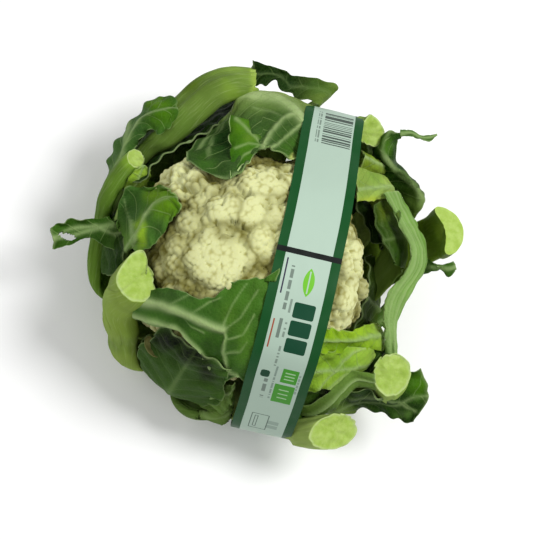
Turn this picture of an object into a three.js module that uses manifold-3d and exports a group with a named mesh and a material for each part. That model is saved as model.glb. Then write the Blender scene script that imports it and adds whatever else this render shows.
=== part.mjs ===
// Cauliflower: one head, sold whole with its trimmed outer leaves still on and a printed
// paper-film band wrapped once round the middle. It rests on the flat cut end of its stem.
// Units are millimetres, +Z is up, the origin is the centre of the flat stem cut.
import * as THREE from 'three'
import Module from 'manifold-3d'

// ---- driving dimensions -------------------------------------------------------------
const CURD_CENTRE = [-2, -3, 95]     // middle of the white head
const CURD_RADIUS = 83.5             // widest radius of the curd
const CURD_RISE = 65.5               // centre of the curd to its crown
const CURD_DROP = 46                 // centre of the curd to the underside of its branches
const CURD_SHAPE = 2.25              // superellipse exponent of the dome
const CURD_BUMP = 3.2                // depth of the florets on the dome
const CURD_RINGS = 15, CURD_SPOKES = 30
const STEM_RADIUS = 19               // cut stem, at the flat
const STEM_TOP_RADIUS = 22           // stem just under the curd
const STEM_HEIGHT = 48
const BAND_WIDTH = 44                // printed band, across
const BAND_THICK = 0.8
const BAND_OFFSET = 35               // band's middle plane, from the head's centre
const BAND_CENTRE = [0, 0, 85]
const BAND_NORMAL = [0.97368, -0.21421, 0.07789]   // the band's plane leans a little
const BAND_ACROSS = [0.21486, 0.97664, 0]
const BAND_UP = [-0.07608, 0.01674, 0.99696]
const CLEAR = 0.35                   // gap kept between neighbouring pieces

// ---- materials ------------------------------------------------------------------------
const tone = (name, hex, roughness) => {
  const m = new THREE.MeshStandardMaterial({ color: hex, roughness, metalness: 0 })
  m.name = name
  return m
}
const MAT = {
  curd: tone('curd_cream', 0xdcdc9e, 0.85),
  stem: tone('stem_pale', 0xbfd08e, 0.7),
  stub: tone('petiole_green', 0x9cb866, 0.55),
  outer: tone('leaf_dark', 0x3f6a3a, 0.6),
  inner: tone('leaf_mid', 0x5f8a45, 0.6),
  pale: tone('leaf_yellow_green', 0xa4c060, 0.6),
  dry: tone('dried_brown', 0x8a7a4c, 0.9),
  band: tone('band_film', 0xc8dccf, 0.35)
}

// ---- leaf data: each loft is a row of stations from the stem outwards to the tip; each
// station is a row of [x, y, z, thickness] points from one edge of the leaf to the other.
const LEAVES = [
  { name: 'leaf_top_draped', tone: 'inner', lofts: [
    [
      [[12.7,17.6,23.2,4],[9.6,18.1,22,7.2],[6.5,18.7,21.2,8.6],[3.4,19.2,21,9],[0.3,19.8,21.2,8.6],[-2.9,20.3,22,7.2],[-6,20.9,23.2,4]],
      [[24.3,54.6,22.7,4.2],[19.5,55.5,21.5,7.6],[14.8,56.3,20.7,9.1],[10.1,57.1,20.5,9.5],[5.3,58,20.7,9.1],[0.6,58.8,21.5,7.6],[-4.1,59.6,22.7,4.2]],
      [[30,76.7,34.7,4.2],[25.2,80.5,33.5,7.6],[20.2,83.2,32.7,9.1],[14.9,84.7,32.5,9.5],[9.5,85.1,32.7,9.1],[3.9,84.3,33.5,7.6],[-1.9,82.3,34.7,4.2]],
      [[32.1,92.5,55.2,4],[27.5,96,54,7.2],[22.7,98.5,53.2,8.6],[17.6,100,53,9],[12.4,100.3,53.2,8.6],[7,99.6,54,7.2],[1.4,97.9,55.2,4]],
      [[58.2,113.1,98,2.5],[37.3,115.6,108,2.6],[18.8,119.7,112,4.3],[3.9,118.3,113,7],[-6.1,112.6,112,4.3],[-14.5,105.9,110,2.6],[-22.7,99.6,107,2.5]],
      [[53.4,98.9,112,2.5],[33.5,101.8,119,2.6],[17.1,106.8,121,4],[2.7,105.8,121,6.1],[-7.6,101.7,122,4],[-15.7,98.5,119,2.6],[-27.7,90.9,113,2.5]],
      [[47.1,84.4,123,2.5],[30.6,87.5,126,2.6],[14.4,94,128,3.6],[1.4,92.8,129,5.2],[-7.5,90.7,131,3.6],[-18.6,85.5,125,2.6],[-33.9,79.7,118,2.5]],
      [[42.6,74.1,130,2.5],[28.1,75.8,131,2.5],[11.3,82.2,133,3.3],[0.4,79.3,135,4.4],[-8.4,77.3,137,3.3],[-19.7,71.3,133.4,2.5],[-40.2,65.1,130.9,2.5]],
      [[38.8,66.5,134,2.5],[24.2,66.4,136.1,2.5],[7.6,71.3,138,2.9],[-1.1,70,140,3.5],[-12.2,62.7,144.4,2.9],[-21.7,54.9,148.6,2.5],[-42.1,52.1,142.9,2.5]],
      [[35.5,63.4,136,2.5],[18.8,62.5,142.1,2.5],[3.9,70,139,2.5],[-3.5,66.4,141.6,2.6],[-16.3,47.8,153.8,2.5],[-23.2,42,155.2,2.5],[-33.6,41.6,152.6,2.5]]
    ],
    [
      [[-20,95.1,129,2.2],[-17.3,94.1,130,2.3],[-14.4,93.6,130,2.6],[-11.4,93.4,129,2.3],[-7.4,94.1,126,2.2]],
      [[-21.9,81.9,134,2.2],[-18,82.9,136,2.3],[-13.8,83.9,136,2.6],[-8.6,85,134,2.3],[-2.3,86.2,130,2.2]],
      [[-21.7,69.5,138,2.2],[-17.3,70.9,141,2.3],[-12.6,72.2,142,2.6],[-6.7,74.1,140,2.3],[0.9,74.5,136,2.2]],
      [[-22.8,56.2,146.9,2.2],[-19.4,57.9,146.6,2.3],[-15.3,60.2,147,2.6],[-11.1,62.9,146,2.3],[-4.1,66.5,141.1,2.2]],
      [[-23.9,41.2,155.3,2.2],[-21.7,44.6,153.9,2.3],[-18.9,47.9,153.2,2.6],[-15.2,52.3,151,2.3],[-10.1,57,148.8,2.2]]
    ]
  ] },
  { name: 'leaf_inner_left', tone: 'inner', lofts: [
    [
      [[-21.7,0.4,34.2,4],[-19.7,-3.9,32.5,8],[-17.7,-8.2,32,9],[-15.7,-12.5,32.5,8],[-13.7,-16.9,34.2,4]],
      [[-57.6,-13.6,33.2,4.2],[-55.1,-19.1,31.6,8.5],[-52.6,-24.5,31,9.5],[-50,-29.9,31.6,8.5],[-47.5,-35.4,33.2,4.2]],
      [[-80.3,-22.6,44.2,4.2],[-80,-29.8,42.5,8.5],[-77.9,-36.3,42,9.5],[-74.3,-42.1,42.5,8.5],[-68.9,-47,44.2,4.2]],
      [[-88.5,-26.9,64.2,4],[-88.1,-33.9,62.5,8],[-86.1,-40.1,62,9],[-82.6,-45.7,62.5,8],[-77.5,-50.5,64.2,4]],
      [[-89.2,14.2,86,2.5],[-88.6,5.7,86,3.1],[-91,0,86,7],[-89.4,1.6,87,3.1],[-89,3.4,88,2.5]],
      [[-96.4,30,94,2.5],[-91.3,22.6,95,3],[-83.7,9,126.6,6.1],[-79.8,3.8,130.6,3],[-75,-4.6,131.7,2.5]],
      [[-94.2,40.8,100,2.5],[-86.5,35.4,102,2.9],[-78.9,19.3,130.4,5.2],[-74.4,9.1,137.4,2.9],[-71.5,-1.9,137.6,2.5]],
      [[-89.7,47.8,104,2.5],[-81.3,41.4,107,2.7],[-73.8,25.7,133.6,4.4],[-68.3,13.4,142.9,2.7],[-66,5.3,142.5,2.5]],
      [[-80.1,47.4,107,2.5],[-73.6,43,115,2.6],[-67.5,30.5,137.5,3.5],[-62,19.7,146.2,2.6],[-61.8,12.3,145.4,2.5]],
      [[-65.3,39.8,133.2,2.5],[-61.8,34.9,140.2,2.5],[-58.2,29.1,145.8,2.6],[-56.4,22.5,149.3,2.5],[-57.5,17.9,148.3,2.5]]
    ]
  ] },
  { name: 'leaf_inner_left_curl', tone: 'pale', lofts: [
    [
      [[-18.8,10.3,34.2,4],[-19.1,5.8,32.5,8],[-19.5,1.4,32,9],[-19.8,-3.1,32.5,8],[-20.1,-7.6,34.2,4]],
      [[-57.1,14.8,33.2,4.2],[-57.5,9.4,31.6,8.5],[-57.9,4,31,9.5],[-58.2,-1.3,31.6,8.5],[-58.6,-6.7,33.2,4.2]],
      [[-82,17.9,44.2,4.2],[-84.6,12,42.5,8.5],[-85.8,6,42,9.5],[-85.5,-0.1,42.5,8.5],[-83.7,-6.3,44.2,4.2]],
      [[-91.2,18.1,64.2,4],[-93.7,12.4,62.5,8],[-94.8,6.6,62,9],[-94.5,0.7,62.5,8],[-92.9,-5.2,64.2,4]],
      [[-92,49.3,92,2.5],[-89.3,50.3,94,3],[-85.9,51.4,96,6],[-80.9,51.6,96,3],[-76.7,52.6,96,2.5]],
      [[-89.8,54,103,2.5],[-86.5,55.1,105,2.7],[-82.4,56.4,106,4.3],[-78.2,56.7,106,2.7],[-74.6,57.2,105,2.5]],
      [[-86.7,58.8,107,2.5],[-83.4,60.5,109,2.5],[-80,62.6,110,2.6],[-77.2,61.3,110,2.5],[-75.7,59.5,109,2.5]]
    ]
  ] },
  { name: 'leaf_lower_left_draped', tone: 'inner', lofts: [
    [
      [[-21.5,-3,12.2,4],[-18.8,-7,10.6,8],[-16.2,-10.9,10,9],[-13.5,-14.8,10.6,8],[-10.9,-18.8,12.2,4]],
      [[-57.5,-18.5,12.2,4.2],[-52.8,-25.5,10.6,8.5],[-48.1,-32.4,10,9.5],[-43.4,-39.4,10.6,8.5],[-38.7,-46.4,12.2,4.2]],
      [[-75.9,-28.4,25.2,4.2],[-75.1,-39.3,23.6,8.5],[-71.3,-48.1,23,9.5],[-64.5,-54.9,23.6,8.5],[-54.8,-59.8,25.2,4.2]],
      [[-94.2,-41.6,46.2,4],[-93.3,-51.9,44.5,8],[-89.5,-60.4,44,9],[-83.1,-67,44.5,8],[-73.9,-71.8,46.2,4]],
      [[-93.6,-38.1,56.1,5.7],[-91.9,-44.5,59.2,15.8],[-89.1,-50.2,62.1,18],[-85.2,-55.3,64.9,15.8],[-80.2,-59.9,67.6,5.7]],
      [[-99,-32.1,70.5,6.3],[-95.7,-38.4,74.6,17.6],[-91.4,-44,78.4,20],[-86.1,-49.1,81.6,17.6],[-79.7,-53.5,84.4,6.3]],
      [[-97.3,-21.5,79.9,6.6],[-93.6,-27.2,84.7,18.5],[-93.6,-34.1,88.7,21],[-90.2,-40.5,91.8,18.5],[-81.5,-44.8,94,6.6]],
      [[-91.2,-8.7,91.2,6.3],[-87.6,-21.9,129.2,17.6],[-83.1,-26.8,133.7,20],[-77.7,-31.1,136.1,17.6],[-71.6,-34.8,136.4,6.3]],
      [[-82.2,-4.8,130,5.1],[-80,-10.4,140.4,14.1],[-76.8,-14,143.5,16],[-72.8,-17.1,145.1,14.1],[-68,-19.6,144.7,5.1]]
    ],
    [
      [[-74.2,-32.6,130.8,2.5],[-75.3,-35.3,127.6,2.7],[-76.3,-38.7,124.3,4],[-76.5,-41.7,119,2.7],[-77.3,-44.4,112.1,2.5]],
      [[-65.7,-32.4,140.6,2.5],[-66,-37.9,137.8,2.7],[-66.3,-43.4,135,3.8],[-67.2,-47.1,130.2,2.7],[-67.5,-50.4,126,2.5]],
      [[-55.8,-35.6,147.4,2.5],[-55.4,-42.4,144.6,2.6],[-54.4,-48.6,142.5,3.6],[-55.1,-53.6,137.5,2.6],[-57.2,-57.3,132.1,2.5]],
      [[-45,-40.8,151.3,2.5],[-43.3,-47.5,148.7,2.6],[-41.6,-54.9,146.2,3.5],[-42.7,-62.2,139.3,2.6],[-47.8,-65.7,131.9,2.5]],
      [[-35,-40.6,155.3,2.5],[-31.9,-49.8,152.3,2.6],[-27.9,-60,147.6,3.3],[-30.6,-69.1,139,2.6],[-37.7,-75.2,126.7,2.5]],
      [[-22,-30.6,160.5,2.5],[-20.2,-44.5,157.3,2.6],[-21.3,-62.5,147.8,3.1],[-25.2,-72.1,137.9,2.6],[-30,-86.4,92,2.5]],
      [[-10.5,-29.3,162.4,2.5],[-11.3,-40.6,159.2,2.6],[-12.1,-57.8,152.4,3],[-17.5,-72.2,139.8,2.6],[-22.3,-88.1,94,2.5]],
      [[-1.3,-27.6,162.6,2.5],[-4.4,-36.8,161.2,2.5],[-8.1,-51.7,155.7,2.8],[-10,-69.9,143.3,2.5],[-13.5,-86.6,117.5,2.5]],
      [[7.1,-21.5,163.6,2.5],[4.3,-35.7,160.8,2.5],[-1.3,-53.2,154.8,2.6],[-3.8,-72.1,141.8,2.5],[-6.4,-88.9,111.3,2.5]]
    ]
  ] },
  { name: 'leaf_inner_lower_right_a', tone: 'pale', lofts: [
    [
      [[12.4,-17.8,34.2,4],[14.8,-13.6,32.5,8],[17.1,-9.5,32,9],[19.4,-5.3,32.5,8],[21.7,-1.1,34.2,4]],
      [[44.9,-38.6,33.2,4.2],[47.8,-33.4,31.6,8.5],[50.7,-28.1,31,9.5],[53.6,-22.9,31.6,8.5],[56.5,-17.6,33.2,4.2]],
      [[65.5,-51.7,44.2,4.2],[71.1,-47.2,42.5,8.5],[75.2,-41.7,42,9.5],[77.7,-35.3,42.5,8.5],[78.6,-28.1,44.2,4.2]],
      [[73.8,-55.8,64.2,4],[79.2,-51.3,62.5,8],[83.1,-46.1,62,9],[85.5,-40,62.5,8],[86.4,-33,64.2,4]],
      [[98.3,-60.3,84,2.5],[97.3,-55.2,88,3],[95.4,-49.8,90,6],[94,-45.5,90,3],[93.2,-40.7,88,2.5]],
      [[82.5,-62,99,2.5],[80.8,-57.7,103,2.8],[79.4,-54,106,5.2],[77.8,-50,107,2.8],[78.4,-45.3,105,2.5]],
      [[64.4,-65.5,108,2.5],[63.7,-61.8,111,2.7],[62.1,-59,118.2,4.3],[61.3,-56.8,121.4,2.7],[60.4,-54.9,125.6,2.5]],
      [[48.7,-68.9,120.8,2.5],[48,-65.9,127.2,2.6],[47.5,-62.8,132.7,3.5],[47.7,-59.8,134.8,2.6],[47.7,-55.7,138.4,2.5]],
      [[36.8,-71,130.5,2.5],[36.7,-67.6,134.6,2.5],[36.6,-64.2,138.3,2.6],[37.6,-61.2,140.5,2.5],[38.4,-57,143.3,2.5]]
    ]
  ] },
  { name: 'leaf_inner_lower_right_b', tone: 'pale', lofts: [
    [
      [[5.3,-21,34.2,4],[8.9,-18,32.5,8],[12.5,-14.9,32,9],[16.2,-11.9,32.5,8],[19.8,-8.8,34.2,4]],
      [[28.1,-52.1,33.2,4.2],[32.7,-48.3,31.6,8.5],[37.3,-44.4,31,9.5],[41.9,-40.6,31.6,8.5],[46.5,-36.7,33.2,4.2]],
      [[42.6,-71.8,44.2,4.2],[49.5,-69.5,42.5,8.5],[55.3,-65.9,42,9.5],[59.9,-60.8,42.5,8.5],[63.3,-54.4,44.2,4.2]],
      [[48.9,-78.5,64.2,4],[55.5,-76.3,62.5,8],[61.1,-72.8,62,9],[65.5,-67.9,62.5,8],[68.9,-61.8,64.2,4]],
      [[75.2,-77.3,86,2.5],[80.4,-74,89,3],[84.4,-70.6,91,6],[87.4,-66.2,91,3],[91.2,-61.2,88,2.5]],
      [[62,-87.1,92,2.5],[66.5,-81.5,98,2.8],[69.9,-75.7,102,5.2],[73.9,-68.8,104,2.8],[78.3,-60.8,104,2.5]],
      [[51.7,-90.7,96,2.5],[54.1,-84.5,102,2.7],[57.5,-78,106,4.3],[61.2,-70,109,2.7],[65.4,-62.3,110,2.5]],
      [[42,-91.9,98,2.5],[43,-85.8,104,2.6],[44.8,-78.9,109,3.5],[46.3,-72.9,115.5,2.6],[47.1,-68.2,124.5,2.5]],
      [[34.9,-92.8,98,2.5],[35.2,-86.7,104,2.5],[36.7,-80,110.6,2.6],[36.8,-75.3,123.8,2.5],[38.1,-69.7,131.2,2.5]]
    ]
  ] },
  { name: 'leaf_inner_upper_right', tone: 'pale', lofts: [
    [
      [[21.6,-1.5,34.2,4],[19.9,2.9,32.5,8],[18.1,7.3,32,9],[16.3,11.7,32.5,8],[14.5,16.1,34.2,4]],
      [[58.3,10.6,33.2,4.2],[56,16.2,31.6,8.5],[53.8,21.7,31,9.5],[51.5,27.3,31.6,8.5],[49.3,32.9,33.2,4.2]],
      [[81.4,18.3,44.2,4.2],[81.4,25.6,42.5,8.5],[79.7,32.2,42,9.5],[76.4,38.1,42.5,8.5],[71.3,43.4,44.2,4.2]],
      [[89.8,22.3,64.2,4],[89.7,29.2,62.5,8],[88.1,35.6,62,9],[84.9,41.3,62.5,8],[80.1,46.4,64.2,4]],
      [[100.2,51.8,98,2.5],[100.2,54.7,101,3],[100.1,58.2,102,6],[98.7,62.7,102,3],[96.8,67.6,101,2.5]],
      [[85.1,45.1,112,2.5],[85.4,49,114,2.7],[85.2,53.2,115,4.3],[84.6,59.2,115,2.7],[83.8,65.1,113,2.5]],
      [[71.7,40.3,118,2.5],[71.3,44.9,120,2.5],[71.1,49,121,2.6],[71.6,58.3,120,2.5],[73.7,67.4,118,2.5]]
    ]
  ] },
  { name: 'leaf_inner_right', tone: 'inner', lofts: [
    [
      [[18.2,-11.8,34.2,4],[18.8,-7.1,32.5,8],[19.4,-2.4,32,9],[19.9,2.3,32.5,8],[20.5,7.1,34.2,4]],
      [[56.1,-19,33.2,4.2],[56.8,-13,31.6,8.5],[57.6,-7.1,31,9.5],[58.3,-1.1,31.6,8.5],[59,4.8,33.2,4.2]],
      [[80.1,-23.4,44.2,4.2],[83.6,-17.1,42.5,8.5],[85.4,-10.5,42,9.5],[85.3,-3.7,42.5,8.5],[83.4,3.4,44.2,4.2]],
      [[89.4,-24.1,64.2,4],[92.7,-17.9,62.5,8],[94.3,-11.6,62,9],[94.2,-5,62.5,8],[92.5,1.7,64.2,4]],
      [[113.4,1.3,84,2.5],[116.9,13.7,84,3],[116.5,26.7,84,6],[113.1,42,84,3],[106.6,53.5,86,2.5]],
      [[107.1,-0.1,98,2.5],[107,9.3,102,2.7],[103.8,19.8,104,4.3],[97.9,33.6,105,2.7],[92.2,46.1,105,2.5]],
      [[99.2,0.7,108,2.5],[95.7,7.4,113,2.5],[91,14.7,115,2.6],[85.8,26,116,2.5],[83.2,39.3,116,2.5]]
    ]
  ] },
  { name: 'leaf_right_strap', tone: 'stub', lofts: [
    [
      [[8.1,-20.1,23.2,4],[11.3,-16.6,21.6,8],[14.5,-13,21,9],[17.7,-9.5,21.6,8],[20.8,-6,23.2,4]],
      [[31.9,-51.3,22.7,4.2],[37.5,-45.1,21.1,8.5],[43.1,-38.8,20.5,9.5],[48.7,-32.6,21.1,8.5],[54.3,-26.3,22.7,4.2]],
      [[46,-66.8,34.7,4.2],[56.3,-63.4,33,8.5],[63.9,-57.5,32.5,9.5],[68.9,-49.3,33,8.5],[71.2,-38.7,34.7,4.2]],
      [[58.3,-77,55.2,4],[68.1,-73.6,53.5,8],[75.4,-67.9,53,9],[80.3,-60,53.5,8],[82.7,-50,55.2,4]],
      [[96.3,-92.9,66.9,6.3],[101.1,-89.4,63.6,17.6],[105.5,-85.2,61.3,20],[109.4,-80.2,59.8,17.6],[112.9,-74.4,59.2,6.3]],
      [[91.9,-90.7,81.9,7.6],[97.8,-86.2,82.2,21.1],[102.8,-80.9,82.2,24],[106.8,-74.8,82,21.1],[109.9,-68,81.4,7.6]],
      [[88.1,-88.1,102.2,8.2],[93.8,-83.6,102.8,22.9],[98.5,-78.5,103.2,26],[102.3,-72.6,103.3,22.9],[105.2,-65.9,103.1,8.2]]
    ],
    [
      [[100.5,-75.6,80,3],[101.9,-75.6,80,3.5],[104.2,-75.5,80,7],[106.7,-75.3,79,3.5],[109.5,-74.9,77,3]],
      [[97.8,-61.5,91,3],[99.3,-61.5,91,3.5],[101.8,-61.3,90,6.6],[104.3,-61,89,3.5],[107.7,-60.9,85,3]],
      [[94.6,-51.2,101,3],[96.1,-51.1,101,3.4],[98.6,-50.9,100,6.1],[101.3,-51.1,98,3.4],[105,-50.1,93,3]],
      [[91.6,-37.5,108,3],[94.5,-37.4,108,3.3],[98.4,-37.8,107,5.7],[102.2,-37.8,104,3.3],[106.8,-37.8,98,3]],
      [[96,-20.9,112,3],[99.7,-21.5,112,3.3],[103.9,-20.8,110,5.2],[110.3,-18.9,106,3.3],[117.2,-15.4,98,3]],
      [[108.6,-4.6,113,3],[111.6,-4.4,113,3.2],[115.5,-3.5,110,4.8],[120.4,-2.3,106,3.2],[125.9,-0.1,98,3]],
      [[111.6,7.1,114,3],[113.9,7.2,114,3.2],[117.8,8.2,111,4.3],[122,9.4,107,3.2],[127.5,11.8,99,3]],
      [[105.2,22.8,115,3],[108.1,22.9,115,3.1],[111.7,22.9,113,3.9],[116.6,24.3,109,3.1],[121.5,26.2,103,3]],
      [[98.5,38.4,114,3],[101.1,37.5,115,3.1],[104.7,37.6,113,3.4],[110,38,110,3.1],[115.2,38.2,105,3]],
      [[92.6,49.3,112,3],[95.4,50.6,113,3],[99.4,51.9,112,3],[103.7,52.8,110,3],[107.6,53.2,107,3]]
    ]
  ] },
  { name: 'leaf_upper_right_curl', tone: 'pale', lofts: [
    [
      [[20.4,6.7,34.2,4],[17.3,10,32.5,8],[14.3,13.3,32,9],[11.2,16.6,32.5,8],[8.1,19.9,34.2,4]],
      [[49.8,31.7,33.2,4.2],[46.1,35.6,31.6,8.5],[42.4,39.6,31,9.5],[38.7,43.5,31.6,8.5],[35.1,47.5,33.2,4.2]],
      [[69,47.8,44.2,4.2],[66.5,53.7,42.5,8.5],[62.9,58.7,42,9.5],[58.2,62.6,42.5,8.5],[52.5,65.5,44.2,4.2]],
      [[75.5,54.4,64.2,4],[73,60,62.5,8],[69.5,64.8,62,9],[65,68.6,62.5,8],[59.5,71.5,64.2,4]],
      [[99.6,71.1,91,2.2],[99.6,73.2,94,2.6],[100.1,76,95,5],[100.2,78.4,95,2.6],[99.8,81,94,2.2]],
      [[91.5,67.8,104,2.2],[91.2,70.3,108,2.4],[91,73.8,109,3.8],[90.3,76,109,2.4],[89.1,77.9,108,2.2]],
      [[76.4,67.2,110,2.2],[77,72,114,2.3],[78.3,76.3,115,2.6],[78.4,79.4,115,2.3],[77.2,81.9,114,2.2]]
    ]
  ] },
  { name: 'leaf_outer_upper_left', tone: 'outer', lofts: [
    [
      [[-9.5,19.5,12.2,4],[-12.4,15.7,10.6,8],[-15.4,12,10,9],[-18.3,8.3,10.6,8],[-21.2,4.5,12.2,4]],
      [[-36.8,47.1,12.2,4.2],[-41.3,41.4,10.6,8.5],[-45.7,35.7,10,9.5],[-50.1,30,10.6,8.5],[-54.6,24.4,12.2,4.2]],
      [[-53.7,62.5,25.2,4.2],[-61.7,58.5,23.6,8.5],[-67.8,52.9,23,9.5],[-71.7,45.8,23.6,8.5],[-73.6,36.9,25.2,4.2]],
      [[-71.7,75.8,46.2,4],[-79.3,71.9,44.5,8],[-85.1,66.5,44,9],[-88.9,59.6,44.5,8],[-90.9,51.2,46.2,4]],
      [[-102.4,62,58,3],[-101.3,60.3,68,3.8],[-99.4,60.9,76,9],[-96.8,63.1,79,3.8],[-94,66,80,3]],
      [[-102.5,76.4,66,3],[-99.2,74,78,3.6],[-95.3,73.7,86,8],[-91.2,75.6,90,3.6],[-87.1,78.2,92,3]],
      [[-97.4,94,72,3],[-92.8,91.5,84,3.5],[-88.3,91.1,94,7],[-84.2,89.9,98,3.5],[-80.7,86.3,100,3]],
      [[-86.4,107.3,78,3],[-83.4,103.7,90,3.4],[-80.4,101.6,100,6],[-77.7,97.2,104,3.4],[-75.4,92,104,3]],
      [[-76.4,118.9,88,3],[-74.2,111.2,100,3.3],[-71.1,103.2,109,5],[-66.9,96.3,112,3.3],[-67.9,86.8,109,3]],
      [[-66.4,119.4,100,3],[-64,112.9,107,3.1],[-62.1,105.7,112,4],[-60.7,100.1,113,3.1],[-63.1,91.3,110,3]],
      [[-55.9,112.7,105,3],[-56.1,109.2,108,3],[-55.6,106.2,110,3],[-56.3,102.7,111,3],[-57.6,100,110,3]]
    ]
  ] },
  { name: 'leaf_stub_upper_left', tone: 'stub', lofts: [
    [
      [[-14,16.6,23.2,4],[-15.9,12.3,21.6,8],[-17.8,7.9,21,9],[-19.7,3.6,21.6,8],[-21.7,-0.7,23.2,4]],
      [[-46.2,38.9,22.7,4.2],[-49.6,31.3,21.1,8.5],[-53,23.6,20.5,9.5],[-56.4,15.9,21.1,8.5],[-59.8,8.2,22.7,4.2]],
      [[-64.4,49.3,34.7,4.2],[-73.1,42.9,33,8.5],[-78.6,35,32.5,9.5],[-80.8,25.6,33,8.5],[-79.7,14.8,34.7,4.2]],
      [[-79.3,55.2,55.2,4],[-87.5,48.9,53.5,8],[-92.7,41.3,53,9],[-94.9,32.3,53.5,8],[-94.1,22,55.2,4]],
      [[-74.7,91.4,68.7,5.1],[-76.2,88.8,73.6,14.1],[-76.5,85.7,78.3,16],[-75.7,82.3,82.5,14.1],[-73.7,78.6,86.5,5.1]],
      [[-63.6,102.9,81,6.3],[-64.5,98.4,86.6,17.6],[-64.4,93.4,91.5,20],[-63.4,88,95.8,17.6],[-61.5,82,99.4,6.3]],
      [[-50.6,119.6,89.7,7],[-49.4,114.6,96.1,19.4],[-47.4,109.1,101.7,22],[-44.6,103.3,106.4,19.4],[-41,97,110.3,7]],
      [[-35.9,133.3,96.4,7],[-34,128.4,103,19.4],[-31.5,123,108.8,22],[-28.5,116.9,113.5,19.4],[-24.9,110.3,117.3,7]],
      [[-19.3,139.8,96.1,6.3],[-17.2,135.4,102.4,17.6],[-15.1,130.2,107.8,20],[-12.8,124.2,112.2,17.6],[-10.3,117.4,115.6,6.3]],
      [[-4.1,139.3,95.3,5.4],[-2.8,136.3,100.9,15],[-1.4,132.4,105.7,17],[-0.1,127.7,109.6,15],[1.3,122.1,112.6,5.4]]
    ]
  ] },
  { name: 'leaf_stub_left', tone: 'stub', lofts: [
    [
      [[-19.8,8.8,12.2,4],[-19.7,4.1,10.6,8],[-19.5,-0.7,10,9],[-19.3,-5.4,10.6,8],[-19.2,-10.2,12.2,4]],
      [[-58.4,11.2,12.2,4.2],[-58.2,4.6,10.6,8.5],[-58,-2,10,9.5],[-57.7,-8.6,10.6,8.5],[-57.5,-15.2,12.2,4.2]],
      [[-82.1,12,25.2,4.2],[-85.1,4.5,23.6,8.5],[-85.9,-3,23,9.5],[-84.6,-10.4,23.6,8.5],[-81,-17.7,25.2,4.2]],
      [[-104.3,10.7,46.2,4],[-107.2,3.4,44.5,8],[-107.9,-3.8,44,9],[-106.7,-10.9,44.5,8],[-103.3,-17.9,46.2,4]],
      [[-103.2,41.4,59.7,3.8],[-104.7,38.9,62.9,10.6],[-105,36.3,66.1,12],[-104.1,33.8,69.1,10.6],[-101.9,31.3,72,3.8]],
      [[-101.9,51.1,79.2,3.8],[-103.4,47.9,81.8,10.6],[-103.8,44.6,84.2,12],[-102.9,41.3,86.3,10.6],[-100.8,37.8,88.1,3.8]],
      [[-97.3,61.3,88.6,3.8],[-97.9,58.7,91.9,10.6],[-97.3,56,94.5,12],[-95.7,53.2,96.5,10.6],[-93.1,50.2,97.8,3.8]],
      [[-90.9,69.2,95.8,3.8],[-91.3,66.6,99.1,10.6],[-90.8,63.8,101.6,12],[-89.3,60.8,103.3,10.6],[-86.9,57.5,104.3,3.8]],
      [[-84,74.5,100.8,3.8],[-84.5,72.1,104.1,10.6],[-84.1,69.3,106.7,12],[-82.9,66.1,108.4,10.6],[-80.7,62.6,109.3,3.8]]
    ]
  ] },
  { name: 'leaf_outer_lower_left', tone: 'outer', lofts: [
    [
      [[-15.6,-15.1,12.2,4],[-11.1,-16.7,10.6,8],[-6.7,-18.3,10,9],[-2.2,-19.9,10.6,8],[2.3,-21.6,12.2,4]],
      [[-34.5,-49.2,12.2,4.2],[-27.2,-51.8,10.6,8.5],[-19.8,-54.5,10,9.5],[-12.5,-57.2,10.6,8.5],[-5.2,-59.8,12.2,4.2]],
      [[-43.8,-69,25.2,4.2],[-37.1,-76.4,23.6,8.5],[-29.4,-80.8,23,9.5],[-20.6,-82.4,23.6,8.5],[-10.8,-81,25.2,4.2]],
      [[-50.9,-90.3,46.2,4],[-44.4,-97.3,44.5,8],[-36.9,-101.5,44,9],[-28.5,-103,44.5,8],[-19.1,-101.9,46.2,4]],
      [[-14.9,-110.7,52,3],[-12.5,-106.8,56,3.8],[-11.2,-101.8,62,9],[-10.9,-97.1,70,3.8],[-10.9,-91.4,80,3]],
      [[-28,-100.2,58,3],[-26.2,-96.9,60,3.6],[-24,-94,66,7.8],[-19.6,-90.3,76,3.6],[-15.6,-89.2,86,3]],
      [[-43.2,-92.1,64,3],[-42.3,-88.2,62,3.5],[-39.9,-85.1,66,6.6],[-35.1,-82.6,74,3.5],[-31.7,-84,84,3]],
      [[-59.4,-82.3,68,3],[-57.2,-77,66,3.3],[-53.2,-72.1,68,5.4],[-49.5,-69.2,74,3.3],[-50.9,-73.6,82,3]],
      [[-71.1,-68.7,70,3],[-67.6,-63.2,68,3.2],[-63.5,-58.2,69,4.2],[-62.4,-57.8,74,3.2],[-64.4,-60.5,80,3]],
      [[-76.5,-56.3,72,3],[-75.1,-53.9,71,3],[-72.5,-52,73,3],[-69.9,-50.4,76,3],[-71.1,-52.7,80,3]]
    ],
    [
      [[-31.4,-94.6,74,2.5],[-30.6,-95.1,73,2.6],[-29.6,-96.3,71,3],[-28.7,-97.4,69,2.6],[-27.6,-99.1,66,2.5]],
      [[-23.1,-87.6,86,2.5],[-22.1,-90.1,84,2.5],[-20.8,-93.7,80,2.9],[-19,-98.3,72,2.5],[-17,-104.1,62,2.5]],
      [[-16.5,-89.3,92,2.5],[-15,-90,89,2.5],[-14.6,-93.7,86,2.7],[-13.4,-98.2,78,2.5],[-12.3,-102.1,70,2.5]],
      [[-13.3,-89,106.8,2.5],[-11.7,-90.3,94,2.5],[-12.1,-90.4,93,2.6],[-12.3,-91.4,90,2.5],[-12.5,-93.7,86,2.5]]
    ]
  ] },
  { name: 'leaf_inner_bottom', tone: 'pale', lofts: [
    [
      [[-3,-21.5,34.2,4],[1.5,-20,32.5,8],[6,-18.5,32,9],[10.5,-17.1,32.5,8],[15.1,-15.6,34.2,4]],
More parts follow.
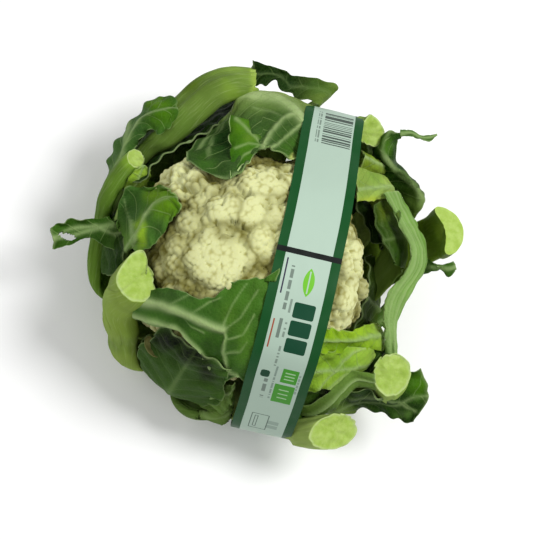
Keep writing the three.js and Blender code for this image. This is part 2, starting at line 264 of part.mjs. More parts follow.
      [[5.4,-59.2,33.2,4.2],[11.6,-57.2,31.6,8.5],[17.9,-55.2,31,9.5],[24.2,-53.1,31.6,8.5],[30.5,-51.1,33.2,4.2]],
      [[11.1,-82.2,44.2,4.2],[19.2,-83,42.5,8.5],[26.6,-81.8,42,9.5],[33.3,-78.4,42.5,8.5],[39.3,-73,44.2,4.2]],
      [[14.5,-90.9,64.2,4],[22.2,-91.6,62.5,8],[29.4,-90.4,62,9],[35.8,-87.2,62.5,8],[41.7,-82,64.2,4]],
      [[39.1,-100.7,84,3],[42.8,-102.2,80,3.5],[46.5,-103,76,7],[51,-103.2,72,3.5],[54.8,-103.3,68,3]],
      [[52.1,-93.9,94,3],[54.9,-95.6,91,3.4],[58,-97.1,87,6],[61.2,-99.2,82,3.4],[64,-100.5,76,3]],
      [[61.6,-85.4,100,3],[62.8,-87.9,98,3.3],[64.4,-90.1,94,5],[66.2,-92.9,89,3.3],[67.6,-95.6,83,3]],
      [[70.8,-78.8,104,3],[72,-81.2,102,3.1],[73.6,-83.4,98,4],[75.3,-85.6,94,3.1],[76.5,-87.7,89,3]],
      [[85.2,-79.8,104,3],[86.4,-82.3,102,3],[88.1,-84.5,98,3],[89.8,-87.4,94,3],[91.5,-89.6,90,3]]
    ]
  ] },
  { name: 'leaf_outer_lower_right', tone: 'outer', lofts: [
    [
      [[1.5,-21.6,12.2,4],[5.6,-19.3,10.6,8],[9.8,-16.9,10,9],[13.9,-14.5,10.6,8],[18,-12.1,12.2,4]],
      [[16.5,-57.4,12.2,4.2],[22.8,-53.8,10.6,8.5],[29,-50.2,10,9.5],[35.2,-46.6,10.6,8.5],[41.5,-43,12.2,4.2]],
      [[26.3,-78,25.2,4.2],[35.3,-77.4,23.6,8.5],[43,-74.5,23,9.5],[49.4,-69.3,23.6,8.5],[54.4,-61.8,25.2,4.2]],
      [[38.1,-97.1,46.2,4],[46.6,-96.4,44.5,8],[54,-93.5,44,9],[60.1,-88.6,44.5,8],[65.1,-81.5,46.2,4]],
      [[53,-94.1,80,3],[60.1,-97.5,74,3.6],[67.4,-100.1,68,8],[73.7,-101.6,63,3.6],[80.1,-101.5,58,3]],
      [[66.3,-90.4,86,3],[71.8,-93.4,78,3.5],[78.1,-95.8,70,7],[82.7,-97.4,66,3.5],[86.7,-99,62,3]],
      [[81.8,-88.8,88,3],[87,-91.8,79,3.4],[92.7,-94.9,71,6],[96.4,-98.1,68,3.4],[99.6,-101.9,64,3]],
      [[97.9,-92.7,88,3],[103.7,-94.4,80,3.3],[109,-97.1,74,5],[112.3,-101.6,70,3.3],[112.8,-106.1,65,3]],
      [[113.8,-75.1,88,3],[118.5,-83.8,84,3.1],[120.2,-91.9,80,4],[121.7,-100.5,74,3.1],[122.5,-107.7,68,3]],
      [[124.3,-73.3,88,3],[128.4,-81.6,86,3],[130.8,-91.2,82,3],[128.8,-97.9,78,3],[125.1,-105.2,72,3]]
    ]
  ] },
  { name: 'leaf_stub_bottom', tone: 'stub', lofts: [
    [
      [[-7.8,-20.3,12.2,4],[-3,-19.8,10.6,8],[1.7,-19.4,10,9],[6.4,-19,10.6,8],[11.2,-18.6,12.2,4]],
      [[-11.7,-59.2,12.2,4.2],[-3.3,-58.5,10.6,8.5],[5.1,-57.8,10,9.5],[13.4,-57,10.6,8.5],[21.8,-56.3,12.2,4.2]],
      [[-12,-80.2,25.2,4.2],[-2.1,-84.7,23.6,8.5],[7.5,-85.7,23,9.5],[16.8,-83.1,23.6,8.5],[25.7,-76.9,25.2,4.2]],
      [[-9.3,-102.6,46.2,4],[0.2,-106.7,44.5,8],[9.4,-107.6,44,9],[18.3,-105.1,44.5,8],[27,-99.4,46.2,4]],
      [[26.7,-110.3,54.6,5.7],[29.3,-110.3,48.9,15.8],[32,-109.1,43.6,18],[34.8,-106.8,38.8,15.8],[37.8,-103.3,34.5,5.7]],
      [[30.1,-117.2,68.2,7],[36.4,-116.7,63.7,19.4],[42.5,-115.1,59.6,22],[48.4,-112.2,56,19.4],[54.3,-108.3,52.9,7]],
      [[41.9,-115.7,83.5,7.6],[47.4,-117.3,77.7,21.1],[53,-117.7,71.9,24],[58.6,-116.8,66.3,21.1],[64.3,-114.6,60.7,7.6]],
      [[56,-111.6,94.6,7.6],[60.7,-115.4,89,21.1],[65.7,-117.9,83.2,24],[70.8,-119.2,77.2,21.1],[76.2,-119.3,70.9,7.6]]
    ]
  ] },
  { name: 'leaf_outer_upper_right', tone: 'outer', lofts: [
    [
      [[21.5,2.7,12.2,4],[18.9,6.6,10.6,8],[16.4,10.6,10,9],[13.8,14.6,10.6,8],[11.2,18.6,12.2,4]],
      [[56.5,19.5,12.2,4.2],[52.6,25.6,10.6,8.5],[48.6,31.6,10,9.5],[44.7,37.6,10.6,8.5],[40.8,43.7,12.2,4.2]],
      [[76.5,30.4,25.2,4.2],[75.4,39.3,23.6,8.5],[72.1,46.8,23,9.5],[66.6,52.9,23.6,8.5],[58.9,57.6,25.2,4.2]],
      [[95,43.1,46.2,4],[93.8,51.6,44.5,8],[90.6,58.8,44,9],[85.3,64.7,44.5,8],[78,69.3,46.2,4]],
      [[124.3,48.3,78,2.8],[126.3,50.3,82,3.5],[128.3,53.1,86,8],[130.5,56.2,84,3.5],[134.1,60.6,78,2.8]],
      [[113.6,60,84,2.8],[118.2,60.1,92,3.4],[121.2,60.8,100,7.1],[124.7,61.5,96,3.4],[129.4,65,86,2.8]],
      [[101.2,65.2,90,2.8],[106,68.3,98,3.3],[109.8,69,106,6.3],[113.3,70.5,102,3.3],[118.6,73.4,92,2.8]],
      [[93.2,71.9,92,2.8],[97.4,72.7,102,3.1],[101.2,71.7,110,5.4],[104.7,75.6,106,3.1],[109.2,80.9,96,2.8]],
      [[88.3,81.9,94,2.8],[91,80.9,104,3],[94.1,79.1,112,4.5],[99.3,83.2,110,3],[106.8,90.3,100,2.8]],
      [[90.5,90.8,98,2.8],[92.2,89.6,106,2.9],[94.4,89.9,112,3.7],[99.7,92.5,112,2.9],[108.1,96,104,2.8]],
      [[93.6,96.7,104,2.8],[95.6,97.6,108,2.8],[99.4,98.3,111,2.8],[103.9,98.6,111,2.8],[109.3,97.7,108,2.8]]
    ],
    [
      [[108,97.2,107,2.2],[107.8,97.6,108,2.3],[107.5,98,109,2.6],[107.5,99.6,109,2.3],[107.6,100.4,109,2.2]],
      [[115.8,97,109,2.2],[115.9,98.2,109,2.3],[115.6,99,110,2.6],[115.6,99.7,110,2.3],[115.7,101.3,110,2.2]],
      [[122.7,95.5,109,2.2],[122.7,95.9,109,2.3],[122.7,96.7,109,2.6],[122.7,97,109,2.3],[122.7,97.8,109,2.2]],
      [[129.8,94.7,108,2.2],[129.9,95.9,108,2.3],[129.9,97.1,108,2.6],[129.9,97.9,108,2.3],[130,99.1,108,2.2]],
      [[136.2,99.4,108,2.2],[136.2,99.6,108,2.3],[136.2,99.8,108,2.6],[136.2,100.1,108,2.3],[136.2,100.2,108,2.2]]
    ]
  ] },
  { name: 'leaf_stub_right', tone: 'stub', lofts: [
    [
      [[20.6,-6.7,12.2,4],[20,-2,10.6,8],[19.3,2.7,10,9],[18.6,7.4,10.6,8],[18,12.1,12.2,4]],
      [[60.3,-12.1,12.2,4.2],[58.9,-2,10.6,8.5],[57.4,8.1,10,9.5],[56,18.2,10.6,8.5],[54.6,28.3,12.2,4.2]],
      [[77.9,-12.2,25.2,4.2],[84.2,0.2,23.6,8.5],[85.2,12,23,9.5],[81,23,23.6,8.5],[71.5,33.2,25.2,4.2]],
      [[100.4,-8.2,46.2,4],[106.1,3.7,44.5,8],[106.9,15,44,9],[103,25.6,44.5,8],[94.2,35.6,46.2,4]],
      [[145.4,15.8,70.6,3.8],[148.7,23.6,62.4,10.6],[148.6,31.7,58.5,12],[145.2,39.9,59,10.6],[138.3,48.3,63.8,3.8]],
      [[145.5,12.7,78.8,4.4],[151.6,23.2,79.5,12.3],[152.4,32.6,80.1,14],[147.8,40.8,80.6,12.3],[137.8,47.8,81,4.4]],
      [[143.4,10.8,95.5,4.7],[149.5,21.2,97.4,13.2],[150.3,30.5,98.6,15],[145.7,38.7,99,13.2],[135.7,45.8,98.7,4.7]]
    ]
  ] },
  { name: 'leaf_curl_right', tone: 'outer', lofts: [
    [
      [[14.7,-15.6,23.2,4],[16.4,-11.5,21.6,8],[18.1,-7.3,21,9],[19.8,-3.1,21.6,8],[21.5,1,23.2,4]],
      [[49.7,-31.7,22.7,4.2],[51.8,-26.7,21.1,8.5],[53.8,-21.7,20.5,9.5],[55.8,-16.7,21.1,8.5],[57.8,-11.7,22.7,4.2]],
      [[72.4,-42.4,34.7,4.2],[76.8,-37.6,33,8.5],[79.7,-32.2,32.5,9.5],[81.3,-26.3,33,8.5],[81.6,-19.8,34.7,4.2]],
      [[87.2,-47.8,55.2,4],[91.3,-43.2,53.5,8],[94.1,-38,53,9],[95.7,-32.3,53.5,8],[96,-26.1,55.2,4]],
      [[134.2,2.8,66,2.2],[134.7,4.9,70,2.7],[134.3,7,74,6],[133.1,9.8,78,2.7],[131.9,13.1,80,2.2]],
      [[136.9,1.8,80,2.2],[136.6,3.1,81,2.6],[136.4,5.1,82,5.2],[136.1,7.1,83,2.6],[135.1,9.1,84,2.2]],
      [[142.3,3.1,85,2.2],[142,3.6,86,2.5],[142,4.3,86,4.3],[141.7,4.8,87,2.5],[141.7,5.6,87,2.2]],
      [[147.9,-2.3,86,2.2],[147.7,-0.2,87,2.4],[147.5,2.6,88,3.5],[147.5,4.8,88,2.4],[147.6,7.1,88,2.2]],
      [[153.1,1.5,87,2.2],[153.2,3,87,2.3],[152.1,4.3,88,2.6],[152.2,5.8,88,2.3],[151.5,8.1,88,2.2]]
    ]
  ] },
  { name: 'leaf_stub_upper_right', tone: 'stub', lofts: [
    [
      [[19.5,9.5,23.2,4],[15.7,12.4,21.6,8],[12,15.4,21,9],[8.3,18.3,21.6,8],[4.5,21.2,23.2,4]],
      [[48,36.1,22.7,4.2],[41.9,40.9,21.1,8.5],[35.7,45.7,20.5,9.5],[29.6,50.5,21.1,8.5],[23.4,55.3,22.7,4.2]],
      [[63,52.1,34.7,4.2],[58.9,61.2,33,8.5],[52.9,67.8,32.5,9.5],[45.1,72,33,8.5],[35.3,73.7,34.7,4.2]],
      [[72.3,65.1,55.2,4],[68.3,73.7,53.5,8],[62.5,80,53,9],[55,84.1,53.5,8],[45.7,85.9,55.2,4]],
      [[97.4,92.7,83.5,5.7],[93.7,97.8,83.1,15.8],[89.4,102,83.4,18],[84.6,105.4,84.5,15.8],[79.2,108.1,86.3,5.7]],
      [[94.4,90.5,98.7,6.3],[91,96.1,98.6,17.6],[86.8,100.7,98.2,20],[81.8,104.4,97.5,17.6],[76,107.2,96.5,6.3]],
      [[90.7,88.9,111.7,6.3],[87.4,94.3,111.7,17.6],[83.4,98.8,111.3,20],[78.6,102.3,110.5,17.6],[73,105,109.5,6.3]]
    ]
  ] },
  { name: 'leaf_wing_left', tone: 'outer', lofts: [
    [
      [[-21.5,3,23.2,4],[-20,-1.5,21.6,8],[-18.5,-6,21,9],[-17.1,-10.5,21.6,8],[-15.6,-15.1,23.2,4]],
      [[-59.2,-5.4,22.7,4.2],[-57.2,-11.6,21.1,8.5],[-55.2,-17.9,20.5,9.5],[-53.1,-24.2,21.1,8.5],[-51.1,-30.5,22.7,4.2]],
      [[-82.2,-11.1,34.7,4.2],[-83,-19.2,33,8.5],[-81.8,-26.6,32.5,9.5],[-78.4,-33.3,33,8.5],[-73,-39.3,34.7,4.2]],
      [[-97.1,-16.5,55.2,4],[-97.8,-24.2,53.5,8],[-96.5,-31.4,53,9],[-93.4,-37.8,53.5,8],[-88.2,-43.7,55.2,4]],
      [[-94,20,64,3],[-91,11.8,67,3.6],[-88,2.2,70,8],[-87.1,-1.2,69,3.6],[-86.9,-4.2,66,3]],
      [[-99.4,30.4,82,3],[-98,27.6,84,3.5],[-95.1,24.2,86,7],[-93.3,14.6,84,3.5],[-91.5,5.4,80,3]],
      [[-108,28.2,88,3],[-107.2,26,88,3.4],[-105.7,22.4,88,6],[-104.7,16.4,86,3.4],[-103,9,84,3]],
      [[-120.6,26.4,92,3],[-119,22.9,89,3.3],[-116.1,19,88,5],[-115.3,17.1,87,3.3],[-114.5,15.2,86,3]],
      [[-133,24,93,3],[-131.4,20.9,89,3.1],[-128.4,15,87,4],[-128.3,12.4,86,3.1],[-128.2,9,85,3]],
      [[-142.4,18.7,92,3],[-141.5,15.4,91,3],[-140,11.4,90,3],[-139.2,8.9,89,3],[-139.1,5.5,88,3]]
    ]
  ] },
  { name: 'leaf_dried_stub', tone: 'dry', lofts: [
    [
      [[-19.1,-9.8,34.2,4],[-15.6,-12.6,32.5,8],[-12,-15.4,32,9],[-8.5,-18.1,32.5,8],[-4.9,-20.9,34.2,4]],
      [[-44.2,-39.1,33.2,4.2],[-40,-42.4,31.6,8.5],[-35.7,-45.7,31,9.5],[-31.5,-49,31.6,8.5],[-27.2,-52.4,33.2,4.2]],
      [[-60.7,-58,44.2,4.2],[-57.3,-63.4,42.5,8.5],[-52.9,-67.8,42,9.5],[-47.7,-70.9,42.5,8.5],[-41.6,-72.9,44.2,4.2]],
      [[-66,-65.5,64.2,4],[-62.7,-70.7,62.5,8],[-58.5,-74.9,62,9],[-53.5,-77.9,62.5,8],[-47.6,-79.9,64.2,4]],
      [[-67.9,-58.4,76.4,2.5],[-66.1,-61.9,78.4,7],[-63.9,-64.9,80.2,8],[-61.7,-67.9,81.8,7],[-57.5,-68.6,83.1,2.5]],
      [[-72,-55.3,90.4,2.5],[-71.2,-60.3,91.9,7],[-69,-64.1,93.1,8],[-65.6,-66.5,94.3,7],[-59.2,-67.1,112.2,2.5]],
      [[-72.7,-52.9,109.2,2.5],[-70.7,-57.3,114.9,7],[-67.8,-60.3,117.3,8],[-64.2,-62.3,120.1,7],[-59.8,-63.1,120.8,2.5]]
    ]
  ] },
  { name: 'leaf_outer_top', tone: 'outer', lofts: [
    [
      [[11.5,18.4,12.2,4],[6.8,18.9,10.6,8],[2,19.4,10,9],[-2.7,19.9,10.6,8],[-7.4,20.4,12.2,4]],
      [[19.2,56.3,12.2,4.2],[12.6,57,10.6,8.5],[6.1,57.7,10,9.5],[-0.5,58.4,10.6,8.5],[-7.1,59.1,12.2,4.2]],
      [[23.3,79.6,25.2,4.2],[16.3,83.7,23.6,8.5],[9,85.5,23,9.5],[1.5,85.2,23.6,8.5],[-6.2,82.7,25.2,4.2]],
      [[25.1,101.8,46.2,4],[18.3,105.6,44.5,8],[11.3,107.4,44,9],[4.1,107.1,44.5,8],[-3.4,104.8,46.2,4]],
      [[45.5,123.3,98,2.6],[49.7,129.2,96,3],[53.8,133.9,95,6],[57.5,137,96,3],[60.9,139.6,98,2.6]],
      [[34.5,124.1,100,2.6],[37.2,129.1,98,3],[39.7,134.5,97,5.4],[41.8,138.2,98,3],[43.7,141.5,100,2.6]],
      [[25.5,128.3,100,2.6],[25.9,131.5,98,2.9],[26.8,135.2,97,4.9],[28.2,138.8,98,2.9],[29.3,142,100,2.6]],
      [[15.1,134.5,104,2.6],[17.7,137.1,102,2.8],[20.3,140.6,100,4.3],[21.8,143.1,100,2.8],[23.1,145.1,101,2.6]],
      [[5.1,131.4,106,2.6],[6.9,136.3,104,2.7],[8.7,141.2,102,3.7],[9.5,144.5,102,2.7],[9.1,148.3,104,2.6]],
      [[0.6,130.3,106,2.6],[0.8,134.6,105,2.7],[0.9,139.8,104,3.2],[0.9,144.5,104,2.7],[0.6,149.2,106,2.6]],
      [[-3.8,136.2,106,2.6],[-3.8,138.6,106,2.6],[-3.8,141.7,106,2.6],[-3.1,145.7,106,2.6],[-2.5,149.3,107,2.6]]
    ]
  ] },
  { name: 'leaf_wrapper_upper_left', tone: 'outer', lofts: [
    [
      [[-1.5,21.6,34.2,4],[-5.6,19.3,32.5,8],[-9.7,16.9,32,9],[-13.9,14.5,32.5,8],[-18,12.1,34.2,4]],
      [[-18.6,56.2,33.2,4.2],[-23.8,53.2,31.6,8.5],[-29,50.2,31,9.5],[-34.2,47.2,31.6,8.5],[-39.4,44.2,33.2,4.2]],
      [[-29.5,78.1,44.2,4.2],[-36.7,77.1,42.5,8.5],[-43,74.5,42,9.5],[-48.4,70.3,42.5,8.5],[-52.9,64.6,44.2,4.2]],
      [[-33.2,88.6,50.8,2.2],[-42.5,86.3,53,2.6],[-51.6,82.9,53.8,5.6],[-59.1,76.8,53,2.6],[-65.8,69.8,50.8,2.2]],
      [[-19.6,119.7,62.8,2.2],[-41.6,111.4,65,2.6],[-60.1,97.6,65.8,5.6],[-75.7,82,65,2.6],[-89.4,65.7,62.8,2.2]],
      [[-6.6,129.6,76.8,2.2],[-35.8,114.8,79,2.6],[-57.8,93.6,79.8,5.6],[-76.6,74.2,79,2.6],[-93,53.9,76.8,2.2]],
      [[-6.5,125.1,88.8,2.2],[-33.7,107.6,91,2.4],[-53.9,86.9,91.8,3.4],[-72.7,70.2,91,2.4],[-89.5,51.7,88.8,2.2]],
      [[-9.3,109.9,108,2.2],[-31.9,95.7,113,2.4],[-50.2,80.4,116,3.4],[-67.6,66.9,113,2.4],[-81.8,50.2,106,2.2]]
    ]
  ] },
  { name: 'leaf_wrapper_left', tone: 'outer', lofts: [
    [
      [[-16.9,13.6,34.2,4],[-17.9,9,32.5,8],[-19,4.4,32,9],[-20.1,-0.2,32.5,8],[-21.1,-4.9,34.2,4]],
      [[-53.8,24.7,33.2,4.2],[-55.2,18.9,31.6,8.5],[-56.5,13,31,9.5],[-57.9,7.2,31.6,8.5],[-59.2,1.4,33.2,4.2]],
      [[-77.2,31.7,44.2,4.2],[-81.4,25.7,42.5,8.5],[-83.8,19.3,42,9.5],[-84.4,12.6,42.5,8.5],[-83.3,5.4,44.2,4.2]],
      [[-93.1,29.8,50.8,2.2],[-96.1,24.7,53,2.6],[-98.7,19.3,53.8,5.6],[-98.7,13.4,53,2.6],[-98.2,7.5,50.8,2.2]],
      [[-93,41.9,62.8,2.2],[-100.5,32.1,65,2.6],[-104,20.5,65.8,5.6],[-103.9,8.4,65,2.6],[-103.2,-3.5,62.8,2.2]],
      [[-87.4,46.3,76.8,2.2],[-95.6,33.9,79,2.6],[-99,19.4,79.8,5.6],[-100.1,4.7,79,2.6],[-100.1,-9.9,76.8,2.2]],
      [[-84.4,44.6,88.8,2.2],[-89.5,31.5,91,2.4],[-92.4,17.9,91.8,3.4],[-95.5,4.4,91,2.4],[-96.9,-9.6,88.8,2.2]],
      [[-80.4,40.4,98,2.2],[-84.2,28.5,102,2.4],[-88,16.8,104,3.4],[-91.5,4.8,102,2.4],[-91.8,-7.7,96,2.2]]
    ]
  ] },
  { name: 'leaf_wrapper_lower_left', tone: 'outer', lofts: [
    [
      [[-18.2,-11.8,34.2,4],[-14.1,-14.3,32.5,8],[-10,-16.7,32,9],[-6,-19.2,32.5,8],[-1.9,-21.6,34.2,4]],
      [[-40.2,-43.5,33.2,4.2],[-35,-46.6,31.6,8.5],[-29.9,-49.7,31,9.5],[-24.7,-52.8,31.6,8.5],[-19.6,-55.9,33.2,4.2]],
      [[-54,-63.6,44.2,4.2],[-49.6,-69.5,42.5,8.5],[-44.3,-73.7,42,9.5],[-38,-76.4,42.5,8.5],[-30.8,-77.5,44.2,4.2]],
      [[-63.4,-77.8,50.8,2.2],[-58.5,-83.1,53,2.6],[-53.1,-88,53.8,5.6],[-46.2,-90.5,53,2.6],[-39.2,-92.4,50.8,2.2]],
      [[-74.5,-69.7,62.8,2.2],[-66.2,-81.7,65,2.6],[-54.4,-90.1,65.8,5.6],[-40.6,-94.8,65,2.6],[-26.8,-98,62.8,2.2]],
      [[-77.4,-61.9,76.8,2.2],[-66.6,-76.1,79,2.6],[-51.7,-85.7,79.8,5.6],[-35.4,-92.3,79,2.6],[-18.6,-96.9,76.8,2.2]],
      [[-75.4,-60.4,88.8,2.2],[-63,-72,91,2.4],[-48.8,-80.8,91.8,3.4],[-34.1,-88.9,91,2.4],[-18.2,-94.7,88.8,2.2]],
      [[-71,-59.4,93,2.2],[-59.3,-69.2,95,2.4],[-47.3,-78.4,97.2,3.4],[-34.2,-86.3,95,2.4],[-19.5,-90.7,93,2.2]],
      [[-69.4,-58.1,104,2.4],[-58.9,-68.8,108,2.4],[-46.8,-77.6,110,2.4],[-33.4,-84.2,108,2.4],[-19,-88.3,104,2.4]],
      [[-67.2,-56.9,116.7,2.4],[-56.9,-66.5,118.6,2.4],[-45.2,-74.8,121,2.4],[-32.2,-81.2,119,2.4],[-18.9,-85.8,117.1,2.4]],
      [[-63.9,-54.8,126.8,2.4],[-53.9,-63.2,128.3,2.4],[-42.7,-70.7,130,2.4],[-30.7,-77,128.8,2.4],[-18.5,-81.7,126.6,2.4]]
    ]
  ] },
  { name: 'leaf_wrapper_lower_right', tone: 'inner', lofts: [
    [
      [[2.3,-21.6,34.2,4],[6.3,-19.1,32.5,8],[10.3,-16.5,32,9],[14.4,-14,32.5,8],[18.4,-11.5,34.2,4]],
      [[20.6,-55.5,33.2,4.2],[25.6,-52.4,31.6,8.5],[30.7,-49.2,31,9.5],[35.8,-46,31.6,8.5],[40.9,-42.8,33.2,4.2]],
      [[32.2,-77,44.2,4.2],[39.4,-75.7,42.5,8.5],[45.6,-72.9,42,9.5],[50.8,-68.6,42.5,8.5],[55.1,-62.7,44.2,4.2]],
      [[31.1,-94,50.8,2.2],[41,-91.2,53,2.6],[50.6,-87.1,53.8,5.6],[58.4,-80.3,53,2.6],[65.3,-72.6,50.8,2.2]],
      [[14.4,-111.3,62.8,2.2],[37,-108.6,65,2.6],[57.7,-98.5,65.8,5.6],[76.4,-85.1,65,2.6],[93.2,-68.7,62.8,2.2]],
      [[1.7,-108.6,76.8,2.2],[29.4,-105.9,79,2.6],[54.4,-93.3,79.8,5.6],[79.5,-79,79,2.6],[102.5,-58.6,76.8,2.2]],
      [[1.5,-102.1,88.8,2.2],[26.7,-96.8,91,2.4],[49.3,-85.1,91.8,3.4],[73.9,-73.8,91,2.4],[97,-55.7,88.8,2.2]],
      [[3.9,-92.5,93,2.2],[25.1,-86.8,96,2.4],[44.7,-77.8,98,3.4],[65.8,-68.2,94,2.4],[83.9,-52.2,93,2.2]]
    ]
  ] },
  { name: 'leaf_wrapper_right', tone: 'inner', lofts: [
    [
      [[17.1,-13.3,34.2,4],[18.1,-8.7,32.5,8],[19.1,-4.1,32,9],[20.1,0.6,32.5,8],[21,5.2,34.2,4]],
      [[54.2,-23.8,33.2,4.2],[55.5,-17.9,31.6,8.5],[56.7,-12.1,31,9.5],[58,-6.2,31.6,8.5],[59.2,-0.3,33.2,4.2]],
      [[77.7,-30.3,44.2,4.2],[81.8,-24.3,42.5,8.5],[84.1,-17.9,42,9.5],[84.6,-11.1,42.5,8.5],[83.4,-3.9,44.2,4.2]],
      [[88.5,-37.4,42.5,2.2],[92.1,-30.7,44.7,2.6],[95,-23.6,45.5,5.6],[95.2,-16,44.7,2.6],[94.7,-8.4,42.5,2.2]],
      [[88.4,-53.4,52.6,2.2],[97.8,-40.5,54.8,2.6],[102.3,-25.2,55.6,5.6],[102.4,-9.2,54.8,2.6],[100.8,6.3,52.6,2.2]],
      [[81.4,-59.3,64.3,2.2],[92.4,-43.1,66.6,2.6],[97.3,-24.1,67.3,5.6],[98.4,-4.8,66.6,2.6],[96.8,14.4,64.3,2.2]],
      [[78.6,-57.4,74.4,2.2],[86.4,-40.5,76.6,2.4],[90.7,-22.7,77.4,3.4],[93.7,-4.7,76.6,2.4],[93.7,13.9,74.4,2.2]],
      [[73.5,-51.4,84,2.2],[79.4,-36.5,88,2.4],[84.3,-21.3,90,3.4],[87.8,-5.6,90,2.4],[86.9,10.6,86,2.2]]
    ]
  ] },
  { name: 'leaf_wrapper_upper_right', tone: 'outer', lofts: [
    [
      [[20.8,6,34.2,4],[17.7,9.5,32.5,8],[14.5,13,32,9],[11.3,16.6,32.5,8],[8.1,20.1,34.2,4]],
      [[51.1,29.9,33.2,4.2],[47.1,34.4,31.6,8.5],[43.1,38.8,31,9.5],[39.1,43.3,31.6,8.5],[35.1,47.7,33.2,4.2]],
      [[70.2,45.1,44.2,4.2],[67.7,51.9,42.5,8.5],[63.9,57.5,42,9.5],[58.7,62,42.5,8.5],[52.2,65.1,44.2,4.2]],
      [[81.8,45.4,50.8,2.2],[77.4,54.7,53,2.6],[71.7,63.4,53.8,5.6],[63.6,69.9,53,2.6],[54.9,75.3,50.8,2.2]],
      [[101.8,31.9,62.8,2.2],[95.2,53.8,65,2.6],[81.7,72.4,65.8,5.6],[63.4,86.1,65,2.6],[44.1,97.7,62.8,2.2]],
      [[101.3,19,76.8,2.2],[93.8,45.8,79,2.6],[77.1,68.3,79.8,5.6],[55.4,85.4,79,2.6],[31.5,100,76.8,2.2]],
      [[97,18,88.8,2.2],[87.2,42.4,91,2.4],[71.4,63.1,91.8,3.4],[52.3,80.7,91,2.4],[30.2,96.1,88.8,2.2]],
      [[88.9,19.3,93,2.2],[79.3,40.1,98,2.4],[66.5,58.7,102,3.4],[50.3,74.9,102,2.4],[30.5,87.3,98,2.2]]
    ]
  ] }
]

// the band loop: [across, up] in the band plane, mm
const BAND_LOOP = [[83.8,-56.7],[94.1,-44.6],[104.3,-32.6],[114.6,-20.6],[123.3,-7.4],[125.7,8.1],[122.6,23.4],[109.7,32.8],[96.0,40.8],[82.2,48.5],[68.4,56.3],[54.6,64.1],[40.5,71.4],[25.3,75.9],[9.6,78.1],[-6.2,78.8],[-22.1,79.1],[-37.7,76.0],[-52.7,71.0],[-65.9,62.1],[-76.8,50.8],[-84.8,37.1],[-92.0,23.0],[-98.6,8.6],[-105.3,-5.7],[-111.5,-20.3],[-111.1,-36.0],[-106.0,-51.1],[-93.9,-61.3],[-80.5,-69.8],[-66.2,-76.6],[-51.1,-81.3],[-35.3,-82.6],[-19.5,-82.9],[-3.7,-83.2],[12.1,-83.5],[28.0,-83.2],[43.8,-82.3],[58.1,-75.3],[71.4,-66.6]]

// ---- helpers ------------------------------------------------------------------------
const wasm = await Module()
wasm.setup()
const sub = (a, b) => [a[0] - b[0], a[1] - b[1], a[2] - b[2]]
const cross = (a, b) => [a[1] * b[2] - a[2] * b[1], a[2] * b[0] - a[0] * b[2], a[0] * b[1] - a[1] * b[0]]
const unit = (a) => { const l = Math.hypot(...a) || 1; return [a[0] / l, a[1] / l, a[2] / l] }
const add = (a, b, s = 1) => [a[0] + b[0] * s, a[1] + b[1] * s, a[2] + b[2] * s]

const solid = (points, tris) => new wasm.Manifold(new wasm.Mesh({
  numProp: 3,
  vertProperties: new Float32Array(points.flat()),
  triVerts: new Uint32Array(tris.flat())
}))

// A leaf: the rows of stations thickened on both sides of their mid surface.
function loftSolid (stations, grow) {
  const n = stations.length
  const K = stations[0].length
  const mid = stations.map((s) => s.map((p) => [p[0], p[1], p[2]]))
  if (grow > 0) {
    for (const row of mid) {
      const l = unit(sub(row[0], row[1])); const r = unit(sub(row[K - 1], row[K - 2]))
      row[0] = add(row[0], l, grow); row[K - 1] = add(row[K - 1], r, grow)
    }
    for (let k = 0; k < K; k++) {
      const d = unit(sub(mid[n - 1][k], mid[n - 2][k]))
      mid[n - 1][k] = add(mid[n - 1][k], d, grow)
    }
  }
  const outer = []; const inner = []
  for (let i = 0; i < n; i++) {
    for (let k = 0; k < K; k++) {
      const s = sub(mid[Math.min(n - 1, i + 1)][k], mid[Math.max(0, i - 1)][k])
      const v = sub(mid[i][Math.min(K - 1, k + 1)], mid[i][Math.max(0, k - 1)])
      const nn = unit(cross(v, s))
      const h = stations[i][k][3] / 2 + grow
      outer.push(add(mid[i][k], nn, h))
      inner.push(add(mid[i][k], nn, -h))
    }
  }
  const P = outer.concat(inner)
  const N = n * K
  const T = []
  const o = (i, k) => i * K + k
  for (let i = 0; i < n - 1; i++) {
    for (let k = 0; k < K - 1; k++) {
      T.push([o(i, k), o(i, k + 1), o(i + 1, k + 1)], [o(i, k), o(i + 1, k + 1), o(i + 1, k)])
      T.push([N + o(i, k), N + o(i + 1, k + 1), N + o(i, k + 1)], [N + o(i, k), N + o(i + 1, k), N + o(i + 1, k + 1)])
    }
    T.push([o(i, 0), o(i + 1, 0), N + o(i + 1, 0)], [o(i, 0), N + o(i + 1, 0), N + o(i, 0)])
    const e = K - 1
    T.push([o(i, e), N + o(i, e), N + o(i + 1, e)], [o(i, e), N + o(i + 1, e), o(i + 1, e)])
  }
  for (let k = 0; k < K - 1; k++) {
    T.push([o(0, k), N + o(0, k), N + o(0, k + 1)], [o(0, k), N + o(0, k + 1), o(0, k + 1)])
    const e = n - 1
    T.push([o(e, k), o(e, k + 1), N + o(e, k + 1)], [o(e, k), N + o(e, k + 1), N + o(e, k)])
  }
  return solid(P, T)
}

